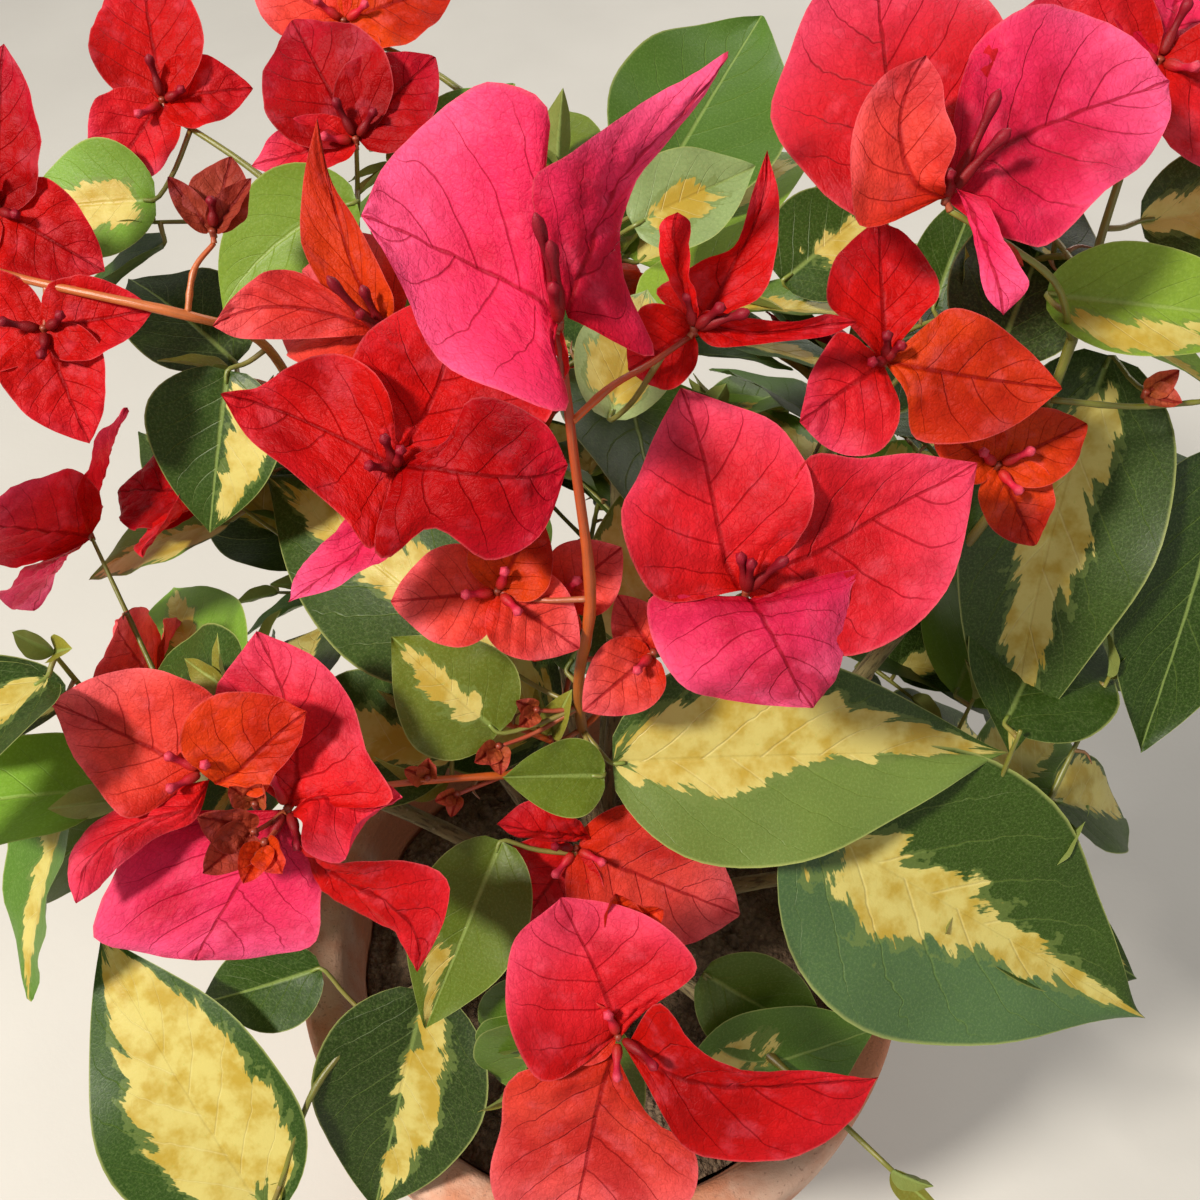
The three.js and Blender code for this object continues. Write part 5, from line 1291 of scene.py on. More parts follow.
def tube_mesh(path, radius_at, sides, steps, lobes=None):
    """Points, faces and corners of a round limb along a path, rounded off at both ends."""
    curve = Curve(path)
    across = np.array([1.0, 0, 0])
    points = [curve.place(0)]
    lengths = [0.0]
    for step in range(steps + 1):
        t = step / steps
        middle, along = curve.place(t), curve.along(t)
        if step == 0 and abs(along[0]) > 0.9:
            across = np.array([0, 1.0, 0])
        across = unit(across - along * (across @ along))
        other = np.cross(along, across)
        if step:
            lengths.append(lengths[-1] + np.linalg.norm(middle - last))
        last = middle
        for side in range(sides):
            angle = 2 * math.pi * side / sides
            radius = radius_at(t) * (lobes(t, angle) if lobes else 1)
            points.append(middle + across * radius * math.cos(angle) + other * radius * math.sin(angle))
    points.append(curve.place(1) + curve.along(1) * 0.4 * radius_at(1))
    faces, cells, sizes = [], [], []
    girth = 2 * math.pi * radius_at(0.5)

    def corner(side, t, length):
        cells.append((side / sides, t))
        sizes.append((girth * side / sides, length))

    for side in range(sides):
        after = (side + 1) % sides
        faces.append([0, 1 + after, 1 + side])
        for beside in (0.5, 1, 0):
            corner(side + beside, 0, 0)
        for step in range(steps):
            low, high = 1 + step * sides, 1 + (step + 1) * sides
            faces.append([low + side, low + after, high + after, high + side])
            for beside, at in ((0, step), (1, step), (1, step + 1), (0, step + 1)):
                corner(side + beside, at / steps, lengths[at])
        top = 1 + steps * sides
        faces.append([top + side, top + after, len(points) - 1])
        for beside in (0, 1, 0.5):
            corner(side + beside, 1, lengths[-1])
    cells = np.array(cells)
    shares = np.stack([2 * cells[:, 0] - 1, cells[:, 1]], axis=1)
    along = np.concatenate([[0], np.repeat(np.arange(steps + 1) / steps, sides), [1]])
    return points, faces, (cells, shares, np.array(sizes)), along


def run_of(colours, along):
    """The colours from the first to the last, at shares of a limb's length."""
    stops = np.linspace(0, 1, len(colours))
    return np.stack([np.interp(along, stops, [colour[n] for colour in colours]) for n in range(3)], axis=1)


# Knots on a limb: how many, how long each is as a share of the limb, and how far they swell.
KNOTS = 3
KNOT_WIDTH = 0.03
STEM_SWELL = 0.22
TWIG_SWELL = 0.2


def add_limb(heap, path, radius, colours, sides, steps, draw, swell=0.0):
    """A stem, twig or stalk, its colour running from the first to the last."""
    foot, tip = radius
    bumps = [0.15 + 0.7 * next(draw) for _ in range(KNOTS)]

    def radius_at(t):
        knots = sum(math.exp(-(((t - bump) / KNOT_WIDTH) ** 2)) for bump in bumps)
        return (foot + (tip - foot) * t) * (1 + swell * knots)

    points, faces, corners, along = tube_mesh(path, radius_at, sides, steps)
    heap.add(points, faces, corners, run_of(colours, along) * brightness("limb", draw))


# A tube flower swells to its base and closes in five lobes; from its foot to its end these are the
# places of its rings, their radii as a share of the widest, and the depth of the lobes there.
TUBE_PROFILE = [
    (0.0, 0.45, 0.0), (0.06, 0.8, 0.05), (0.2, 1.0, 0.08), (0.34, 0.92, 0.08), (0.46, 0.62, 0.05),
    (0.6, 0.6, 0.05), (0.74, 0.72, 0.08), (0.84, 1.0, 0.16), (0.92, 0.98, 0.22), (0.97, 0.66, 0.26),
    (1.0, 0.22, 0.2),
]
TUBE_RADIUS = 1.25
TUBE_LOBES = 5
TUBE_COLOURS = {
    "dark": ((0.20, 0.006, 0.004), (0.19, 0.002, 0.005), (0.15, 0.001, 0.006), (0.24, 0.004, 0.016)),
    "rosy": ((0.36, 0.020, 0.008), (0.42, 0.008, 0.014), (0.48, 0.012, 0.040), (0.60, 0.050, 0.090)),
}


def add_flower(heap, heart, pose, rise, length, look, draw):
    """A tube flower that leaves a heart along its pose, and leans up by its rise on the way."""
    along, side, face = pose
    lean = side * 0.25 * (next(draw) - 0.5)
    start = heart + along * 1.2 + face * 0.6
    middle = start + unit(along + face * 0.55 * rise + lean) * 0.5 * length
    end = middle + unit(along + face * rise + lean * 2) * 0.5 * length
    places, radii, depths = (np.array(column) for column in zip(*TUBE_PROFILE))

    def radius_at(t):
        return TUBE_RADIUS * float(np.interp(t, places, radii))

    def lobes(t, angle):
        return 1 - float(np.interp(t, places, depths)) * (0.5 - 0.5 * math.cos(TUBE_LOBES * angle))

    points, faces, corners, shares = tube_mesh([start, middle, end], radius_at, TUBE_SIDES, 16, lobes)
    heap.add(points, faces, corners, run_of(TUBE_COLOURS[look], shares) * brightness("flower", draw))


# Shader nodes

def node(tree, kind, inputs=None, **settings):
    """A node of a tree; inputs are values, or the outputs that feed them."""
    made = tree.nodes.new(kind)
    for name, value in settings.items():
        setattr(made, name, value)
    for name, value in (inputs or {}).items():
        socket = made.inputs[name]
        if isinstance(value, bpy.types.NodeSocket):
            tree.links.new(value, socket)
        else:
            socket.default_value = value
    return made


def maths(tree, operation, first, second=0.0, third=None):
    inputs = {0: first, 1: second}
    if third is not None:
        inputs[2] = third
    return node(tree, "ShaderNodeMath", inputs, operation=operation).outputs[0]


def times(tree, first, second):
    return maths(tree, "MULTIPLY", first, second)


def times_add(tree, first, second, third):
    return maths(tree, "MULTIPLY_ADD", first, second, third)


def heights(tree, *parts):
    """Several heights added up, each with its share."""
    total = 0.0
    for height, share in parts:
        total = times_add(tree, height, share, total)
    return total


def ramp(tree, value, low, high, start=0.0, end=1.0):
    """Eases from start to end as the value goes from low to high."""
    inputs = {"Value": value, "From Min": low, "From Max": high, "To Min": start, "To Max": end}
    return node(tree, "ShaderNodeMapRange", inputs, interpolation_type="SMOOTHSTEP").outputs["Result"]


def mixed(tree, factor, first, second, blend="MIX"):
    """Two colours mixed."""
    made = node(tree, "ShaderNodeMix", data_type="RGBA", blend_type=blend)
    for index, value in ((0, factor), (6, first), (7, second)):
        if isinstance(value, bpy.types.NodeSocket):
            tree.links.new(value, made.inputs[index])
        elif index:
            made.inputs[index].default_value = (*value, 1)
        else:
            made.inputs[index].default_value = value
    return made.outputs[2]


def laid_over(tree, colour, other, mask, share):
    """The colour with another laid over it, as far as a mask and a share say."""
    return mixed(tree, times(tree, mask, share), colour, other)


def changed(tree, colour, change, operation):
    """The colour added to or multiplied by another."""
    return mixed(tree, 1.0, colour, change, operation)


def patchy(tree, colour, other, pattern, limits, most):
    """The colour with another in patches, where a pattern goes from the low to the high limit."""
    return mixed(tree, ramp(tree, pattern, *limits, 0.0, most), colour, other)


def scaled(tree, vector, factors):
    inputs = {0: vector, 1: factors}
    return node(tree, "ShaderNodeVectorMath", inputs, operation="MULTIPLY").outputs[0]


def cells(tree, vector, scale, **settings):
    """The distance to the middles of cells, or to their edges."""
    made = node(tree, "ShaderNodeTexVoronoi", {"Vector": vector, "Scale": scale}, **settings)
    return made.outputs["Distance"]


def object_place(tree):
    return node(tree, "ShaderNodeTexCoord").outputs["Object"]


def noise(tree, vector, scale, detail=3.0, roughness=0.5):
    inputs = {"Vector": vector, "Scale": scale, "Detail": detail, "Roughness": roughness}
    return node(tree, "ShaderNodeTexNoise", inputs).outputs["Fac"]


def read_map(tree, name):
    """A blade's own map, with the two numbers as separate outputs too."""
    vector = node(tree, "ShaderNodeUVMap", uv_map=name).outputs["UV"]
    apart = node(tree, "ShaderNodeSeparateXYZ", {"Vector": vector})
    return vector, apart.outputs["X"], apart.outputs["Y"]


def attribute(tree, name):
    return node(tree, "ShaderNodeAttribute", attribute_name=name, attribute_type="GEOMETRY")


def painted(tree):
    """The colour that the mesh's points are painted with."""
    return attribute(tree, "Shade").outputs["Color"]


def read_value(tree, name):
    return attribute(tree, name).outputs["Fac"]


def own_place(tree, vector):
    """A place on a blade, moved on by the blade's own number, so that no two blades look the same."""
    moved = node(tree, "ShaderNodeCombineXYZ", {"Z": read_value(tree, "Own")}).outputs[0]
    return node(tree, "ShaderNodeVectorMath", {0: vector, 1: moved}, operation="ADD").outputs[0]


def new_group(name, inputs, outputs):
    """An empty node group with its named sockets; inputs give each socket's first value."""
    tree = bpy.data.node_groups.new(name, "ShaderNodeTree")
    for title, value in inputs.items():
        is_colour = isinstance(value, tuple)
        kind = "NodeSocketColor" if is_colour else "NodeSocketFloat"
        socket = tree.interface.new_socket(title, in_out="INPUT", socket_type=kind)
        socket.default_value = (*value, 1) if is_colour else value
    for title, kind in outputs.items():
        tree.interface.new_socket(title, in_out="OUTPUT", socket_type=kind)
    return tree, node(tree, "NodeGroupInput").outputs, node(tree, "NodeGroupOutput")


def finish_group(tree, output, results):
    for title, socket in results.items():
        tree.links.new(socket, output.inputs[title])
    return tree


def use_group(tree, group, **values):
    made = node(tree, "ShaderNodeGroup", node_tree=group)
    for name, value in values.items():
        socket = made.inputs[name.replace("_", " ")]
        if isinstance(value, bpy.types.NodeSocket):
            tree.links.new(value, socket)
        else:
            socket.default_value = (*value, 1) if isinstance(value, tuple) else value
    return made.outputs


def veins_group():
    """The veins of a blade: its midrib, the pairs that leave it, and the net between them."""
    inputs = {"Pairs": 6.0, "Slope": 0.35, "Thickness": 0.16, "Net": 3.0}
    outputs = {"Midrib": "NodeSocketFloat", "Laterals": "NodeSocketFloat", "Net": "NodeSocketFloat"}
    tree, given, output = new_group("Veins", inputs, outputs)
    _, across, along = read_map(tree, "Share")
    blade, width_mm, _ = read_map(tree, "Blade")
    outwards = maths(tree, "ABSOLUTE", across)
    leftwards = maths(tree, "LESS_THAN", across, 0.0)
    forwards = maths(tree, "SUBTRACT", times(tree, along, 1.05), times(tree, given["Slope"], outwards))
    count = times_add(tree, forwards, given["Pairs"], times(tree, leftwards, 0.5))
    stray = times_add(tree, noise(tree, own_place(tree, blade), 0.12, 2.0), 0.8, -0.4)
    step = maths(tree, "FRACT", times_add(tree, stray, outwards, count))
    off_middle = maths(tree, "ABSOLUTE", maths(tree, "SUBTRACT", step, 0.5))
    away = times(tree, maths(tree, "SUBTRACT", 0.5, off_middle), 2.0)
    thickness = times(tree, given["Thickness"], ramp(tree, outwards, 0.0, 1.1, 1.0, 0.3))
    laterals = ramp(tree, away, 0.0, thickness, 1.0, 0.0)
    laterals = times(tree, laterals, ramp(tree, outwards, 0.75, 1.0, 1.0, 0.1))
    rib_width = ramp(tree, along, 0.0, 1.0, 0.95, 0.3)
    midrib = ramp(tree, maths(tree, "ABSOLUTE", width_mm), 0.15, rib_width, 1.0, 0.0)
    mesh_scale = maths(tree, "DIVIDE", 1.0, given["Net"])
    net = node(
        tree, "ShaderNodeTexVoronoi", {"Vector": blade, "Scale": mesh_scale, "Randomness": 0.9},
        feature="DISTANCE_TO_EDGE",
    ).outputs["Distance"]
    net = ramp(tree, net, 0.0, 0.11, 1.0, 0.0)
    return finish_group(tree, output, {"Midrib": midrib, "Laterals": laterals, "Net": net})


def grain_group():
    """Fine grain and soft patches over a surface, as lighter and darker colour and as height."""
    inputs = {"Colour": (0.5, 0.5, 0.5), "Grain Size": 1.0, "Grain": 0.1, "Patch Size": 12.0, "Patches": 0.1}
    outputs = {"Colour": "NodeSocketColor", "Height": "NodeSocketFloat"}
    tree, given, output = new_group("Grain", inputs, outputs)
    in_mm = scaled(tree, object_place(tree), (1000, 1000, 1000))
    fine = noise(tree, in_mm, maths(tree, "DIVIDE", 1.0, given["Grain Size"]), 2.0, 0.6)
    soft = noise(tree, in_mm, maths(tree, "DIVIDE", 1.0, given["Patch Size"]), 3.0, 0.55)
    value = 1.0
    for pattern, strength in ((fine, given["Grain"]), (soft, given["Patches"])):
        change = maths(tree, "SUBTRACT", pattern, 0.5)
        value = times_add(tree, change, times(tree, strength, 2.0), value)
    inputs = {"Color": given["Colour"], "Value": value}
    colour = node(tree, "ShaderNodeHueSaturation", inputs).outputs["Color"]
    return finish_group(tree, output, {"Colour": colour, "Height": fine})


def grained(tree, grain, colour, sizes, strengths):
    """A colour with grain and patches of these sizes in millimetres, and the grain's height."""
    made = use_group(
        tree, grain, Colour=colour, Grain_Size=sizes[0], Patch_Size=sizes[1],
        Grain=strengths[0], Patches=strengths[1],
    )
    return made["Colour"], made["Height"]


def new_material(name):
    made = bpy.data.materials.new(name)
    made.use_nodes = True
    made.node_tree.nodes.clear()
    return made, made.node_tree


def surface(tree, colour, roughness, height=None, strength=0.3, distance=0.0004, **fixed):
    """A plain surface of the tree: colour, roughness and bump; fixed values go on its own sockets."""
    shader = node(tree, "ShaderNodeBsdfPrincipled", {"Base Color": colour, "Roughness": roughness})
    for title, value in fixed.items():
        shader.inputs[title.replace("_", " ")].default_value = value
    if height is not None:
        bump = node(tree, "ShaderNodeBump", {"Height": height, "Strength": strength, "Distance": distance})
        tree.links.new(bump.outputs["Normal"], shader.inputs["Normal"])
    return shader.outputs["BSDF"]


def put_out(tree, shader):
    tree.links.new(shader, node(tree, "ShaderNodeOutputMaterial").inputs["Surface"])


def glow_through(tree, shader, colour, share):
    """Lets some light through a thin blade."""
    through = node(tree, "ShaderNodeBsdfTranslucent", {"Color": colour})
    return node(tree, "ShaderNodeMixShader", {0: share, 1: shader, 2: through.outputs["BSDF"]}).outputs[0]


def bract_material(veins, grain):
    """Papery coloured bracts with darker veins, a thin pale edge and lighter pink patches of painted sheen.
    """
    made, tree = new_material("bract_paper")
    _, across, _ = read_map(tree, "Share")
    blade, _, _ = read_map(tree, "Blade")
    own = own_place(tree, blade)
    pairs, slope = VEIN_PAIRS["bract"], VEIN_SLOPE["bract"]
    lines = use_group(tree, veins, Pairs=pairs, Slope=slope, Thickness=0.085, Net=1.9)
    paper, fibres = grained(tree, grain, painted(tree), (0.45, 6.0), (0.22, 0.2))
    deep = changed(tree, paper, (0.60, 0.16, 0.22), "MULTIPLY")
    # Lighter pink patches between the veins are a painted sheen, a highlight painted into the colour.
    painted_pink_sheen = changed(tree, paper, (0.12, 0.05, 0.075), "ADD")
    colour = patchy(tree, paper, deep, noise(tree, own, 0.055, 3.0), (0.44, 0.70), 0.75)
    colour = patchy(tree, colour, painted_pink_sheen, noise(tree, own, 0.15, 4.0, 0.6), (0.5, 0.7), 0.45)
    vein = changed(tree, colour, (0.46, 0.10, 0.16), "MULTIPLY")
    for name, share in (("Net", 0.17), ("Laterals", 0.7), ("Midrib", 0.8)):
        colour = laid_over(tree, colour, vein, lines[name], share)
    outwards = maths(tree, "ABSOLUTE", across)
    colour = patchy(tree, colour, (0.80, 0.16, 0.18), outwards, (0.965, 1.0), 0.3)
    wrinkles = noise(tree, own, 0.55, 4.0, 0.6)
    height = heights(
        tree, (fibres, 0.4), (wrinkles, 1.2),
        (lines["Laterals"], -0.7), (lines["Net"], -0.12), (lines["Midrib"], -0.7),
    )
    shader = surface(
        tree, colour, times_add(tree, fibres, 0.25, 0.36), height, 0.6, 0.0006,
        Specular_IOR_Level=0.19, Specular_Tint=(1.0, 0.62, 0.68, 1.0),
    )
    put_out(tree, glow_through(tree, shader, colour, 0.3))
    return made


def cream_masks(tree, across, along, own):
    """Where a leaf is cream and where grey-green, torn along its veins."""
    outwards = maths(tree, "ABSOLUTE", across)
    forwards = times_add(tree, outwards, -VEIN_SLOPE["leaf"], along)
    places = {"X": times(tree, forwards, 9.5), "Y": times(tree, across, 1.3)}
    streaks = own_place(tree, node(tree, "ShaderNodeCombineXYZ", places).outputs[0])
    jagged = maths(tree, "SUBTRACT", noise(tree, streaks, 1.0, 5.0, 0.6), 0.5)
    torn = maths(tree, "SUBTRACT", noise(tree, own, 0.16, 3.0, 0.6), 0.5)
    field = read_value(tree, "Cream")
    cream = times_add(tree, jagged, 2.8, times_add(tree, torn, 0.7, field))
    grey = times_add(tree, jagged, 1.9, times_add(tree, torn, 2.0, field))
    return ramp(tree, cream, -0.02, 0.05), ramp(tree, grey, -0.28, -0.18)


def leaf_material(veins, grain):
    """Green leaves with cream and grey-green patches that break up along the veins."""
    made, tree = new_material("leaf_skin")
    _, across, along = read_map(tree, "Share")
    blade, _, _ = read_map(tree, "Blade")
    own = own_place(tree, blade)
    pairs, slope = VEIN_PAIRS["leaf"], VEIN_SLOPE["leaf"]
    lines = use_group(tree, veins, Pairs=pairs, Slope=slope, Thickness=0.10, Net=1.8)
    green, pores = grained(tree, grain, painted(tree), (0.7, 16.0), (0.1, 0.16))
    cream, grey = cream_masks(tree, across, along, own)
    green = laid_over(tree, green, (0.18, 0.26, 0.04), lines["Laterals"], 0.25)
    green = laid_over(tree, green, (0.30, 0.40, 0.10), lines["Midrib"], 0.55)
    green = laid_over(tree, green, (0.10, 0.20, 0.03), lines["Net"], 0.12)
    # Lighter specks over the green, partly dust and partly a painted sheen.
    dust_and_sheen = changed(tree, green, (0.060, 0.072, 0.030), "ADD")
    green = patchy(tree, green, dust_and_sheen, noise(tree, own, 1.6, 3.0, 0.7), (0.45, 0.68), 0.6)
    green = laid_over(tree, green, (0.16, 0.22, 0.05), grey, 0.5)
    marbled = ramp(tree, noise(tree, own, 0.09, 4.0, 0.6), 0.4, 0.64)
    pale = mixed(tree, marbled, (0.60, 0.51, 0.15), (0.46, 0.32, 0.040))
    specks = ramp(tree, noise(tree, own, 0.7, 2.0), 0.66, 0.72)
    pale = laid_over(tree, pale, (0.40, 0.42, 0.09), specks, 0.3)
    pale = laid_over(tree, pale, (0.74, 0.66, 0.30), lines["Laterals"], 0.25)
    colour = mixed(tree, cream, green, pale)
    outwards = maths(tree, "ABSOLUTE", across)
    colour = patchy(tree, colour, (0.42, 0.46, 0.14), outwards, (0.965, 1.0), 0.6)
    behind = node(tree, "ShaderNodeNewGeometry").outputs["Backfacing"]
    colour = laid_over(tree, colour, (0.22, 0.32, 0.11), behind, 0.45)
    height = heights(
        tree, (pores, 0.25), (lines["Laterals"], -0.8), (lines["Net"], -0.05), (lines["Midrib"], -0.9)
    )
    roughness = times_add(tree, pores, 0.2, 0.34)
    shader = surface(tree, colour, roughness, height, 0.4, 0.0005, Specular_IOR_Level=0.28)
    put_out(tree, glow_through(tree, shader, colour, 0.2))
    return made


def stem_material(grain):
    """Young stems, smooth and streaked along their length."""
    made, tree = new_material("stem_skin")
    blade, _, _ = read_map(tree, "Blade")
    skin, pores = grained(tree, grain, painted(tree), (0.5, 7.0), (0.16, 0.3))
    streak = noise(tree, scaled(tree, blade, (2.4, 0.18, 1.0)), 1.0, 3.0)
    colour = patchy(tree, skin, (0.20, 0.10, 0.04), streak, (0.45, 0.75), 0.4)
    put_out(tree, surface(tree, colour, 0.42, heights(tree, (streak, 1.0), (pores, 0.4)), 0.4, 0.0003))
    return made


def flower_material(grain):
    """The tube flowers, with a bloom of fine hairs."""
    made, tree = new_material("flower_tube")
    skin, hairs = grained(tree, grain, painted(tree), (0.3, 3.0), (0.3, 0.2))
    put_out(tree, surface(tree, skin, 0.5, hairs, 0.4, 0.0003, Specular_IOR_Level=0.25))
    return made


def bark_material(grain):
    """Grey-brown bark, cracked along the limb, with painted shade in its cracks and pale corky dots."""
    made, tree = new_material("bark_rough")
    blade, _, _ = read_map(tree, "Blade")
    skin, pores = grained(tree, grain, painted(tree), (0.6, 9.0), (0.25, 0.35))
    cracks = noise(tree, scaled(tree, blade, (0.9, 0.14, 1.0)), 1.0, 5.0, 0.65)
    cracks = ramp(tree, cracks, 0.36, 0.5, 1.0, 0.0)
    corky = ramp(tree, cells(tree, blade, 0.35), 0.1, 0.2, 1.0, 0.0)
    # The cracks are painted a near-black brown: painted shade in the cracks.
    colour = laid_over(tree, skin, (0.07, 0.045, 0.025), cracks, 0.7)
    colour = laid_over(tree, colour, (0.42, 0.33, 0.22), corky, 0.5)
    height = heights(tree, (pores, 0.4), (cracks, -1.0), (corky, 0.4))
    put_out(tree, surface(tree, colour, 0.82, height, 0.7, 0.0008))
    return made


def turning_lines(tree, place):
    """Fine level lines that the clay keeps from its turning."""
    inputs = {"Vector": place, "Scale": 95.0, "Distortion": 1.6, "Detail": 2.0, "Detail Scale": 2.0}
    made = node(tree, "ShaderNodeTexWave", inputs, wave_type="BANDS", bands_direction="Z")
    return made.outputs["Fac"]


def terracotta_material(grain):
    """Fired clay: dusty, blotched, with fine turning lines and pale lime near its rim and foot."""
    made, tree = new_material("terracotta_clay")
    place = object_place(tree)
    height_z = node(tree, "ShaderNodeSeparateXYZ", {"Vector": place}).outputs["Z"]
    clay, grains = grained(tree, grain, (0.50, 0.185, 0.095), (0.9, 45.0), (0.14, 0.2))
    stretched = scaled(tree, place, (1, 1, 0.55))
    near_foot = ramp(tree, height_z, 0.0, 0.05, 0.16, 0.0)
    near_rim = ramp(tree, height_z, 0.135, 0.168, 0.0, 0.13)
    blotch = noise(tree, stretched, 26.0, 5.0, 0.62)
    limed = heights(tree, (blotch, 1.0), (near_foot, 1.0), (near_rim, 1.0))
    lime = ramp(tree, limed, 0.56, 0.78, 0.0, 0.7)
    colour = mixed(tree, lime, clay, (0.66, 0.48, 0.37))
    colour = patchy(tree, colour, (0.30, 0.115, 0.06), noise(tree, stretched, 14.0, 3.0), (0.55, 0.75), 0.35)
    colour = patchy(tree, colour, (0.24, 0.12, 0.08), noise(tree, place, 900.0, 1.0), (0.68, 0.72), 0.5)
    height = heights(tree, (grains, 1.0), (turning_lines(tree, place), 0.35), (lime, 0.4))
    put_out(tree, surface(tree, colour, times_add(tree, lime, 0.1, 0.78), height, 0.5, 0.0006))
    return made


def soil_material(grain):
    """Dry potting soil in brown crumbs, with painted shade in the gaps between the crumbs and lighter
    specks.
    """
    made, tree = new_material("soil_crumbs")
    place = object_place(tree)
    earth, grains = grained(tree, grain, (0.165, 0.105, 0.062), (0.8, 14.0), (0.45, 0.4))
    off_crumb = cells(tree, place, 420.0)
    crumbs = ramp(tree, off_crumb, 0.1, 0.6, 1.0, 0.0)
    # Darker brown where a point lies far from a crumb's middle: painted shade in the gaps between the
    # crumbs.
    colour = patchy(tree, earth, (0.05, 0.03, 0.017), off_crumb, (0.4, 0.8), 0.7)
    colour = patchy(tree, colour, (0.33, 0.24, 0.15), noise(tree, place, 300.0, 2.0), (0.66, 0.72), 0.6)
    put_out(tree, surface(tree, colour, 0.93, maths(tree, "ADD", crumbs, grains), 0.9, 0.0015))
    return made


def floor_material():
    """A plain pale floor."""
    made, tree = new_material("floor_pale")
    place = object_place(tree)
    colour = mixed(tree, noise(tree, place, 9.0, 4.0), (0.50, 0.48, 0.445), (0.58, 0.56, 0.52))
    put_out(tree, surface(tree, colour, 0.75, noise(tree, place, 260.0, 3.0), 0.12, 0.0008))
    return made


# The plant

# Small buds: their place, the turn of the first of their two bracts, their length and tint.
BUDS = {
    "spray_crown_top": [
        [[-15, 0, 292], 150, 7, "bud"], [[-24, -7, 287], 210, 8, "bud"], [[-34, -16, 280], 190, 6, "bud"],
    ],
    "spray_top_right": [[[118, 40, 356], 330, 8, "bud"], [[72, 31, 398], 250, 7, "bud"]],
    "spray_left_low": [
        [[-40, -16, 288], 80, 7, "bud"], [[-56, -22, 294], 300, 7, "bud"],
        [[-74, -36, 300], 150, 14, "dusky"], [[-71, -39, 301], 250, 10, "orange"],
        [[-74, -31, 303], 60, 8, "bud"],
    ],
    "spray_front": [[[6, -47, 277], 36, 13, "orange"]],
}

# Tube flowers that are listed by spray and bloom: the turn and lift of each, and its length.
TUBES = {
    ("spray_crown_top", 0): [[93, 40, 20], [85, 46, 16], [104, 54, 9]],
    ("spray_crown_top", 1): [[14, 28, 11], [32, 42, 8], [104, 34, 7]],
    ("spray_upper_left", 0): [[147, 28, 16], [120, 34, 11], [134, 50, 9]],
    ("spray_upper_left", 1): [[104, 44, 8], [62, 50, 6], [198, 44, 7]],
    ("spray_centre_right", 0): [[104, 42, 11], [88, 48, 10], [52, 36, 12]],
    ("spray_middle_right", 0): [[88, 46, 7], [60, 52, 6], [196, 44, 6]],
    ("spray_top_right", 0): [[61, 22, 18], [53, 30, 14], [100, 58, 6]],
}

BLOOM_TINTS = ["rose", "magenta", "crimson", "red", "coral", "orange", "rose", "magenta"]
LEAF_GREENS = ["dark", "mid", "deep", "dark", "mid", "fresh", "dark", "olive"]
LEAF_CREAMS = [
    [-0.35, 0.35, 0.0, 0.92], None, [-0.15, 0.85, 0.05, 0.9], [-0.85, 0.1, 0.05, 0.9],
    [-0.2, 0.3, 0.05, 0.95], None, [-0.6, 0.6, 0.1, 0.85], None,
]
STEM_COLOURS = {
    "red": [(0.17, 0.095, 0.010), (0.50, 0.085, 0.010), (0.24, 0.012, 0.004)],
    "tan": [(0.20, 0.09, 0.02), (0.50, 0.14, 0.03), (0.44, 0.08, 0.02)],
    "green": [(0.12, 0.08, 0.014), (0.13, 0.14, 0.016), (0.17, 0.17, 0.02)],
}
STALK_COLOURS = {
    "leaf": [(0.20, 0.14, 0.03), (0.17, 0.24, 0.04)],
    "bract": [(0.34, 0.09, 0.03), (0.36, 0.04, 0.02)],
}
STEM_LOOKS = {
    "spray_crown_top": "red", "spray_upper_left": "red", "spray_left_low": "red", "spray_far_left": "tan",
    "spray_top_right": "green", "spray_middle_right": "green", "spray_low_right": "green",
}


def pick(choices, draw):
    return choices[int(next(draw) * len(choices))]


def paint_grown(shoots, draw):
    """Deals out tints and leaf looks over what grows by rule, each bloom in two neighbouring tints."""
    for shoot in shoots:
        for organ in shoot["organs"]:
            tint, other = pick(BLOOM_TINTS, draw), pick(BLOOM_TINTS, draw)
            green, cream = pick(LEAF_GREENS, draw), pick(LEAF_CREAMS, draw)
            for index, blade in enumerate(organ["blades"]):
                blade.update(tint=tint if index else other, green=green, cream=cream)


def shown(radius):
    """The slimmer radius that a stem of the solids is shown with."""
    return [STEM_SHOWN * value for value in radius]


THORNS_AT = (0.3, 0.62)
THORN_RADIUS = (0.7, 0.12)
THORN_COLOURS = [(0.30, 0.16, 0.06), (0.20, 0.07, 0.03)]
STALK_INTO_LEAF = 3


def add_thorn(heap, foot, along, out, draw):
    """A short hooked thorn, where a leaf leaves its stem."""
    length = 4 + 3 * next(draw)
    middle = foot + out * 0.55 * length + along * 0.1 * length
    tip = foot + out * length - along * 0.25 * length
    add_limb(heap, [foot, middle, tip], THORN_RADIUS, THORN_COLOURS, 5, 5, draw)


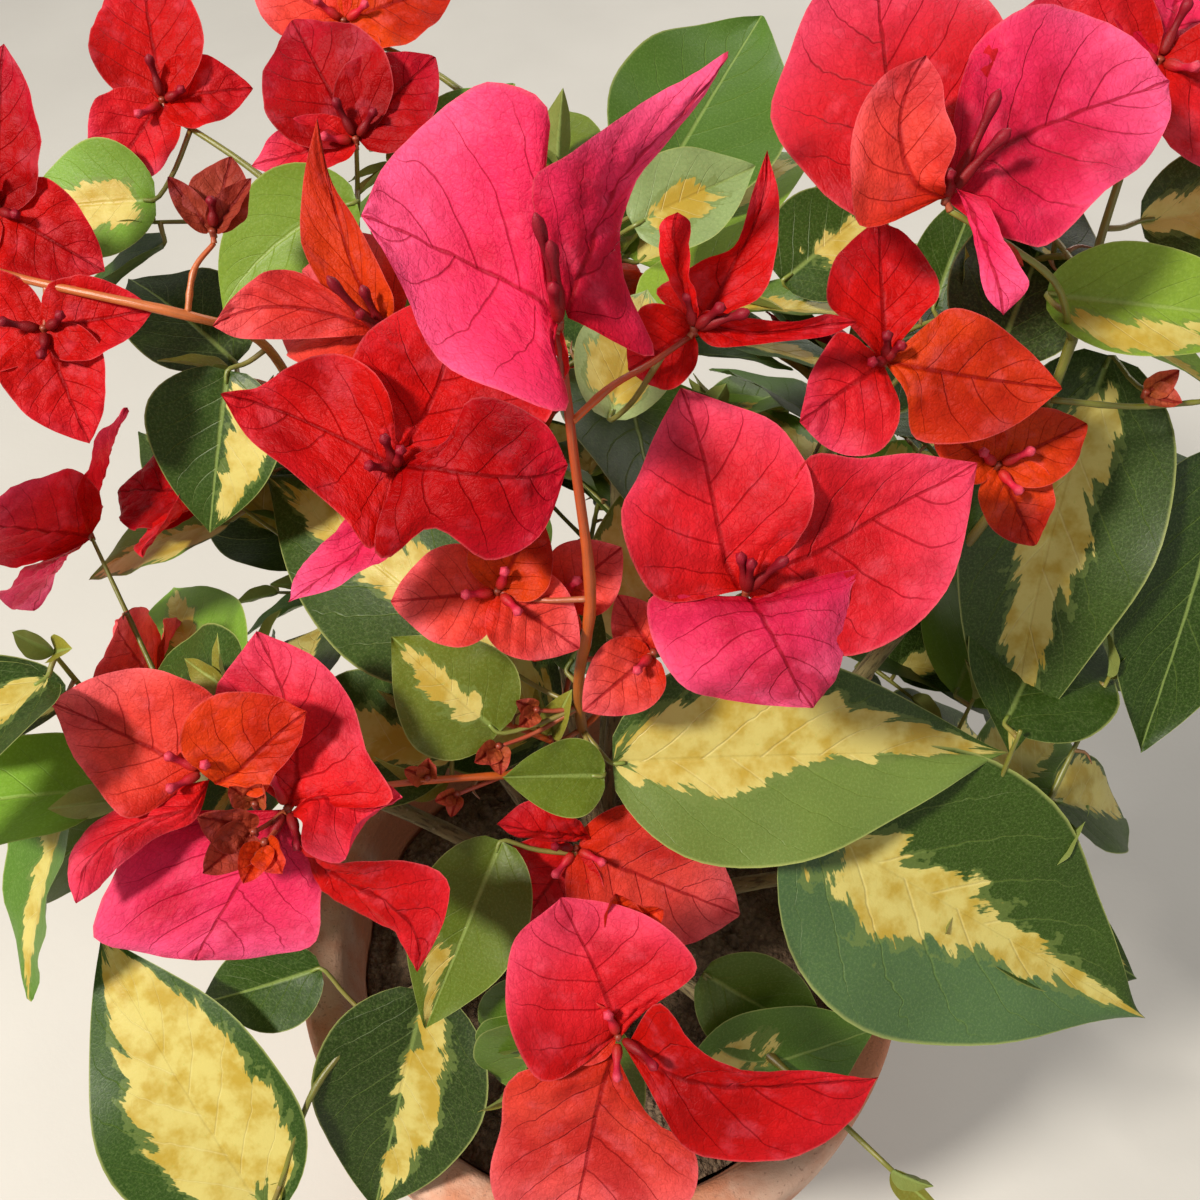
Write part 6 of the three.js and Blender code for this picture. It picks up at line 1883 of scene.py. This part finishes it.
def add_spray(spray, shoots, young, heaps):
    """Gathers one spray's leaves, bracts, flowers and stems."""
    draw = draw_for(spray, "organs")
    stems = heaps["stems"]
    colours = STEM_COLOURS[STEM_LOOKS.get(spray["name"], "green")]
    steps = 6 * (len(spray["stem"]) - 1)
    add_limb(stems, spray["stem"], shown(spray["radius"]), colours, STEM_SIDES, steps, draw, STEM_SWELL)
    for twig in spray["twigs"]:
        add_limb(stems, twig, shown(TWIG_RADIUS), colours[1:], STEM_SIDES, 14, draw, TWIG_SWELL)
    for shoot in shoots:
        path = shoot["points"]
        add_limb(stems, path, shown(SHOOT_RADIUS), colours[1:], STEM_SIDES, 12, draw, TWIG_SWELL)
        line = Curve(shoot["points"])
        for at in THORNS_AT:
            out = round_about(line.along(at), 360 * next(draw))
            add_thorn(stems, line.place(at), line.along(at), out, draw)
    organs = hand_set(spray) + buds_of(spray) + [organ for shoot in shoots for organ in shoot["organs"]]
    for organ in organs + young:
        add_organ(organ, heaps, draw)


def add_stalk(heaps, path, kind, steps, draw):
    radius = (STALK_RADIUS, 0.7 * STALK_RADIUS)
    add_limb(heaps["stems"], path, radius, STALK_COLOURS[kind], STALK_SIDES, steps, draw)


def add_organ(organ, heaps, draw):
    """A bloom or a leaf, with the stalk that it stands on."""
    blades = organ["blades"]
    kind = blades[0]["kind"]
    if "stalk" in organ:
        into = [blades[0]["foot"] + blades[0]["pose"][0] * STALK_INTO_LEAF] if kind == "leaf" else []
        add_stalk(heaps, organ["stalk"] + into, kind, 10, draw)
    for blade in blades:
        if "lead" in blade:
            lead, foot = blade["lead"], blade["foot"]
            path = [lead, (lead + foot) / 2, foot, foot + blade["pose"][0] * STALK_INTO_LEAF]
            add_stalk(heaps, path, kind, 8, draw)
        add_blade(heaps["leaves" if kind == "leaf" else "bracts"], blade, draw)
    if kind == "bract":
        add_heart(organ, heaps, draw)


HEART_COLOURS = [(0.24, 0.03, 0.012)] * 2
SHORTEST_WITH_TUBE = 15
LONGEST_TUBE = {"dark": 11, "rosy": 8}


def add_heart(organ, heaps, draw):
    """The heart of a bloom with its tube flowers, as listed or one on each of its larger bracts."""
    heart = organ["heart"]
    knob = [heart - np.array([0, 0, 1.2]), heart, heart + np.array([0, 0, 0.8])]
    add_limb(heaps["stems"], knob, (0.8, 0.9), HEART_COLOURS, 8, 4, draw)
    for turn, lift, length in organ.get("tubes", []):
        add_flower(heaps["flowers"], heart, aim(turn, lift, 0), 0.15, length, "dark", draw)
    if organ.get("tubes"):
        return
    for bract in organ["blades"][:3]:
        size = bract["form"]["length"]
        if size > SHORTEST_WITH_TUBE:
            look = "rosy" if bract["tint"] in ("coral", "orange", "rose") else "dark"
            length = min(LONGEST_TUBE[look], 4 + 0.16 * size)
            add_flower(heaps["flowers"], heart, bract["pose"], 1.1, length, look, draw)


# How the two bracts of a bud stand, and how the two smallest leaves end a shoot.
BUD_RULE = {"next": 70, "lift": 25, "width": 0.95, "bend": 40, "rise": 40}
YOUNG_RULE = {
    "next": 150, "outwards": 0.55, "up": 0.4, "length": 12, "length_spread": 7, "width": 0.5,
    "bend": -16, "rise": 26,
}


def buds_of(spray):
    """The small buds of a spray, each of two bracts that fold over each other."""
    rule = BUD_RULE
    organs = []
    for place, turn, length, tint in BUDS.get(spray["name"], []):
        heart = np.array(place, float)
        row = [length, rule["width"] * length, rule["bend"], 0, rule["rise"], rule["rise"]]
        poses = [aim(way, rule["lift"], 0) for way in (turn, turn + rule["next"])]
        blades = [bract_at(heart, pose, row, tint=tint) for pose in poses]
        organs.append({"blades": blades, "heart": heart, "stalk": stalk_to(heart, wood_of(spray))})
    return organs


def young_of(spray, shoots, set_by_hand):
    """The young leaves of a spray, except those that would hide what is listed."""
    draw = draw_for(spray, "young leaves")
    ends = [] if spray["blooms"] else [spray["stem"]]
    ends += [shoot["points"] for shoot in shoots if "heart" not in shoot["organs"][0]]
    organs = []
    for points in ends:
        pair = young_leaves(np.array(points[-1], float), Curve(points).along(1), draw)
        organs += [organ for organ in pair if not hides(organ, set_by_hand)]
    return organs


def young_leaves(end, along, draw):
    """The two smallest leaves, which end a shoot that carries no bloom there."""
    rule = YOUNG_RULE
    organs = []
    first = 360 * next(draw)
    wanted = unit(end - CROWN_MIDDLE) + np.array([0, 0, rule["up"]])
    for turn in (first, first + rule["next"]):
        out = round_about(along, turn)
        length = rule["length"] + rule["length_spread"] * next(draw)
        row = [length, rule["width"] * length, rule["bend"], 0, rule["rise"], rule["rise"]]
        pose = facing(unit(along + rule["outwards"] * out), wanted)
        organs.append({"blades": [leaf_at(end, pose, row, green="young", cream=None)]})
    return organs


def grow_plant():
    """The shoots that grow by rule, spray by spray, round all that is listed."""
    taken = Taken()
    taken.add(OPEN_PLACES, "pot", OPEN_WIDTH)
    for path, _ in BOUGHS.values():
        taken.add(Curve(path).line(14), "wood")
    by_hand = []
    for spray in SPRAYS:
        taken.add(wood_of(spray), spray["name"])
        blades = [blade for organ in hand_set(spray) for blade in organ["blades"]]
        taken.add(all_marks(blades), spray["name"], SIGHT_WIDTH)
        by_hand += blades
    grown = {spray["name"]: grow_spray(spray, taken) for spray in SPRAYS}
    taken.add(OPEN_FLOOR, "floor", OPEN_FLOOR_WIDTH)
    for spray in SPRAYS:
        grown[spray["name"]] += finer_twigs(spray, grown[spray["name"]], taken)
    set_by_hand = np.concatenate([surface_of(blade, numbers(1))[::6] for blade in by_hand])
    seen = {spray["name"]: in_the_open(spray, grown[spray["name"]], set_by_hand) for spray in SPRAYS}
    young = {spray["name"]: young_of(spray, seen[spray["name"]], set_by_hand) for spray in SPRAYS}
    return seen, young


def make_sprays(materials):
    """One piece for each spray and kind: leaves, bracts, flowers and stems."""
    slots = {"leaves": "foliage", "bracts": "blossom", "flowers": "blossom", "stems": "bark"}
    grown, young = grow_plant()
    for spray in SPRAYS:
        shoots = grown[spray["name"]]
        paint_grown(shoots, draw_for(spray, "paint"))
        heaps = {kind: Heap() for kind in slots}
        add_spray(spray, shoots, young[spray["name"]], heaps)
        for kind, heap in heaps.items():
            if heap.parts:
                piece = heap.build(f"{kind}_{spray['name'][6:]}", materials[kind])
                hand_over(piece, slots[kind], spray["name"])


def hand_over(piece, slot, *nodes):
    """Ties a piece to the solids that it stands for."""
    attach(piece, "root")
    if nodes:
        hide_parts(*nodes)


TRUNK_SUNK = 1.5
TRUNK_COLOURS = np.array([[0.20, 0.14, 0.09], [0.30, 0.24, 0.17]])
BOUGH_COLOURS = np.array([[0.24, 0.17, 0.10], [0.24, 0.20, 0.08]])


def trunk_radius(t):
    flare = TRUNK_FLARE * math.exp(-t * TRUNK_HEIGHT / TRUNK_FLARE_HEIGHT)
    return TRUNK_FOOT_RADIUS + (TRUNK_FORK_RADIUS - TRUNK_FOOT_RADIUS) * t + flare


def make_wood(material):
    """Trunk and boughs with the relief of their bark, as one mesh."""
    heap = Heap()
    draw = numbers(WOOD_SEED)
    foot = SOIL_LEVEL - TRUNK_SUNK
    path = [
        [0, 0, foot],
        [0, 0, foot + 0.15 * TRUNK_HEIGHT],
        [0.5 * TRUNK_LEAN[0], 0.5 * TRUNK_LEAN[1], foot + 0.6 * TRUNK_HEIGHT],
        [*TRUNK_LEAN, foot + TRUNK_HEIGHT + TRUNK_SUNK],
    ]
    ridges = [360 * next(draw) for _ in range(5)]

    def folds(t, angle):
        roots = sum(math.cos(angle - math.radians(ridge)) ** 12 for ridge in ridges)
        flare = 0.16 * roots * math.exp(-6 * t)
        cracks = 0.035 * math.sin(9 * angle + 5 * t) + 0.03 * math.sin(5 * angle - 9 * t)
        return 0.97 + flare + cracks + 0.02 * math.sin(40 * t + 3 * math.sin(angle))

    points, faces, corners, along = tube_mesh(path, trunk_radius, 40, 60, folds)
    brown, grey = TRUNK_COLOURS
    heap.add(points, faces, corners, brown + (grey - brown) * (0.5 + 0.5 * np.sin(5 * along))[:, None])
    old, young = BOUGH_COLOURS
    for path, (wide, thin) in BOUGHS.values():
        phase = 6 * next(draw)

        def bark(t, angle):
            return 0.98 + 0.045 * math.sin(6 * angle + 4 * t + phase) + 0.04 * math.sin(17 * t + phase)

        def taper(t):
            return wide + (thin - wide) * t

        points, faces, corners, along = tube_mesh(path, taper, 18, 40, bark)
        heap.add(points, faces, corners, old + (young - old) * along[:, None])
    piece = heap.build("wood", material)
    hand_over(piece, "bark", "trunk", *BOUGHS)


# Pot and soil

def inner_radius(z):
    share = (z - POT_FLOOR) / (POT_HEIGHT - POT_EDGE - POT_FLOOR)
    return POT_INNER_FOOT + (POT_INNER_TOP - POT_INNER_FOOT) * share


def ring_point(radius, side, sides, z):
    """The point of a ring round the pot's axis, in metres."""
    angle = 2 * math.pi * side / sides
    return radius * math.cos(angle) * MM, radius * math.sin(angle) * MM, z * MM


def close_up(shape, name):
    """The object of a shape that was built face by face, with its faces turned outwards."""
    bmesh.ops.recalc_face_normals(shape, faces=shape.faces)
    mesh = bpy.data.meshes.new(name)
    shape.to_mesh(mesh)
    shape.free()
    piece = bpy.data.objects.new(name, mesh)
    bpy.context.scene.collection.objects.link(piece)
    return piece


def pot_profile():
    """The pot's outline from the middle of its underside round to the middle of its floor."""
    body = POT_RIM_RADIUS - POT_BAND_STEP
    band = POT_HEIGHT - POT_BAND_HEIGHT
    corners = [
        (0, 0), (DRAIN_RING, 0), (POT_FOOT_RADIUS - POT_EDGE, 0), (POT_FOOT_RADIUS, POT_EDGE), (body, band),
        (POT_RIM_RADIUS - POT_EDGE, band + POT_EDGE), (POT_RIM_RADIUS, band + 3 * POT_EDGE),
        (POT_RIM_RADIUS, POT_HEIGHT - 2 * POT_EDGE), (POT_RIM_RADIUS - POT_EDGE, POT_HEIGHT),
        (POT_INNER_TOP + POT_EDGE, POT_HEIGHT), (POT_INNER_TOP, POT_HEIGHT - POT_EDGE),
        (POT_INNER_FOOT, POT_FLOOR), (DRAIN_RING, POT_FLOOR), (0, POT_FLOOR),
    ]
    profile = []
    for (r0, z0), (r1, z1) in zip(corners, corners[1:]):
        steps = max(2, round(math.hypot(r1 - r0, z1 - z0) / 3))
        profile += [(r0 + (r1 - r0) * n / steps, z0 + (z1 - z0) * n / steps) for n in range(steps)]
    return [*profile, corners[-1]]


def pot_vertex(shape, radius, z, side):
    """A point of the pot's wall, slightly uneven as from the hand."""
    angle = 2 * math.pi * side / POT_SIDES
    wobble = 0.35 * math.sin(2 * angle + 0.02 * z) + 0.18 * math.sin(5 * angle + 0.05 * z)
    uneven = radius + wobble * min(1, z / 20) + 0.16 * math.sin(1.1 * z) * min(1, z / 10)
    dip = 0.3 * math.sin(3 * angle) if z > POT_HEIGHT - POT_EDGE else 0
    return shape.verts.new(ring_point(uneven, side, POT_SIDES, z + dip - 0.3 * (dip != 0)))


def make_pot(material):
    """A turned pot with its drain holes."""
    shape = bmesh.new()
    rings = []
    for radius, z in pot_profile():
        if radius == 0:
            rings.append([shape.verts.new((0, 0, z * MM))] * POT_SIDES)
        else:
            rings.append([pot_vertex(shape, radius, z, side) for side in range(POT_SIDES)])
    for low, high in zip(rings, rings[1:]):
        for side in range(POT_SIDES):
            after = (side + 1) % POT_SIDES
            corners = [low[side], low[after], high[after], high[side]]
            shape.faces.new(list(dict.fromkeys(corners)))
    pot = close_up(shape, "pot_clay")
    drill_holes(pot)
    dress(pot, material)
    hand_over(pot, "terracotta", "pot")


def drill_holes(pot):
    """Cuts the drain holes through the pot's floor."""
    drills = []
    size = {"vertices": 32, "radius": DRAIN_RADIUS * MM, "depth": 3 * POT_FLOOR * MM}
    for n in range(DRAIN_HOLES):
        place = ring_point(DRAIN_RING, n, DRAIN_HOLES, 0)
        bpy.ops.mesh.primitive_cylinder_add(location=place, **size)
        drills.append(bpy.context.object)
    for drill in drills:
        cut = pot.modifiers.new("drain", "BOOLEAN")
        cut.object = drill
        cut.operation = "DIFFERENCE"
    bpy.context.view_layer.update()
    evaluated = pot.evaluated_get(bpy.context.evaluated_depsgraph_get())
    cut_mesh = bpy.data.meshes.new_from_object(evaluated)
    pot.modifiers.clear()
    pot.data = cut_mesh
    for drill in drills:
        bpy.data.objects.remove(drill)


def lumps(x, y):
    """Soft unevenness of the soil, from -1 to 1."""
    return (
        0.45 * math.sin(0.11 * x + 1.3) * math.cos(0.13 * y)
        + 0.3 * math.sin(0.31 * x + 0.23 * y + 2)
        + 0.25 * math.cos(0.57 * y - 0.41 * x)
    )


def soil_rings(shape, edge, draw):
    """The rings of points of the soil's lumpy top."""
    rings = []
    for ring in range(1, SOIL_RINGS + 1):
        radius = edge * ring / SOIL_RINGS
        row = []
        for side in range(SOIL_SIDES):
            x, y, _ = ring_point(radius, side, SOIL_SIDES, 0)
            eased = float(smooth_step(SOIL_FLAT_RADIUS, 2 * SOIL_FLAT_RADIUS, radius))
            rise = eased * (SOIL_LUMP * lumps(x / MM, y / MM) + SOIL_GRAIN * (next(draw) - 0.5))
            row.append(shape.verts.new((x, y, (SOIL_LEVEL + rise) * MM)))
        rings.append(row)
    return rings


def make_soil(material):
    """The soil's lumpy top and its side against the pot, and the crumbs that lie on it."""
    draw = numbers(CRUMB_SEED)
    shape = bmesh.new()
    edge, foot = inner_radius(SOIL_LEVEL) - SOIL_OFF_WALL, inner_radius(POT_FLOOR) - SOIL_OFF_WALL
    middle = shape.verts.new((0, 0, SOIL_LEVEL * MM))
    rings = soil_rings(shape, edge, draw)
    sides = range(SOIL_SIDES)
    rings.append([shape.verts.new(ring_point(foot, side, SOIL_SIDES, POT_FLOOR + GAP)) for side in sides])
    for side in sides:
        after = (side + 1) % SOIL_SIDES
        shape.faces.new([middle, rings[0][side], rings[0][after]])
        for low, high in zip(rings, rings[1:]):
            shape.faces.new([low[side], high[side], high[after], low[after]])
    shape.faces.new(list(reversed(rings[-1])))
    for _ in range(CRUMBS):
        radius, angle = edge * 0.96 * math.sqrt(next(draw)), 2 * math.pi * next(draw)
        size = CRUMB_RADIUS[0] + (CRUMB_RADIUS[1] - CRUMB_RADIUS[0]) * next(draw) ** 3
        if radius > TRUNK_FOOT_RADIUS + TRUNK_FLARE + 2:
            add_crumb(shape, radius * math.cos(angle), radius * math.sin(angle), size, draw)
    soil = close_up(shape, "soil_bed")
    dress(soil, material)
    hand_over(soil, "soil", "soil")


def add_crumb(shape, x, y, size, draw):
    """A rough lump of soil, half sunk."""
    made = bmesh.ops.create_icosphere(shape, subdivisions=1, radius=size * MM)["verts"]
    level = SOIL_LEVEL + SOIL_LUMP * lumps(x, y) + 0.3 * size
    for vertex in made:
        vertex.co *= 0.75 + 0.5 * next(draw)
        vertex.co.z *= 0.75
        vertex.co += Vector((x * MM, y * MM, level * MM))


# Floor, light and camera

def make_floor(material):
    bpy.ops.mesh.primitive_plane_add(size=6)
    floor = bpy.context.object
    floor.name = "floor"
    floor.data.materials.append(material)


def add_lamp(name, place, aim_at, size, power, colour):
    data = bpy.data.lights.new(name, "AREA")
    data.shape = "DISK"
    data.size = size
    data.energy = power
    data.color = colour
    lamp = bpy.data.objects.new(name, data)
    lamp.location = place
    lamp.rotation_euler = (Vector(aim_at) - Vector(place)).to_track_quat("-Z", "Y").to_euler()
    bpy.context.scene.collection.objects.link(lamp)


def make_light():
    """A warm key from the upper left, a broad cool fill and a pale surround."""
    middle = (0, 0, 0.3)
    add_lamp("key_light", (-0.95, -0.55, 1.55), middle, 0.24, 42, (1.0, 0.95, 0.86))
    add_lamp("fill_light", (1.1, -0.9, 1.2), middle, 1.4, 4, (1.0, 0.98, 0.95))
    add_lamp("back_light", (0.5, 1.3, 1.1), middle, 0.8, 9, (1.0, 0.97, 0.92))
    world = bpy.data.worlds.new("studio")
    world.use_nodes = True
    world.node_tree.nodes["Background"].inputs["Color"].default_value = (1.0, 0.985, 0.95, 1)
    world.node_tree.nodes["Background"].inputs["Strength"].default_value = 0.36
    bpy.context.scene.world = world
    bpy.context.scene.view_settings.view_transform = "Standard"


CAMERA_PLACE = (0, -155, 533)
CAMERA_TILT = 38
CAMERA_LENS = 36
CAMERA_SENSOR = 36


def make_camera():
    """Looks down on the showing side, as wide as it is long."""
    data = bpy.data.cameras.new("camera")
    data.lens = CAMERA_LENS
    data.sensor_width = CAMERA_SENSOR
    data.clip_start = 0.01
    camera = bpy.data.objects.new("camera", data)
    camera.location = [value * MM for value in CAMERA_PLACE]
    camera.rotation_euler = (math.radians(CAMERA_TILT), 0, 0)
    bpy.context.scene.collection.objects.link(camera)
    bpy.context.scene.camera = camera


def main():
    make_camera()
    veins, grain = veins_group(), grain_group()
    materials = {
        "leaves": leaf_material(veins, grain),
        "bracts": bract_material(veins, grain),
        "flowers": flower_material(grain),
        "stems": stem_material(grain),
    }
    make_sprays(materials)
    make_wood(bark_material(grain))
    make_pot(terracotta_material(grain))
    make_soil(soil_material(grain))
    make_floor(floor_material())
    make_light()


main()
